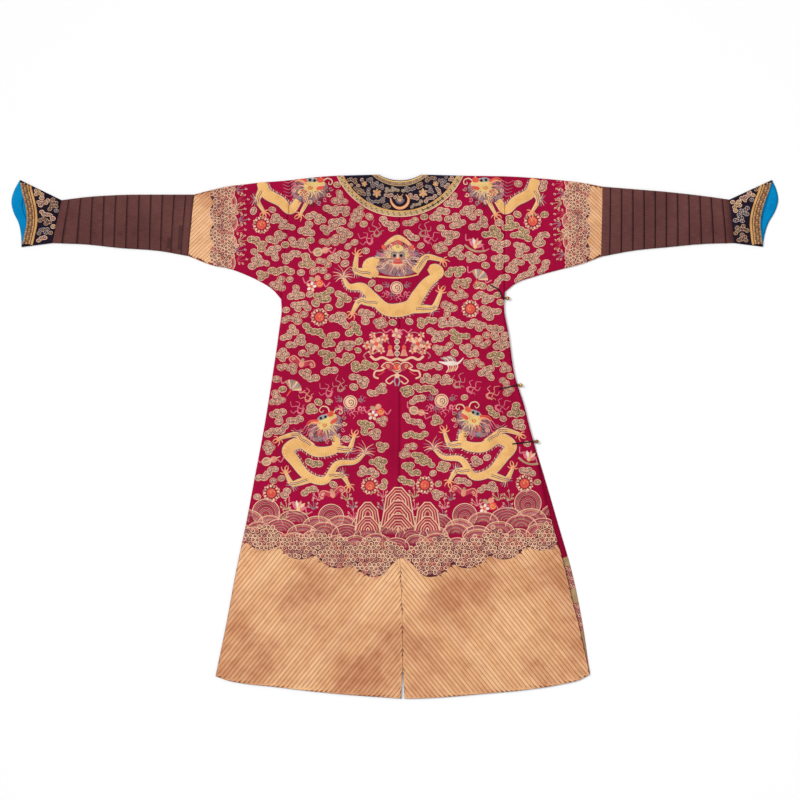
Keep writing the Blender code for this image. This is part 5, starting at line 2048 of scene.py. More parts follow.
# ---- Waves and mountains -------------------------------------------------------------------------
class Band:
    """The band of rolling waves above a striped hem, with s along it and d down towards the hem."""

    def __init__(self, along: Callable[[Array], Array], seed: int) -> None:
        """Starts an empty band.

        Args:
            along: Brings rows of (s, d) to rows of (u, v).
            seed: Of its small unevenness.
        """
        self.along = along
        self.rng = np.random.default_rng(seed)
        self.drawing = Stitching()

    def stamp(self, motif: Stitching, s: float, d: float, **options: object) -> None:
        """Puts a motif at (s, d), upright in the band.

        Args:
            motif: What is stamped.
            s: Place along the band.
            d: Place down the band.
            options: As for a drawing's own stamp.
        """
        origin, ahead = self.along(np.array([(s, d), (s + 1e-3, d)]))
        down = self.along(np.array([(s, d + 1e-3)]))[0] - origin
        ahead = ahead - origin
        mirror = ahead[0] * down[1] - ahead[1] * down[0] < 0
        angle = math.atan2(ahead[1], ahead[0]) + (math.pi if mirror else 0.0)
        self.drawing.stamp(motif, *origin, angle=angle, mirror=mirror, **options)

    @staticmethod
    def hill(radius: float, squash: float, threads: Sequence[Thread], lift: float) -> Stitching:
        """A rounded wave: a pale crest line over thin nested lines.

        Args:
            radius: Its radius.
            squash: Its height for its width.
            threads: Of its thin lines, taken in turn.
            lift: Height over the cloth.

        Returns:
            Its drawing.
        """
        made = Stitching()
        turn = np.linspace(math.pi, TURN, 15)
        arch = np.stack([radius * np.cos(turn), radius * squash * np.sin(turn)], axis=1)
        made.patch(np.concatenate([arch, [(radius, 0.004), (-radius, 0.004)]]), WINE, lift, 0.0001)
        made.strip(arch, 0.0021, CREAM, lift + 0.0004, 0.0002)
        lines = int(radius / 0.0031)
        for i in range(1, lines):
            made.strip(arch * (1.0 - (i + 0.2) / (lines + 0.4)), 0.0012, threads[i % len(threads)],
                       lift + 0.0003, section=FLAT_STRIP)
        return made

    @staticmethod
    def whorl(radius: float, lift: float) -> Stitching:
        """A round wave seen as rings that crowd towards its foot.

        Args:
            radius: Its radius.
            lift: Height over the cloth.

        Returns:
            Its drawing.
        """
        made = Stitching()
        turn = np.linspace(0, TURN, 25)
        ring = np.stack([np.cos(turn), np.sin(turn)], axis=1)
        made.patch(ring * radius, WINE, lift, 0.0001)
        count = int(radius / 0.0036)
        for i in range(count):
            share = 1 - i / count
            made.strip(ring * radius * share + (0.0, 0.22 * radius * (1 - share)),
                       0.0022 if i == 0 else 0.0016,
                       (ROSE, SAGE, PINK, TAN)[i % 4] if i else CREAM, lift + 0.0003, 0.0002)
        return made

    @staticmethod
    def curl(radius: float) -> Stitching:
        """One small curl of foam: an open ring round a dot.

        Args:
            radius: Its radius.

        Returns:
            Its drawing.
        """
        made = Stitching()
        made.ring(0.0, 0.0, radius * 0.76, radius * 0.34, CREAM, 0.0003, 0.0002, 9)
        made.disc(radius * 0.1, 0.0, radius * 0.27, PEACH, 0.0004, 0.0002, 6)
        return made

    def foam(self, span: Spot, top: Callable, bottom: Callable, radius: float,
             avoid: Sequence[tuple[float, float, float]], lift: float = 0.0011) -> None:
        """Curls side by side between two edges, on a dark ground.

        Args:
            span: Lowest and highest s.
            top: d of the upper edge at s.
            bottom: d of the lower edge at s.
            radius: Of a curl.
            avoid: Circles (s, d, radius) that stay clear.
            lift: Height over the cloth.
        """
        curl, step = self.curl(radius), radius * 1.8
        edges = np.linspace(*span, 100)
        shares = np.linspace(0, 1, 7)[:, None]
        d = mix(top(edges) + radius, bottom(edges), shares)
        spots = self.along(np.stack([np.broadcast_to(edges, d.shape), d], axis=-1).reshape(-1, 2))
        self.drawing.add(np.column_stack([spots, np.full(len(spots), lift)]), spots, grid_faces(7, 100), DARK)
        low, high = float(np.min(top(edges))), float(np.max(bottom(edges)))
        for row in range(int((high - low) / (step * 0.88)) + 1):
            for i in range(int((span[1] - span[0]) / step) + 1):
                s = span[0] + (i + 0.5 * (row % 2) + self.rng.uniform(-0.14, 0.14)) * step
                d = low + (row * 0.88 + self.rng.uniform(-0.14, 0.14)) * step
                angle, pick = self.rng.uniform(0, 6.28), int(self.rng.integers(len(FOAM_TINTS)))
                if top(s) <= d <= bottom(s) and all(math.hypot(s - a, d - b) > r for a, b, r in avoid):
                    self.drawing.stamp(curl, *self.along(np.array([(s, d)]))[0], angle, swap=FOAM_TINTS[pick],
                                       lift=lift + 0.00004 * ((row + i) % 3))


@dataclass(frozen=True)
class Mountain:
    """A mountain of nested arches in tiers.

    Attributes:
        tiers: d of each tier's peak below the first one, and half of its width.
        height: From the first peak to the foot.
        pitch: From one arch to the next.
    """

    tiers: tuple[Spot, ...]
    height: float
    pitch: float = 0.0064

    def draw(self) -> Stitching:
        """The mountain, with its highest peak at the origin.

        Returns:
            Its drawing.
        """
        made = Stitching()
        for tier, (peak, half) in enumerate(self.tiers):
            lift = 0.0004 + 0.0004 * tier
            made.patch(self.arch(peak, half, self.height), WINE, lift, 0.0)
            for i in range(int(half / self.pitch) + 1):
                for off, width, thread in ((0.0, 0.003, (CREAM, PEACH)[i % 2]), (0.5, 0.0011, ROSE)):
                    step = (i + off) * self.pitch
                    if half - step > 0.002:
                        made.strip(self.arch(peak + 1.2 * step, half - step, self.height), width, thread,
                                   lift + 0.0002, 0.0002)
        return made

    @staticmethod
    def arch(peak: float, half: float, foot: float) -> Array:
        """The outline of an arch with sloping shoulders, from its left foot to its right foot.

        Args:
            peak: v of its peak.
            half: Half of its width.
            foot: v of its foot.

        Returns:
            Rows of u and v.
        """
        splay, rise = 0.12 * (foot - peak), half * 0.8
        right = [(half + splay * share, mix(peak + rise, foot, share)) for share in (1.0, 0.5, 0.0)]
        right.append((half * 0.3, peak))
        return np.array([(-u, v) for u, v in right] + right[::-1])


def declare(name: str, grids: Sequence[Grid], wall: float, finishes: Sequence[Silk],
            which: Optional[Callable[[Array, Array], Array]] = None) -> bpy.types.Object:
    """Makes one piece of cloth in place of its plain solid, and hides the solid.

    Args:
        name: Of the plain solid that it replaces. The piece is called the same with "_cloth".
        grids: Its outer faces.
        wall: Thickness.
        finishes: Outer finishes, and the inside's last.
        which: Number of the outer finish at (u, v).

    Returns:
        The object.
    """
    obj = make_cloth(name + "_cloth", grids, wall, [silk.material() for silk in finishes], which)
    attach(obj, "root")
    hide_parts(name)
    return obj


def stations(top_v: Value, bottom_v: Value, pitch: float, first: Sequence[float]) -> Array:
    """The v of each row of some columns: a few close rows at the top, then even ones.

    Args:
        top_v: v of each column's top.
        bottom_v: v of each column's foot.
        pitch: About how far the even rows lie apart.
        first: Distances of the close rows below the top.

    Returns:
        (rows, columns) of v.
    """
    top_v = np.atleast_1d(np.asarray(top_v, float))
    bottom_v = np.broadcast_to(bottom_v, top_v.shape)
    close = top_v + np.asarray(first, float)[:, None]
    count = max(2, int(float((bottom_v - top_v).max()) / pitch))
    shares = np.linspace(0, 1, count + 1)[1:, None]
    return np.concatenate([close, mix(close[-1], bottom_v, shares)])


def hem_below(left: Callable, right: Callable, across: Array) -> Array:
    """v of the hem at shares across a panel.

    Args:
        left: u of the left edge at v.
        right: u of the right edge at v.
        across: Shares across the panel.

    Returns:
        v for each share.
    """
    v = np.full(np.shape(across), ROBE_LENGTH)
    for _ in range(8):
        v = hem(mix(left(v), right(v), across))
    return v


def share_of(u: Array, v: Array, left: Callable, right: Callable) -> Array:
    """How far across a panel each column starts."""
    return np.clip((u - left(v)) / (right(v) - left(v)), 0.0, 1.0)


CLOSE_ROWS = (0.0, RIM_REACH[1], RIM_REACH[2], 0.01, 0.018)
Columns = tuple[Array, Array]


@dataclass
class Body:
    """The two halves of the body, the overlap and its edging.

    Attributes:
        heights: The back's height over the table.
        pitch: Spacing of the back's rows.
        hidden_pitch: Spacing of the front's rows.
    """

    heights: HeightMap
    pitch: float = 0.0078
    hidden_pitch: float = 0.02

    def back(self, tops: Columns, left: Callable, right: Callable) -> Grid:
        """The back panel under columns that start at the tops.

        Args:
            tops: (u, v) of each column's top.
            left: u of the left edge at v.
            right: u of the right edge at v.

        Returns:
            Its outer face.
        """
        u, v = tops
        across = share_of(u, v, left, right)
        rows = stations(v, hem_below(left, right, across), self.pitch, CLOSE_ROWS)
        us = mix(left(rows), right(rows), across)
        z = self.heights(us, rows)
        folded = np.abs(u) > NECK_HALF_WIDTH
        z = np.where(folded, z * rim(rows - v), z)
        return Grid(place(us, rows, z), Facing.UP)

    def front(self, tops: Columns, left: Callable, right: Callable, bottom: Optional[float] = None,
              lifted: bool = False, flap: bool = False) -> Grid:
        """A front panel under columns that start at the tops.

        Args:
            tops: (u, v) of each column's top.
            left: u of its left edge at v.
            right: u of its right edge at v.
            bottom: v of its foot, or None for the hem.
            lifted: Whether the columns outside the collar start on the shoulder fold.
            flap: Whether it rises over the overlap.

        Returns:
            Its outer face.
        """
        u, v = tops
        across = share_of(u, v, left, right)
        foot = hem_below(left, right, across) if bottom is None else np.full(len(u), bottom)
        pitch = 0.009 if flap else self.hidden_pitch
        rows = stations(v, foot, pitch, CLOSE_ROWS)
        us = mix(left(rows), right(rows), across)
        base = mix(FRONT_LIFT, LAYER, flap_rise(us, rows)) if flap else FRONT_LIFT
        z = np.broadcast_to(base, us.shape)
        if lifted:
            folded = np.abs(u) > COLLAR_HALF_WIDTH
            on_fold = self.heights(us, rows) * (1.0 - rim(rows - v))
            z = np.where(folded, np.maximum(z, on_fold), z)
        return Grid(place(us, rows, z), Facing.DOWN)

    @staticmethod
    def ground_of(u: Array, v: Array) -> Array:
        """1 where the cloth is hidden by the hem's gold, 0 elsewhere."""
        return (v > foam_edge(u) - 0.006).astype(int)

    @staticmethod
    def tops(outer_u: float, count: int) -> tuple[Columns, Columns]:
        """Where the columns of one half start, from its sleeve to the centre.

        Args:
            outer_u: u of the armhole's upper end.
            count: Number of columns between there and the collar.

        Returns:
            (u, v) of the columns' tops, on the back and on the front.
        """
        side = math.copysign(1.0, outer_u)
        folded = np.linspace(outer_u, side * (COLLAR_HALF_WIDTH + 0.0007), count)
        covered = np.linspace(side * 0.164, side * (NECK_HALF_WIDTH + 0.006), 13)
        neck = BACK_NECK.at(np.linspace(side, 0, 9))
        ring = FRONT_COLLAR.at(np.linspace(side, 0, 15)[1:], SEAM / 2)
        back = (np.concatenate([folded, covered, neck[0]]),
                np.concatenate([shoulder(folded), shoulder(covered), neck[1]]))
        return back, (np.concatenate([folded, ring[0]]), np.concatenate([shoulder(folded), ring[1]]))

    def build(self) -> None:
        """Makes the four panels."""
        finishes = (CRIMSON, HEM_GROUND, LINING_BLUE)
        back, front = self.tops(-0.2943, 17)
        declare("left_half", [self.back(back, left_edge, left_of_centre),
                              self.front(front, left_edge, left_of_centre, lifted=True)],
                CLOTH, finishes, self.ground_of)
        back, front = self.tops(0.2822, 15)
        declare("right_half", [self.back(back, right_of_centre, right_sewn_edge),
                               self.front(front, flap_edge, right_sewn_edge, UNDER_FLAP_HEM_V, True, True)],
                CLOTH, finishes,
                self.ground_of)
        across = np.linspace(0, 1, 22)
        top_v = np.full(len(across), 0.25)
        for _ in range(8):
            top_v = overlap(mix(right_of_centre(top_v), right_edge(top_v), across))
        start = top_v + EDGING_WIDTH + SEAM
        start_u = mix(right_of_centre(start), right_edge(start), across)
        declare("front_overlap", [self.front((start_u, start), right_of_centre, right_edge)],
                FRONT_WALL, (CRIMSON, HEM_GROUND, CRIMSON),
                self.ground_of)
        rows = top_v + np.linspace(0, EDGING_WIDTH, 5)[:, None]
        us = mix(right_of_centre(rows), right_edge(rows), across)
        grid = Grid(place(us, rows, np.broadcast_to(FRONT_LIFT, us.shape)), Facing.DOWN)
        declare("overlap_edging", [grid], FRONT_WALL, (NAVY, NAVY))


@dataclass
class Collar:
    """The collar facing: two borders and a field, on the back and let into the front.

    Attributes:
        heights: The back's height over the table.
        columns: Number of columns of points along a band.
        crowding: How much closer they stand at the shoulders.
    """

    heights: HeightMap
    columns: int = 61
    crowding: float = 0.35

    def band(self, part: str, span: tuple[float, float], rows: int, silk: Silk, slot: str,
             back_flat: tuple[float, float], front_flat: tuple[float, float]) -> None:
        """One band on the back, and one in the front.

        Args:
            part: Its name.
            span: Where it lies across the collar's width.
            rows: How many rows of faces it has on the back.
            silk: Its finish.
            slot: The record's slot; not used.
            back_flat: Width and length of the rectangle that the back's band is cut from; not used.
            front_flat: The same for the front's; not used.
        """
        even = np.linspace(-1, 1, self.columns)
        crowded = np.sin(np.linspace(-math.pi / 2, math.pi / 2, self.columns))
        shares = crowded * self.crowding + even * (1 - self.crowding)
        across = np.linspace(*span, rows + 1)[:, None]
        for side, inner, outer in (("back", BACK_NECK, BACK_COLLAR), ("front", FRONT_NECK, FRONT_COLLAR)):
            near, far = inner.at(shares), outer.at(shares, -SEAM / 2)
            u, v = mix(near[0], far[0], across), mix(near[1], far[1], across)
            reach = np.maximum(0.0, v - shoulder(u))
            high = self.heights(u, v) + LAID_GAP + TRIM
            if side == "back":
                grid, wall = Grid(place(u, v, high * rim(reach)), Facing.UP), TRIM
            else:
                grid = Grid(place(u, v, np.maximum(FRONT_LIFT, high * (1 - rim(reach)))), Facing.DOWN)
                wall = FRONT_WALL
            declare(f"collar_{side}_{part}", [grid], wall, (silk, LINING_BLUE))

    def build(self) -> None:
        """Makes the six bands."""
        gap = SEAM / (BACK_COLLAR_DROP - BACK_NECK_DROP)
        self.band("neck_border", (0.0, NECK_BORDER_SHARE), 3, GALLOON, "gold_braid", (0.15, 0.018),
                  (0.26, 0.019))
        self.band("field", (NECK_BORDER_SHARE + gap, 1 - OUTER_BORDER_SHARE), 12, NAVY, "navy_satin",
                  (0.32, 0.11), (0.32, 0.17))
        self.band("outer_border", (1 - OUTER_BORDER_SHARE + gap, 1.0), 3, GALLOON, "gold_braid",
                  (0.43, 0.018), (0.54, 0.018))


@dataclass
class Tube:
    """A flattened tube of cloth: a length of sleeve or a cuff.

    Attributes:
        name: The plain solid that it replaces.
        table: Its sections.
        heights: The back's height over the table.
        hoof: How far its far end lies beyond its last section, on the back and on the front.
    """

    name: str
    table: Sequence[Section]
    heights: HeightMap
    hoof: Optional[tuple[Smooth, Smooth]] = None

    def section(self, share: Array) -> tuple[Array, Array, Array, Array]:
        """Top u, top v, bottom u and bottom v at shares along it.

        Args:
            share: Shares of the way along.

        Returns:
            The four, for each share.
        """
        keys = [abs(row.top_u - self.table[0].top_u) for row in self.table]
        at = np.asarray(share) * keys[-1]
        return tuple(Smooth(keys, [row[i] for row in self.table])(at) for i in range(4))

    @property
    def outward(self) -> float:
        """-1 for the left sleeve, 1 for the right one."""
        return outward_of(self.table)

    def spot(self, share: Array, down: Array, back: bool = True) -> tuple[Array, Array]:
        """(u, v) at shares along it and across it.

        Args:
            share: Shares of the way along.
            down: Shares of the way across.
            back: Whether it is on the back.

        Returns:
            u and v of the places.
        """
        top_u, top_v, bottom_u, bottom_v = self.section(share)
        u = mix(top_u, bottom_u, down)
        if self.hoof:
            u = u + self.outward * share * self.hoof[0 if back else 1](down)
        return u, mix(top_v, bottom_v, down)

    def grid(self, shares: Array, extra: Array, across: int, insets: tuple[float, float]) -> Grid:
        """Its outer face as closed rings.

        Args:
            shares: Where each ring lies along it.
            extra: Further height of each ring's back.
            across: Number of points on the back.
            insets: How far the first and the last ring are set back.

        Returns:
            The grid.
        """
        _, top_v, _, bottom_v = self.section(shares)
        width = float((bottom_v - top_v).mean())
        near = np.array(RIM_REACH) / width
        inner = np.linspace(near[-1], 1 - near[-1], across)[1:-1]
        down = np.concatenate([near, inner, 1 - near[::-1]])
        lift = np.concatenate([RIM_LIFT, np.ones(len(inner)), RIM_LIFT[::-1]])
        front = down[1:-1][::-1][::2] if len(down) % 2 else down[1:-1][::-1]
        low = 1 - np.interp(np.minimum(front, 1 - front) * width, RIM_REACH, RIM_LIFT)
        rings = shares[:, None]
        u, v = self.spot(rings, down[None])
        z = (self.heights.tube(u, v) + extra[:, None]) * lift
        fu, fv = self.spot(rings, front[None], back=False)
        fz = np.maximum(FRONT_LIFT, self.heights.tube(fu, fv) * low)
        us, vs, zs = (np.concatenate(pair, axis=1) for pair in ((u, fu), (v, fv), (z, fz)))
        us[0] += self.outward * insets[0]
        us[-1] -= self.outward * insets[1]
        return Grid(place(us, vs, zs), Facing.OUT, True)


def hem_side_of_sleeve(u: Array, v: Array) -> Array:
    """1 where the sleeve's ground lies under its waves and stripes."""
    return ((u < -0.512) | (u > 0.506)).astype(int)


@dataclass
class Sleeves:
    """The upper sleeves, the pleated extensions and the horse-hoof cuffs."""

    heights: HeightMap

    # A tuck: how far along its rise, and how high there; where its crest is; then its step down.
    TUCK_RISE = ((0.35, 0.2), (0.65, 0.5), (0.88, 0.85), (0.97, 0.96), (1.0, 1.0))
    TUCK_CREST = 0.7
    TUCK_STEP = (0.0028, 0.006)
    TUCK_FOOT = 0.1
    TUCK_TAKEN_UP = 1.12
    # How far from each tuck's step its painted shadow and its softer painted shadow reach.
    PAINTED_SHADOW_REACH = 0.0011
    PAINTED_SOFT_SHADOW_REACH = 0.0046

    def build(self) -> None:
        """Makes both sleeves."""
        for side, tables in (("left", (SLEEVE_LEFT, EXTENSION_LEFT, CUFF_LEFT)),
                             ("right", (SLEEVE_RIGHT, EXTENSION_RIGHT, CUFF_RIGHT))):
            self.sleeve(Tube("sleeve_" + side, tables[0], self.heights))
            self.extension(Tube("sleeve_extension_" + side, tables[1], self.heights))
            self.cuff(side, Tube("cuff_" + side, tables[2], self.heights, hoof_curves()))

    def sleeve(self, tube: Tube) -> None:
        """The upper sleeve.

        Args:
            tube: Its shape.
        """
        shares = np.linspace(0, 1, 37)
        grid = tube.grid(shares, np.zeros(len(shares)), 37, (SEAM / 2, SEAM / 2))
        declare(tube.name, [grid], CLOTH, (CRIMSON, HEM_GROUND, LINING_BLUE),
                hem_side_of_sleeve)

    def extension(self, tube: Tube) -> None:
        """The extension, with its tucks: each one rises to a crest and steps down, and the cloth at each step
        is painted darker as its shadow.

        Args:
            tube: Its shape.
        """
        shares, extra = [0.0], [0.0]
        pitch = 1 / (PLEATS + 0.35)
        for i in range(PLEATS):
            crest = (i + self.TUCK_CREST) * pitch
            start = shares[-1]
            for part, high in self.TUCK_RISE:
                shares.append(mix(start, crest, part))
                extra.append(PLEAT_HEIGHT * high)
            shares += [crest + step for step in self.TUCK_STEP]
            extra += [PLEAT_HEIGHT * self.TUCK_FOOT, 0.0]
        shares.append(1.0)
        extra.append(0.0)
        grid = tube.grid(np.array(shares), np.array(extra), 22, (SEAM / 2, SEAM / 2))
        feet = np.array([i for i in range(1, len(extra) - 1) if extra[i] < 0.2 * PLEAT_HEIGHT
                         and extra[i - 1] > 0])
        top, foot = tube.section(np.array(shares)[feet])[0], tube.section(np.array(shares)[feet])[2]

        def tuck_painted_shadow(u: Array, v: Array) -> Array:
            """1 on the narrow step at the foot of each tuck, which is painted as its dark shadow, and 2 on
            the cloth beside it, which is painted as a softer shadow.

            Args:
                u: Places across the robe.
                v: Places down the robe.

            Returns:
                A number for each place.
            """
            down = np.clip((v - 0.06) / 0.13, 0, 1)[..., None]
            off = np.abs(u[..., None] - mix(top, foot, down) + tube.outward * 0.0008).min(axis=-1)
            return np.where(off < self.PAINTED_SHADOW_REACH, 1, np.where(off < self.PAINTED_SOFT_SHADOW_REACH, 2, 0))

        # Faces at each tuck's foot take the painted shadow materials.
        declare(tube.name, [grid], CLOTH, (BROWN, TUCK_PAINTED_SHADOW, TUCK_PAINTED_SOFT_SHADOW, BROWN),
                tuck_painted_shadow)

    def cuff(self, side: str, tube: Tube) -> None:
        """The cuff, the lining that shows past its back, and the braid along its end.

        Args:
            side: Left or right.
            tube: Its shape.
        """
        shares = np.linspace(0, 1, 18)
        grid = tube.grid(shares, np.zeros(len(shares)), 26, (SEAM / 2, 0.0))
        declare(tube.name, [grid], CLOTH, (NAVY, LINING_BLUE))
        lining = self.strip(tube, 1, (0.055, 0.945), (LINING_REACH, 0.001),
                            lambda u, v: np.full(u.shape, CLOTH + SEAM + LINING))
        declare("cuff_lining_" + side, [lining], LINING, (LINING_BLUE, LINING_BLUE))
        braid = self.strip(tube, 0, (0.04, 0.96), (BRAID_WIDTH, 0.0005),
                           lambda u, v: self.heights.tube(u, v) + LAID_GAP + TRIM)
        declare("cuff_braid_" + side, [braid], TRIM, (GALLOON, GALLOON))

    @staticmethod
    def strip(tube: Tube, which: int, span: tuple[float, float], reach: tuple[float, float],
              height: Callable[[Array, Array], Array]) -> Grid:
        """A strip along the end of a cuff.

        Args:
            tube: The cuff.
            which: 0 for the back's end, 1 for the front's.
            span: Its shares across the cuff.
            reach: How far back from the end it starts and stops.
            height: Height of its upper face at (u, v).

        Returns:
            Its upper face.
        """
        wrist, end = tube.table
        run = abs(end.top_u - wrist.top_u)
        down = np.linspace(*span, 40)
        back = np.linspace(*reach, 6)[:, None]
        taper = mix(wrist.top_v - end.top_v, wrist.bottom_v - end.bottom_v, down) / run
        u = mix(end.top_u, end.bottom_u, down) + tube.outward * (tube.hoof[which](down) - back)
        v = mix(end.top_v, end.bottom_v, down) + taper * back
        return Grid(place(u, v, height(u, v)), Facing.UP)


def hoof_curves() -> tuple[Smooth, Smooth]:
    """How far a cuff's end lies out, on the back and on the front."""
    shares = [row.share for row in CUFF_END]
    return Smooth(shares, [row.back for row in CUFF_END]), Smooth(shares, [row.front for row in CUFF_END])


# ---- Fastenings ----------------------------------------------------------------------------------
@dataclass
class Fastenings:
    """Three loops of twisted cord, each round the neck of its ball button.

    Attributes:
        frame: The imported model, with its nodes by name.
        twist: Length of cord in which the plies go round once.
        plies: How many are twisted together.
        sides: Corners round a ply.
        step: Spacing of the rings of a ply.
        ply_offset: How far a ply's middle lies from the cord's, in radii of the cord.
        ply_radius: A ply's radius, in radii of the cord.
    """

    frame: dict
    twist: float = 0.0052
    plies: int = 3
    sides: int = 6
    step: float = 0.0007
    ply_offset: float = 0.46
    ply_radius: float = 0.54

    def build(self) -> None:
        """Makes the loops and gives the buttons their metal."""
        for row in FASTENINGS:
            self.loop(row)
            button = self.frame["nodes"]["button_" + row.name]
            button.data.materials.clear()
            button.data.materials.append(GILT.material())
            button.data.shade_smooth()

    def path(self, row: Fastening) -> Array:
        """Middle of the cord: along the back, round the button's neck and back again.

        Args:
            row: Its row of the table.

        Returns:
            Rows of x, y and z.
        """
        edge_u = float(right_edge(row.edge_v))
        run = np.array([row.bend_u - row.start_u, row.bend_v - row.start_v])
        side = np.array([-run[1], run[0]]) / np.linalg.norm(run) * CORD_SPACING / 2
        start, bend = np.array([row.start_u, row.start_v]), np.array([row.bend_u, row.bend_v])
        shelf = np.array([edge_u - 0.0035, row.edge_v])
        strand = []
        for point in (start, mix(start, bend, 0.5), bend, mix(bend, shelf, 0.5), shelf):
            high = float(back_height(point[0], point[1])) + CORD_RADIUS + CORD_LIE
            strand.append((*(point + side), high))
        neck_z = BUTTON_RADIUS + SEAM
        eye_u = edge_u + EYE_REACH
        eye = []
        for degrees in (60, 30, 0, -35, -70, -90):
            a = math.radians(degrees)
            eye.append((eye_u, row.edge_v + EYE_RADIUS * math.cos(a), neck_z + EYE_RADIUS * math.sin(a)))
        turn = (mix(strand[-1][0], eye_u, 0.6), row.edge_v + EYE_RADIUS * 0.45,
                mix(strand[-1][2], neck_z + EYE_RADIUS, 0.55))
        near = strand + [turn] + eye
        far = [(u - 2 * side[0], v - 2 * side[1], z) for u, v, z in strand]
        far += [(u, 2 * row.edge_v - v, z) for u, v, z in [turn] + eye[:-1]]
        rows = curve(near + far[::-1], 6)
        return place(rows[:, 0], rows[:, 1], rows[:, 2])

    def loop(self, row: Fastening) -> None:
        """One loop of plies twisted round one another.

        Args:
            row: Its row of the table.
        """
        path = self.path(row)
        steps = np.linalg.norm(np.diff(path, axis=0), axis=1)
        at = np.concatenate([[0.0], np.cumsum(steps)])
        even = np.linspace(0, at[-1], int(at[-1] / self.step))
        path = np.stack([np.interp(even, at, path[:, i]) for i in range(3)], axis=1)
        ahead = np.gradient(path, axis=0)
        ahead /= np.linalg.norm(ahead, axis=1, keepdims=True)
        up = np.cross(ahead, np.array([0.0, 0.0, 1.0]))
        up /= np.maximum(np.linalg.norm(up, axis=1, keepdims=True), 1e-6)
        other = np.cross(up, ahead)
        points, stitch, faces, first = [], [], [], 0
        for ply in range(self.plies):
            phase = TURN * (even / self.twist + ply / self.plies)
            offset = CORD_RADIUS * self.ply_offset
            middle = path + offset * (np.cos(phase)[:, None] * up + np.sin(phase)[:, None] * other)
            around = np.linspace(0, TURN, self.sides, endpoint=False)
            ring = np.cos(around)[None, :, None] * up[:, None] + np.sin(around)[None, :, None] * other[:,
                                                                                                       None]
            points.append((middle[:, None] + ring * CORD_RADIUS * self.ply_radius).reshape(-1, 3))
            stitch.append(np.stack(np.broadcast_arrays(even[:, None], around[None] * 0.0003),
                                   axis=-1).reshape(-1, 2))
            faces.append(grid_faces(len(even), self.sides, True, first)[:, ::-1])
            first += len(even) * self.sides
        layers = {"pattern": np.concatenate(stitch), "stitch": np.concatenate(stitch)}
        obj = make_object(f"loop_{row.name}_cord", np.concatenate(points), [(np.concatenate(faces), 0)],
                          [CORD_SILK.material()], layers)
        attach(obj, "root")
        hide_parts("loop_" + row.name)


# ---- Studio --------------------------------------------------------------------------------------
@dataclass
class Studio:
    """A plain pale table, soft light from above and to the left, and the camera overhead.

    Attributes:
        camera: Where the camera is.
        width: How much of the table it sees, in metres.
        overhead_power: Of the light over the table, in watts.
        key_strength: Of the light from the left.
        key_angle: How wide that light is, in degrees.
        key_tilt: How far it is turned about x and about y, in degrees.
        room_light: Strength of the light from all round.
    """

    camera: tuple[float, float, float] = (0.0137, 0.0987, 6.0)
    width: float = 2.16
    overhead_power: float = 110.0
    key_strength: float = 1.75
    key_angle: float = 16
    key_tilt: tuple[float, float] = (-20, -44)
    room_light: float = 0.44

    @staticmethod
    def put(name: str, data: bpy.types.ID) -> bpy.types.Object:
        """An object in the scene that carries a camera or a light.

        Args:
            name: Its name.
            data: The camera or light.

        Returns:
            The object.
        """
        obj = bpy.data.objects.new(name, data)
        bpy.context.scene.collection.objects.link(obj)
        return obj

    def build(self) -> None:
        """Makes the studio."""
        scene = bpy.context.scene
        data = bpy.data.cameras.new("overhead")
        data.sensor_width = 36.0
        data.lens = 36.0 * (self.camera[2] - 0.005) / self.width
        data.clip_end = 60.0
        scene.camera = self.put("overhead", data)
        scene.camera.location = self.camera
        scene.view_settings.view_transform = "Standard"
        scene.view_settings.look = "None"
        self.floor()
        self.lamp("overhead_light", (0.0, 0.0, 5.2), (5.0, 5.0), self.overhead_power)
        sun = bpy.data.lights.new("key_light", "SUN")
        sun.energy = self.key_strength
        sun.angle = math.radians(self.key_angle)
        key = self.put("key_light", sun)
        key.rotation_euler = (*map(math.radians, self.key_tilt), 0.0)
        world = bpy.data.worlds.new("studio_light")
        world.use_nodes = True
        sky = {"Color": (1.0, 1.0, 1.0, 1.0), "Strength": self.room_light}
        Wiring(world.node_tree).give(world.node_tree.nodes["Background"], sky)
        scene.world = world

    @staticmethod
    def floor() -> None:
        """The table that the robe lies on."""
        made, w, shader = new_material("table")
        w.give(shader, {"Base Color": (0.9, 0.9, 0.9, 1.0), "Roughness": 0.85, "Specular IOR Level": 0.1})
        corners = np.array([(-20, -20, 0), (20, -20, 0), (20, 20, 0), (-20, 20, 0)], float)
        obj = make_object("floor", corners, [(np.array([[0, 1, 2, 3]]), 0)], [made],
                          {"pattern": corners[:, :2]})

    @staticmethod
    def lamp(name: str, spot: tuple[float, float, float], size: tuple[float, float], power: float) -> None:
        """A soft rectangular light that looks at the middle of the robe.

        Args:
            name: Its name.
            spot: Where it is.
            size: Its two sides, in metres.
            power: In watts.
        """
        data = bpy.data.lights.new(name, "AREA")
        data.shape = "RECTANGLE"
        data.size, data.size_y = size
        data.energy = power
        obj = Studio.put(name, data)
        obj.location = spot
        away = np.array(spot) / np.linalg.norm(spot)
        obj.rotation_euler = (math.acos(away[2]), 0.0, math.atan2(away[1], away[0]) + math.pi / 2)


# ---- Grounds of the embroidery -------------------------------------------------------------------
def lines_of(table: Sequence[Section], top: bool) -> Callable:
    """v of a tube's upper or lower fold at u."""
    rows = sorted((row.top_u, row.top_v) if top else (row.bottom_u, row.bottom_v) for row in table)
    return Smooth([row[0] for row in rows], [row[1] for row in rows])


def crossing(row: Section, offset: float = 0.0) -> Callable:
    """u of the straight seam across a tube at v."""
    return lambda v: np.interp(v, [row.top_v, row.bottom_v], [row.top_u, row.bottom_u]) + offset


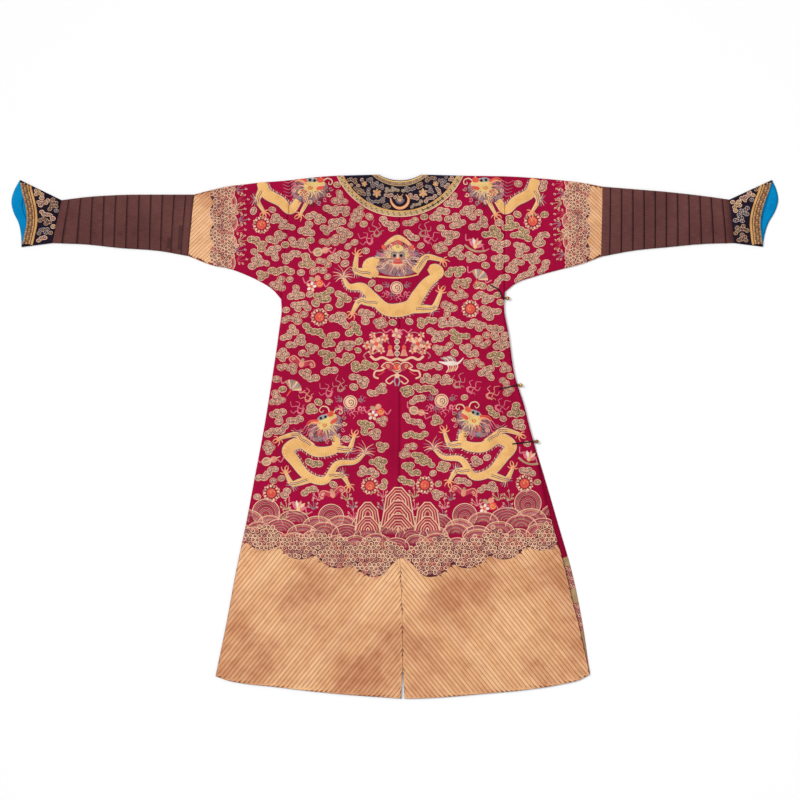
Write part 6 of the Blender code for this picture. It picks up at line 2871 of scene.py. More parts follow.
def collar_arc(across: float, back: bool) -> Arc:
    """The arc that lies this share of the way across the collar.

    Args:
        across: Share of the way from the neck's edge to the collar's.
        back: Whether it is on the back.

    Returns:
        The arc.
    """
    front_drop = SHOULDER_V + COLLAR_HALF_WIDTH
    inner, outer = (BACK_NECK_DROP, BACK_COLLAR_DROP) if back else (FRONT_NECK_DROP, front_drop)
    return Arc(mix(NECK_HALF_WIDTH, COLLAR_HALF_WIDTH, across), mix(inner, outer, across),
               SHOULDER_V * across)


FOAM_CENTRE_U = 0.006
FOAM_EDGE_V = 1.081
FOAM_EDGE_SLOPE = 0.24
SCALLOP_DEPTH = 0.025
SCALLOP_PITCH = 0.1
SCALLOP_START = 0.036
PEAK_RISE = 0.07
PEAK_HALF_WIDTH = 0.03
FOAM_TOP_V = 0.994
FOAM_TOP_SLOPE = 0.11
SLEEVE_FOAM_U = 0.502
SLEEVE_SCALLOP_DEPTH = 0.012
SLEEVE_SCALLOP_PITCH = 0.056


def foam_edge(u: Value) -> Array:
    """v of the scalloped edge where the foam ends and the stripes of the hem start.

    Args:
        u: Places across the robe.

    Returns:
        v for each u.
    """
    off = np.abs(np.asarray(u, float) - FOAM_CENTRE_U)
    scallops = SCALLOP_DEPTH * np.abs(np.sin(math.pi * (off - SCALLOP_START) / SCALLOP_PITCH)) ** 0.8
    peak = PEAK_RISE * np.exp(-(off / PEAK_HALF_WIDTH) ** 2)
    return FOAM_EDGE_V - FOAM_EDGE_SLOPE * off + scallops - peak


def foam_top(u: Value) -> Array:
    """v of the wavy edge where the foam starts."""
    u = np.asarray(u, float)
    return FOAM_TOP_V - FOAM_TOP_SLOPE * np.abs(u) + 0.01 * np.sin(u * 41.0 + 0.7) + 0.007 * np.sin(u * 93.0)


def sleeve_foam_edge(s: Value) -> Array:
    """How far out the foam reaches on a sleeve."""
    return SLEEVE_FOAM_U + SLEEVE_SCALLOP_DEPTH * np.abs(np.sin(math.pi * np.asarray(s)
                                                                / SLEEVE_SCALLOP_PITCH))


@dataclass
class Grounds:
    """The cloths that are worked, back and front.

    Attributes:
        heights: The back's height over the table.
    """

    heights: HeightMap

    CLOUDS_END_V = 0.9
    # (v, u) where the sleeves' lower folds bound the clouds.
    LEFT_ARM_FOLD = ((0.25, -0.41), (0.254, -0.41), (0.27, -0.4085), (0.289, -0.378), (0.309, -0.346),
                     (0.336, -0.3213))
    RIGHT_ARM_FOLD = ((0.247, 0.404), (0.251, 0.404), (0.263, 0.4), (0.276, 0.362), (0.292, 0.316),
                      (0.317, 0.2835))

    def upper_edge(self, u: Array, back: bool) -> Array:
        """v where the body's cloth starts, below the shoulder, the collar or the overlap's edging.

        Args:
            u: Places across the robe.
            back: Whether it is on the back.

        Returns:
            v for each u.
        """
        collar = BACK_COLLAR if back else FRONT_COLLAR
        under = np.where(np.abs(u) < COLLAR_HALF_WIDTH, collar.below(np.clip(u, -0.171, 0.171)) + 0.0008,
                         shoulder(u))
        return under if back else np.where(np.asarray(u) > 0.002, overlap(u) + EDGING_WIDTH + 0.002, under)

    def body(self, back: bool, top: Optional[Callable] = None, half: int = 0) -> Ground:
        """The body, or one half of it.

        Args:
            back: Whether it is the back.
            top: v of its upper edge, or None for the cloth's own.
            half: -1 for the left half, 1 for the right one, 0 for both.

        Returns:
            The ground.
        """
        side = right_sewn_edge if back else right_edge
        return Ground(
            top or (lambda u: self.upper_edge(u, back)), lambda u: hem(u) - 0.0006,
            (lambda v: right_of_centre(v) + 0.0003) if half > 0 else (lambda v: left_edge(v) + 0.0006),
            (lambda v: left_of_centre(v) - 0.0003) if half < 0 else (lambda v: side(v) - 0.0006),
            self.heights, Facing.of(back), [lambda u, v: v - shoulder(u)])

    def sleeve(self, table: Sequence[Section], back: bool, inner: float = 0.0003,
               outer: float = 0.0003) -> Ground:
        """A length of sleeve, set in from its two seams.

        Args:
            table: Its sections.
            back: Whether it is on the back.
            inner: Inset from the armhole.
            outer: Inset from the far seam.

        Returns:
            The ground.
        """
        top, bottom = lines_of(table, True), lines_of(table, False)
        outward = outward_of(table)
        near, far = crossing(table[0], outward * inner), crossing(table[-1], -outward * outer)
        left, right = (near, far) if outward > 0 else (far, near)
        return Ground(top, bottom, left, right, self.heights.tube, Facing.of(back),
                      [lambda u, v: v - top(u), lambda u, v: bottom(u) - v])

    def packed(self, back: bool) -> Ground:
        """Everything between the sleeves' wave bands and above the hem's, for placing clouds.

        Args:
            back: Whether it is the back.

        Returns:
            The ground.
        """
        left_top, right_top = lines_of(SLEEVE_LEFT, True), lines_of(SLEEVE_RIGHT, True)

        def top(u: Array) -> Array:
            """Upper edge of body and sleeves.

            Args:
                u: Places across.

            Returns:
                v of the edge.
            """
            arms = np.where(u < 0, left_top(u), right_top(u))
            on_arm = (u < LEFT_SIDE[0].u + 0.027) | (u > RIGHT_SIDE[0].u - 0.0013)
            return np.where(on_arm, arms, self.upper_edge(u, back))

        def left(v: Array) -> Array:
            """The left sleeve's waves, its lower fold and the left side."""
            under = np.interp(v, *zip(*self.LEFT_ARM_FOLD))
            return np.where(v < LEFT_SIDE[0].v, under, left_edge(v))

        def right(v: Array) -> Array:
            """The right sleeve's waves, its lower fold and the right side."""
            under = np.interp(v, *zip(*self.RIGHT_ARM_FOLD))
            return np.where(v < RIGHT_SIDE[0].v, under, right_sewn_edge(v) if back else right_edge(v))

        return Ground(top, lambda u: np.full(np.shape(u), self.CLOUDS_END_V), left, right, self.heights)

    def collar(self, back: bool, span: tuple[float, float]) -> Ground:
        """A band of the collar between two shares across it.

        Args:
            back: Whether it is on the back.
            span: Its shares across the collar.

        Returns:
            The ground.
        """
        inner, outer = collar_arc(span[0], back), collar_arc(span[1], back)
        near, wide = (mix(NECK_HALF_WIDTH, COLLAR_HALF_WIDTH, share) for share in span)
        return Ground(lambda u: np.where(np.abs(u) < near, inner.below(u), shoulder(np.asarray(u))),
                      outer.below,
                      lambda v: np.full(np.shape(v), 0.0005 - wide),
                      lambda v: np.full(np.shape(v), wide - 0.0005),
                      lambda u, v: self.heights(u, v) + LAID_GAP + TRIM, Facing.of(back),
                      [lambda u, v: v - shoulder(u)])

    def cuff(self, table: Sequence[Section], back: bool, inset: float = 0.0008, lift: float = 0.0) -> Ground:
        """A cuff, out to its curved end or as far short of it as the inset.

        Args:
            table: Its sections.
            back: Whether it is on the back.
            inset: How far it stays in from the end.
            lift: Height of the worked face over the cuff.

        Returns:
            The ground.
        """
        made = self.sleeve(table, back, 0.001, 0.0)
        end = table[-1]
        outward = outward_of(table)
        hoof = hoof_curves()[0 if back else 1]

        def far(v: Array) -> Array:
            """The curved end."""
            down = np.clip((np.asarray(v) - end.top_v) / (end.bottom_v - end.top_v), 0.0, 1.0)
            return mix(end.top_u, end.bottom_u, down) + outward * (hoof(down) - inset)

        if outward > 0:
            made.right = far
        else:
            made.left = far
        made.height = lambda u, v: self.heights.tube(u, v) + lift
        return made


# ---- What is worked ------------------------------------------------------------------------------
HATCH = (PINK, TAN, PEACH, ROSE, MAUVE)
TINTS = ({}, {}, {CLOUD_MIDDLE: OLIVE}, {CLOUD_RIM: PEACH}, {}, {CLOUD_MIDDLE: TAN, SCROLL: BROWN_LINE})
FOAM_TINTS = ({}, {CREAM: PEACH}, {}, {CREAM: CLOUD_RIM}, {}, {CREAM: SAGE})


class Arm(NamedTuple):
    """What the embroidery needs to know of one sleeve."""

    name: str
    sleeve: Sequence[Section]
    cuff: Sequence[Section]
    outward: int
    middle_v: float


ARMS = (Arm("left", SLEEVE_LEFT, CUFF_LEFT, -1, 0.132), Arm("right", SLEEVE_RIGHT, CUFF_RIGHT, 1, 0.124))


def longevity_emblem() -> Stitching:
    """Flowers and treasures on a ribbon over a bat, which stand for long life and luck.

    Returns:
        Its drawing.
    """
    d = Stitching()
    for s in (-1, 1):
        for points, width, thread in (
                (((0.004, -0.056), (0.016, -0.068), (0.03, -0.06), (0.04, -0.07)), 0.0028, PINK),
                (((0.022, -0.03), (0.034, -0.056), (0.052, -0.06), (0.074, -0.046)), 0.0024, SAGE),
                (((0.05, -0.012), (0.066, -0.002), (0.078, -0.008), (0.09, 0.002), (0.084, 0.01)), 0.003,
                 SAGE),
                (((0.0, 0.01), (0.018, 0.015), (0.04, 0.007), (0.058, 0.013), (0.072, 0.003)), 0.0064, CREAM),
                (((0.03, 0.034), (0.042, 0.042), (0.058, 0.044), (0.062, 0.058), (0.05, 0.064)), 0.0046,
                 CREAM),
                (((0.034, 0.044), (0.044, 0.052), (0.052, 0.054)), 0.0022, SCARLET),
                (((0.003, 0.054), (0.016, 0.058), (0.03, 0.07), (0.02, 0.078), (0.01, 0.07)), 0.0032, CREAM),
                (((0.002, 0.056), (0.007, 0.07), (0.003, 0.084)), 0.0036, GREY)):
            d.strip(curve(points) * (s, 1), width, thread)
        for u, v, size, count in ((0.056, -0.03, 0.019, 8), (0.081, -0.026, 0.012, 6),
                                  (0.034, -0.046, 0.012, 6),
                                  (0.066, -0.054, 0.009, 5), (0.042, -0.012, 0.01, 5),
                                  (0.07, -0.008, 0.009, 5)):
            petals(d, u * s, v, size, count, (CREAM, PEACH, CLOUD_RIM, SAGE), SCARLET, 0.0004, u * 9)
        d.patch(np.array([(0.008, 0.003), (0.029, 0.003), (0.019, -0.028)]) * (s, 1), PEACH, 0.0004, 0.0005)
        d.disc(0.019 * s, -0.02, 0.0062, SCARLET, 0.0009, 0.0004, 9)
        wing = curve([(0.004, 0.036), (0.014, 0.022), (0.03, 0.021), (0.042, 0.032), (0.03, 0.036),
                      (0.016, 0.044)], 3, True)
        d.patch(wing * (s, 1), ROSE, 0.0005, 0.0005)
        d.strip(wing[:12] * (s, 1), 0.003, CREAM, 0.001)
        d.spiral(0.026 * s, 0.03, 0.0056, 0.001, 1.2 * s, 0.002, YELLOW, 1.5, 0.0012)
    d.strip([(0.0, -0.046), (0.0, 0.006)], 0.005, GREY, 0.0003)
    for v in (-0.036, -0.02, -0.004):
        d.ring(0.0, v, 0.006, 0.0026, CREAM, 0.0006)
    petals(d, 0.0, -0.057, 0.015, 7, (PINK, CREAM), OLIVE, 0.0005)
    d.disc(0.0, 0.034, 0.015, CREAM, 0.0006, 0.0004, 14)
    d.disc(-0.002, 0.032, 0.0105, SCARLET, 0.0009, 0.0005, 12)
    d.ring(0.0, 0.034, 0.0115, 0.0018, DARK, 0.0012, sides=16)
    d.disc(0.0, 0.056, 0.007, CREAM, 0.0005, 0.0005, 10)
    return d


def sprig(size: float, thread: Thread) -> Stitching:
    """A sprig of coral or fungus that grows between the waves.

    Args:
        size: Its size.
        thread: What it is worked in.

    Returns:
        Its drawing.
    """
    d = Stitching()
    for angle, reach in ((-90, 1.0), (-125, 0.75), (-55, 0.75), (-150, 0.5), (-30, 0.5)):
        a = math.radians(angle)
        line = curve([(0, 0), polar(reach * size * 0.5, a + 0.3), polar(reach * size, a)])
        d.strip(line, 0.002, thread, 0.0003)
        d.spiral(*line[-1], 0.0036, 0.001, 0.9, 0.0018, CREAM, a, 0.0004, 0.0002, 6)
    return d


def small_dragon() -> Stitching:
    """A small dragon facing forwards, its body curled round below its head.

    Returns:
        Its drawing.
    """
    d = Stitching()
    body = curve([(-0.026, -0.008, 0.003), (-0.022, 0.006, 0.005), (-0.01, 0.018, 0.0065),
                  (0.006, 0.019, 0.007),
                  (0.02, 0.009, 0.0065), (0.023, -0.006, 0.005), (0.016, -0.017, 0.002)], 4)
    d.strip(body, body[:, 2] + 0.0018, BROWN_LINE, 0.0003, 0.0)
    d.strip(body, body[:, 2], CLAW, 0.0005, 0.0006)
    for i in range(9):
        a = 0.35 * (i - 4) + math.pi / 2
        d.strip([polar(reach, a) + (0.0, -0.004) for reach in (0.0, 0.013)], (0.003, 0.0012),
                (GREY, MAUVE)[i % 2], 0.0005)
    d.disc(0.0, -0.006, 0.0078, TAN, 0.0008, 0.0006, 10, 0.9)
    d.disc(0.0, -0.001, 0.0034, PEACH, 0.0014, 0.0003, 8)
    for x in (-0.0032, 0.0032):
        d.disc(x, -0.0075, 0.0016, INK, 0.0015, 0.0002, 6)
        d.strip([(x, -0.012), (x * 2.6, -0.019)], (0.0022, 0.001), OCHRE, 0.0006)
    return d


def rounded(points: Array, step: float) -> Array:
    """The points brought to an even grid, each once."""
    return np.unique(np.round(points / step) * step, axis=0)


@dataclass
class Embroidery:
    """All that is worked on the cloth.

    Attributes:
        heights: The back's height over the table.
    """

    heights: HeightMap

    EDGE_CURL = 0.0078
    EDGE_BANDS = ((1.034, 1.064, OLIVE, False), (1.06, 1.122, WINE, True), (1.118, 1.164, OLIVE, False),
                  (1.16, 1.236, WINE, True), (1.232, 1.304, OLIVE, False), (1.3, 1.376, WINE, True))
    ROUNDELS = ((-0.374, 0.136), (-0.217, 0.385), (-0.347, 0.86), (-0.081, 0.84),
                (0.358, 0.126), (0.19, 0.363), (0.067, 0.838), (0.336, 0.834))
    EMBLEMS = ((Small.GOURD, -0.211, 0.207), (Small.FRUIT, -0.227, 0.293), (Small.LOTUS, 0.205, 0.188),
               (Small.FAN, 0.211, 0.274), (Small.BAT, -0.265, 0.51), (Small.CRANE, 0.14, 0.51),
               (Small.FRUIT, -0.062, 0.64), (Small.GOURD, 0.048, 0.64), (Small.FAN, -0.292, 0.572),
               (Small.GOURD, -0.35, 0.772), (Small.LOTUS, 0.35, 0.762), (Small.BAT, -0.182, 0.862),
               (Small.BAT, 0.172, 0.858), (Small.LOTUS, -0.272, 0.897), (Small.FRUIT, 0.24, 0.893))
    # What stands above this v is set lower on the front, below the deeper neck.
    BELOW_CHEST = 0.4
    FRONT_DROP = 0.085
    SEATED_AT = (-0.006, 0.219)
    STRIDING_AT = ((-0.204, 0.666), (0.2, 0.654))
    SHOULDERED_AT = ((-0.238, 0.026), (0.227, 0.026))
    PEARLS = ((-0.009, 0.306, 0.92), (-0.134, 0.615, 1.0), (0.112, 0.611, 1.0))
    LONG_LIFE_U = -0.008
    LONG_LIFE_V = (0.517, 0.487)
    FLAME_SIZE = 0.046
    FLAMES = ((-0.074, 0.184, -2.7, PINK), (-0.06, 0.168, -1.9, SAGE), (0.066, 0.18, -0.6, PINK),
              (0.058, 0.168, -1.2, SAGE), (-0.262, 0.644, -2.5, PINK), (-0.244, 0.612, -2.2, PEACH),
              (-0.158, 0.586, -1.9, SAGE), (-0.186, 0.598, -2.4, PINK), (0.258, 0.634, -0.6, PINK),
              (0.236, 0.604, -0.9, PEACH), (0.15, 0.576, -1.2, SAGE), (0.182, 0.586, -0.7, PINK))
    CLOUD_BOX = (-0.45, 0.0, 0.445, 0.905)
    PEAKS = ((-0.005, 0.885, 0.04), (-0.087, 0.915, 0.034), (0.074, 0.915, 0.034))
    WHORLS = ((-0.362, 0.913, 0.037), (-0.186, 0.924, 0.034), (0.175, 0.921, 0.033), (0.345, 0.887, 0.036))
    SPRIGS = ((-0.13, 0.902), (0.118, 0.902), (-0.31, 0.905), (0.29, 0.905), (-0.048, 0.872), (0.036, 0.872),
              (-0.236, 0.904),
              (0.205, 0.895), (-0.316, 0.93), (-0.048, 0.905), (0.036, 0.905), (0.292, 0.88), (0.112, 0.925),
              (-0.128, 0.93),
              (-0.146, 0.88), (0.134, 0.88), (-0.222, 0.88), (0.262, 0.88))
    # Rows of hills: v of the row's foot, radius of a hill, pitch and first u.
    HILL_ROWS = ((0.953, 0.04, 0.064, -0.415), (0.976, 0.038, 0.059, -0.44), (1.0, 0.036, 0.055, -0.45))
    HILLS_IN_ROW = 17
    TALL_MOUNTAIN = Mountain(((0.0, 0.0325), (0.036, 0.038), (0.072, 0.042)), 0.106, 0.0066)
    LOW_MOUNTAIN = Mountain(((0.0, 0.0255), (0.038, 0.0285)), 0.076, 0.0064)
    MOUNTAIN_FEET = ((-0.005, 0.93, 0.04), (-0.087, 0.94, 0.026), (0.074, 0.94, 0.026))
    SLEEVE_WAVES = ((-0.094, 0.43), (-0.066, 0.424), (-0.04, 0.432), (-0.012, 0.422), (0.016, 0.432),
                    (0.044, 0.424), (0.07, 0.432), (0.096, 0.428))
    STRIPE_THREADS = (HEM_GOLD, HEM_PALE, HEM_GOLD, HEM_TAN, HEM_PALE, HEM_GOLD, HEM_PALE)
    STRIPE_PITCH = 0.0127
    STRIPE_WIDTH = 0.0087
    STRIPE_SLANT = 51
    STRIPES_FROM_V = 0.99
    SLEEVE_STRIPES = 34
    SLEEVE_STRIPE_PITCH = 0.0108
    SLEEVE_STRIPE_WIDTH = 0.007
    # Lines and rows of dots on the collar's borders: share across it, width or pitch and radius, threads.
    COLLAR_LINES = ((0.01, 0.0022, DARK), (0.04, 0.003, YELLOW), (0.145, 0.0026, OLIVE),
                    (0.85, 0.004, OCHRE), (0.99, 0.0028, CREAM))
    COLLAR_DOTS = ((0.092, 0.006, 0.0026, GALLOON_SHADE, (OLIVE, MAUVE, TAN)),
                   (0.893, 0.0052, 0.0018, OLIVE, (CREAM, GALLOON_SHADE, YELLOW)),
                   (0.945, 0.0052, 0.0018, OLIVE, (GALLOON_SHADE, CREAM, YELLOW)))
    COLLAR_TINTS = ({CLOUD_RIM: GREY, CLOUD_MIDDLE: NAVY_THREAD}, {CLOUD_RIM: TAN, CLOUD_MIDDLE: NAVY_THREAD},
                    {CLOUD_RIM: OLIVE, CLOUD_MIDDLE: GREY}, {CLOUD_MIDDLE: MAUVE, CLOUD_RIM: CREAM})
    CUFF_TINTS = ({CLOUD_MIDDLE: NAVY_THREAD, CLOUD_RIM: TAN}, {CLOUD_RIM: CREAM, CLOUD_MIDDLE: MAUVE},
                  {CLOUD_RIM: GREY, CLOUD_MIDDLE: NAVY_THREAD}, {CLOUD_RIM: CREAM, CLOUD_MIDDLE: OLIVE})
    # Lines and rows of dots on the cuff's braid: how far in from its end, and width or radius.
    BRAID_LINES = ((0.0015, 0.0026, OLIVE), (0.02, 0.0024, OCHRE), (0.0065, 0.0014, DARK),
                   (0.0155, 0.0014, DARK))
    BRAID_DOTS = ((0.011, 0.0024), (0.0042, 0.0019), (0.0178, 0.0019))

    def build(self) -> None:
        """Works both sides."""
        self.grounds = Grounds(self.heights)
        self.beasts = [Dragon(form, seed).drawing for seed,
                       form in enumerate((SEATED, STRIDING, SHOULDERED), 5)]
        for back, side in ((True, "back"), (False, "front")):
            self.figures(back, side)
            self.waves(back, side)
            self.stripes(back, side)
            self.collar(back, side)
            self.cuffs(back, side)
        self.edge_foam()

    def everywhere(self, name: str, drawing: Stitching, back: bool) -> None:
        """Works one drawing on the body and on both sleeves, each with what falls on it.

        Args:
            name: Its name.
            drawing: What is worked.
            back: Whether it is on the back.
        """
        self.grounds.body(back).work(f"{name}_body", drawing)
        for arm in ARMS:
            self.grounds.sleeve(arm.sleeve, back).work(f"{name}_{arm.name}_sleeve", drawing)

    def figures(self, back: bool, side: str) -> None:
        """Dragons, pearls, roundels and emblems, and the clouds between them.

        Args:
            back: Whether it is on the back.
            side: The side's name.
        """
        down = 0.0 if back else self.FRONT_DROP
        seated, striding, shouldered = self.beasts
        d = Stitching()
        d.stamp(seated, self.SEATED_AT[0], self.SEATED_AT[1] + down)
        for beast, (left, right) in ((striding, self.STRIDING_AT), (shouldered, self.SHOULDERED_AT)):
            d.stamp(beast, *left)
            d.stamp(beast, *right, mirror=True)
        for u, v, scale in self.PEARLS:
            d.stamp(pearl(), u, v + (0.0 if v > self.BELOW_CHEST else down), scale=scale)
        for u, v in self.ROUNDELS:
            d.stamp(roundel(), u, v, angle=u * 9)
        for kind, u, v in self.EMBLEMS:
            d.stamp(small_emblem(kind), u, v, angle=0.3 * math.sin(u * 40), scale=1.2)
        d.stamp(longevity_emblem(), self.LONG_LIFE_U, self.LONG_LIFE_V[back])
        for u, v, angle, thread in self.FLAMES:
            flame(d, u, v + (0.0 if v > self.BELOW_CHEST else down), self.FLAME_SIZE, angle, thread)
        taken = d.points()
        self.everywhere(f"figures_{side}", d, back)
        clouds = Stitching()
        seam = np.stack(np.meshgrid(np.linspace(-0.03, -0.004, 6), np.linspace(0.575, 0.845, 60)), axis=-1)
        packing = Packing(self.grounds.packed(back), self.CLOUD_BOX, 0.009, 11 if back else 23)
        packing.block(rounded(taken, 0.003), 0.01)
        packing.block(seam.reshape(-1, 2), 0.009)
        packing.block(np.array(self.SPRIGS), 0.03)
        for u, v, reach in (*self.WHORLS, *self.PEAKS):
            packing.block(np.array([(u, v)]), reach + 0.012)
        count = packing.fill(clouds, CloudScroll(), 0.0202, 0.42, TINTS, 0.006)
        LOG.info("%d clouds", count)
        self.everywhere(f"clouds_{side}", clouds, back)

    def waves(self, back: bool, side: str) -> None:
        """The rolling waves and mountains over the hem, and over the stripes of the sleeves.

        Args:
            back: Whether it is on the back.
            side: The side's name.
        """
        band = Band(lambda rows: rows, 31 if back else 37)
        d = band.drawing
        for u, v, radius in self.WHORLS:
            d.stamp(band.whorl(radius, 0.0001), u, v)
        for row, (foot, radius, pitch, start) in enumerate(self.HILL_ROWS):
            for i in range(self.HILLS_IN_ROW):
                u = start + pitch * i
                hill = band.hill(radius * band.rng.uniform(0.86, 1.16), 0.74, HATCH[i % 3:],
                                 0.0003 + 0.0004 * row)
                rise = 0.05 * max(0.0, abs(u) - 0.12)
                step = 0.012 if u > 0.28 else 0.0
                d.stamp(hill, u, foot - rise - step + 0.007 * math.sin(2.3 * i + row))
        d.stamp(self.TALL_MOUNTAIN.draw(), -0.005, 0.845, lift=0.0012)
        for u in (-0.087, 0.074):
            d.stamp(self.LOW_MOUNTAIN.draw(), u, 0.885, lift=0.001)
        for i, (u, v) in enumerate(self.SPRIGS):
            d.stamp(sprig(0.026, (MAUVE, PINK, TAN)[i % 3]), u, v, lift=0.0002)
        band.foam((-0.48, 0.52), foam_top, foam_edge, 0.007, self.MOUNTAIN_FEET, 0.0017)
        self.grounds.body(back).work(f"waves_{side}_body", d)
        for arm in ARMS:
            band = Band(lambda rows: np.stack([arm.outward * rows[:, 1],
                                               arm.middle_v - arm.outward * rows[:, 0]], axis=1),
                        41)
            for i, (s, deep) in enumerate(self.SLEEVE_WAVES):
                band.stamp(sprig(0.026, (MAUVE, ROSE, TAN)[i % 3]), s, deep + 0.012)
                band.stamp(band.hill(0.024, 0.8, (ROSE, PEACH, PINK), 0.0004), s + 0.01, deep + 0.036)
            band.foam((-0.13, 0.13), lambda s: 0.448 + 0.008 * np.sin(s * 70), sleeve_foam_edge, 0.0062, (),
                      0.0009)
            self.grounds.sleeve(arm.sleeve, back).work(f"waves_{side}_{arm.name}_sleeve", band.drawing)

    def stripes(self, back: bool, side: str) -> None:
        """The slanting stripes of deep water over the hem and at the sleeves' ends.

        Args:
            back: Whether it is on the back.
            side: The side's name.
        """
        low, high, pitch = self.STRIPES_FROM_V, ROBE_LENGTH + 0.01, self.STRIPE_PITCH
        lean = (high - low) / math.tan(math.radians(self.STRIPE_SLANT))
        for half, name in ((-1, "left"), (1, "right")):
            d = Stitching()
            for i in range(int((0.56 + lean) / pitch)):
                line = mix(np.array((half * (i * pitch - lean), low)), np.array((half * i * pitch, high)),
                           np.linspace(0, 1, 36)[:, None])
                d.strip(line, self.STRIPE_WIDTH, self.STRIPE_THREADS[(i * 3 + i // 4) % 7], 0.0002, 0.0003)
            self.grounds.body(back, lambda u: foam_edge(u) - 0.002, half).work(f"stripes_{side}_{name}_hem",
                                                                               d)
        for arm in ARMS:
            d = Stitching()
            for i in range(self.SLEEVE_STRIPES):
                foot = self.SLEEVE_STRIPE_PITCH * (i - 5)
                line = mix(np.array((arm.outward * 0.495, foot - 0.035)),
                           np.array((arm.outward * 0.578, foot + 0.045)), np.linspace(0, 1, 14)[:, None])
                d.strip(line, self.SLEEVE_STRIPE_WIDTH, (HEM_PALE, HEM_PALE, HEM_GOLD)[i % 3], 0.0002, 0.0005)
            ground = self.grounds.sleeve(arm.sleeve, back)

            def inner(v: Array, arm: Arm = arm) -> Array:
                """Where the foam ends."""
                return arm.outward * (sleeve_foam_edge(arm.outward * (arm.middle_v - np.asarray(v))) - 0.002)

            if arm.outward < 0:
                ground.right = inner
            else:
                ground.left = inner
            ground.work(f"stripes_{side}_{arm.name}_sleeve", d)

    def collar(self, back: bool, side: str) -> None:
        """Scrolls and small dragons on the navy field, and the two woven borders.

        Args:
            back: Whether it is on the back.
            side: The side's name.
        """
        field_ground = self.grounds.collar(back, (NECK_BORDER_SHARE + 0.003, 1 - OUTER_BORDER_SHARE))
        d = Stitching()
        d.stamp(small_dragon(), *map(float, collar_arc(0.56, back).at(0.0)))
        for share, size in ((-0.78, 0.008), (-0.47, 0.012), (0.47, 0.012), (0.78, 0.008)):
            petals(d, *map(float, collar_arc(0.5, back).at(share)), size, 6, (OCHRE, TAN), PEACH, 0.0004,
                   share)
        packing = Packing(field_ground, (-0.16, 0.0, 0.16, 0.17), 0.0046, 51 if back else 53)
        packing.block(rounded(d.points(), 0.002), 0.0054)
        packing.fill(d, CloudScroll(0.0045, 0.007, rim=0.34), 0.0106, 1.2, self.COLLAR_TINTS, 0.004)
        field_ground.work(f"collar_scrolls_{side}", d)
        borders = Stitching()
        shares = np.linspace(-1, 1, 121)
        for across, width, thread in self.COLLAR_LINES:
            borders.strip(np.stack(collar_arc(across, back).at(shares), axis=1), width, thread, 0.0008)
        for across, pitch, radius, under, threads in self.COLLAR_DOTS:
            arc = collar_arc(across, back)
            borders.strip(np.stack(arc.at(shares), axis=1), 0.0078, under, 0.0006, 0.0001, section=FLAT_STRIP)
            count = int(arc.radius * 2 * arc.end_angle / pitch)
            for i in range(count):
                u, v = arc.at(2 * (i + 0.5) / count - 1)
                borders.disc(float(u), float(v), radius, threads[i % len(threads)], 0.0008, 0.0004, 6)
        self.grounds.collar(back, (0.0, 1.0)).work(f"collar_borders_{side}", borders)

    def cuffs(self, back: bool, side: str) -> None:
        """Scrolls on the navy cuffs, and dots and lines of the braid along their ends.

        Args:
            back: Whether it is on the back.
            side: The side's name.
        """
        for arm in ARMS:
            table = arm.cuff
            reach = BRAID_WIDTH if back else 0.006
            d = Stitching()
            box = (0.86, 0.0, 1.04, 0.2) if arm.outward > 0 else (-1.06, 0.0, -0.9, 0.2)
            packing = Packing(self.grounds.cuff(table, back, reach + 0.0078), box, 0.0056, 61)
            packing.fill(d, CloudScroll(0.0056, 0.0084, rim=0.36), 0.0124, 1.4, self.CUFF_TINTS, 0.004)
            edge = self.along_end(table, back, reach + 0.0042, np.linspace(0.02, 0.19, 30))
            d.strip(edge, 0.0058, OCHRE, 0.0003, 0.0006)
            self.grounds.cuff(table, back).work(f"cuff_scrolls_{side}_{arm.name}", d)
            if back:
                self.braid(arm)

    def braid(self, arm: Arm) -> None:
        """Dots and lines of the braid along one cuff's end.

        Args:
            arm: Whose cuff it is.
        """
        braid = Stitching()
        for inset, width, thread in self.BRAID_LINES:
            line = self.along_end(arm.cuff, True, inset, np.linspace(0.022, 0.188, 40))
            braid.strip(line, width, thread, 0.0003, 0.0004)
        for row, (inset, radius) in enumerate(self.BRAID_DOTS):
            for i, (u,
                    v) in enumerate(self.along_end(arm.cuff, True, inset, np.arange(0.0245, 0.186, 0.0062))):
                braid.disc(u, v, radius, (TAN, OCHRE, GALLOON_SHADE)[(i * 2 + row) % 3], 0.0004, 0.0004, 6)
        self.grounds.cuff(arm.cuff, True, lift=LAID_GAP + TRIM).work(f"cuff_braid_dots_{arm.name}", braid)

    def along_end(self, table: Sequence[Section], back: bool, inset: float, vs: Array) -> Array:
        """Rows of (u, v) at the v given, this far in from a cuff's curved end."""
        ground = self.grounds.cuff(table, back, inset)
        return np.stack([(ground.right if table is CUFF_RIGHT else ground.left)(vs), vs], axis=1)

    def edge_foam(self) -> None:
        """Foam and water at the hem of the front, which show beside the back's right edge."""
        d = Stitching()
        for start, end, thread, foam in self.EDGE_BANDS:
            vs = np.arange(start, end, self.EDGE_CURL)
            d.strip(np.stack([right_edge(vs) - 0.011, vs], axis=1), 0.02, thread, 0.0001, 0.0002,
                    section=FLAT_STRIP)
            for i, v in enumerate(vs if foam else ()):
                for row in range(3):
                    d.ring(float(right_edge(v)) - 0.004 - self.EDGE_CURL * row, v + 0.0039 * (row % 2),
                           0.0032, 0.0018,
                           (TAN, CREAM, SAGE)[(i + row) % 3], 0.0004, sides=8)
        ground = Ground(lambda u: np.full(np.shape(u), 1.0), hem, lambda v: right_sewn_edge(v) + 0.001,
                        lambda v: right_edge(v) - 0.0005, lambda u,
                        v: np.full(np.shape(u), FRONT_LIFT + FRONT_WALL))
        ground.work("edge_foam", d)


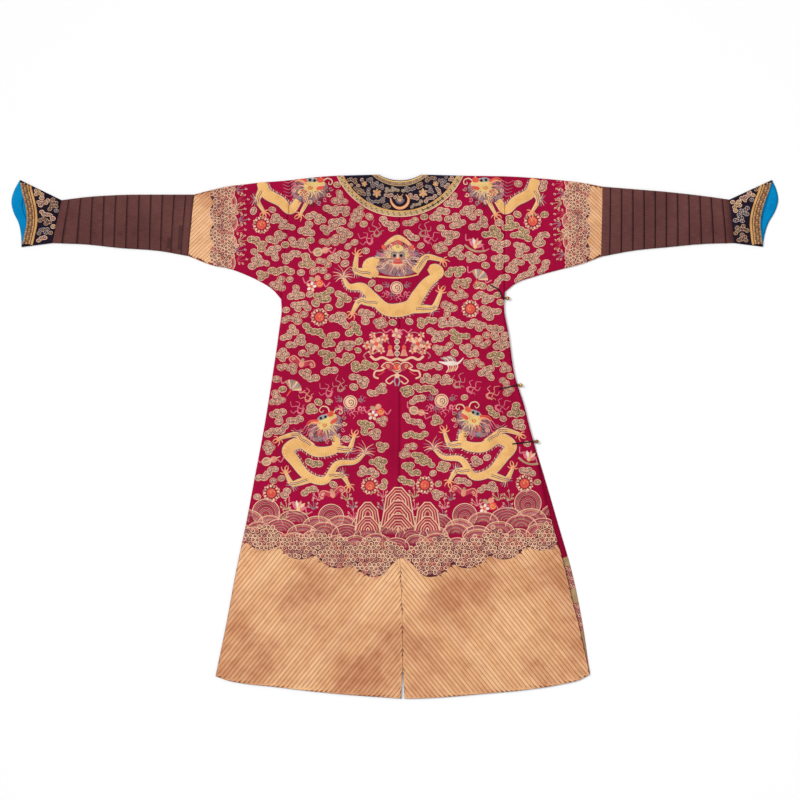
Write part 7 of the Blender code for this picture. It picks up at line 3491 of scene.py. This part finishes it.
# ---- The whole robe ------------------------------------------------------------------------------
def main() -> None:
    """Makes the robe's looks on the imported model."""
    logging.basicConfig(level=logging.INFO, format="%(message)s")
    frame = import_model()
    heights = HeightMap()
    Body(heights).build()
    Collar(heights).build()
    Sleeves(heights).build()
    Fastenings(frame).build()
    Embroidery(heights).build()
    Studio().build()


if __name__ == "__main__":
    main()
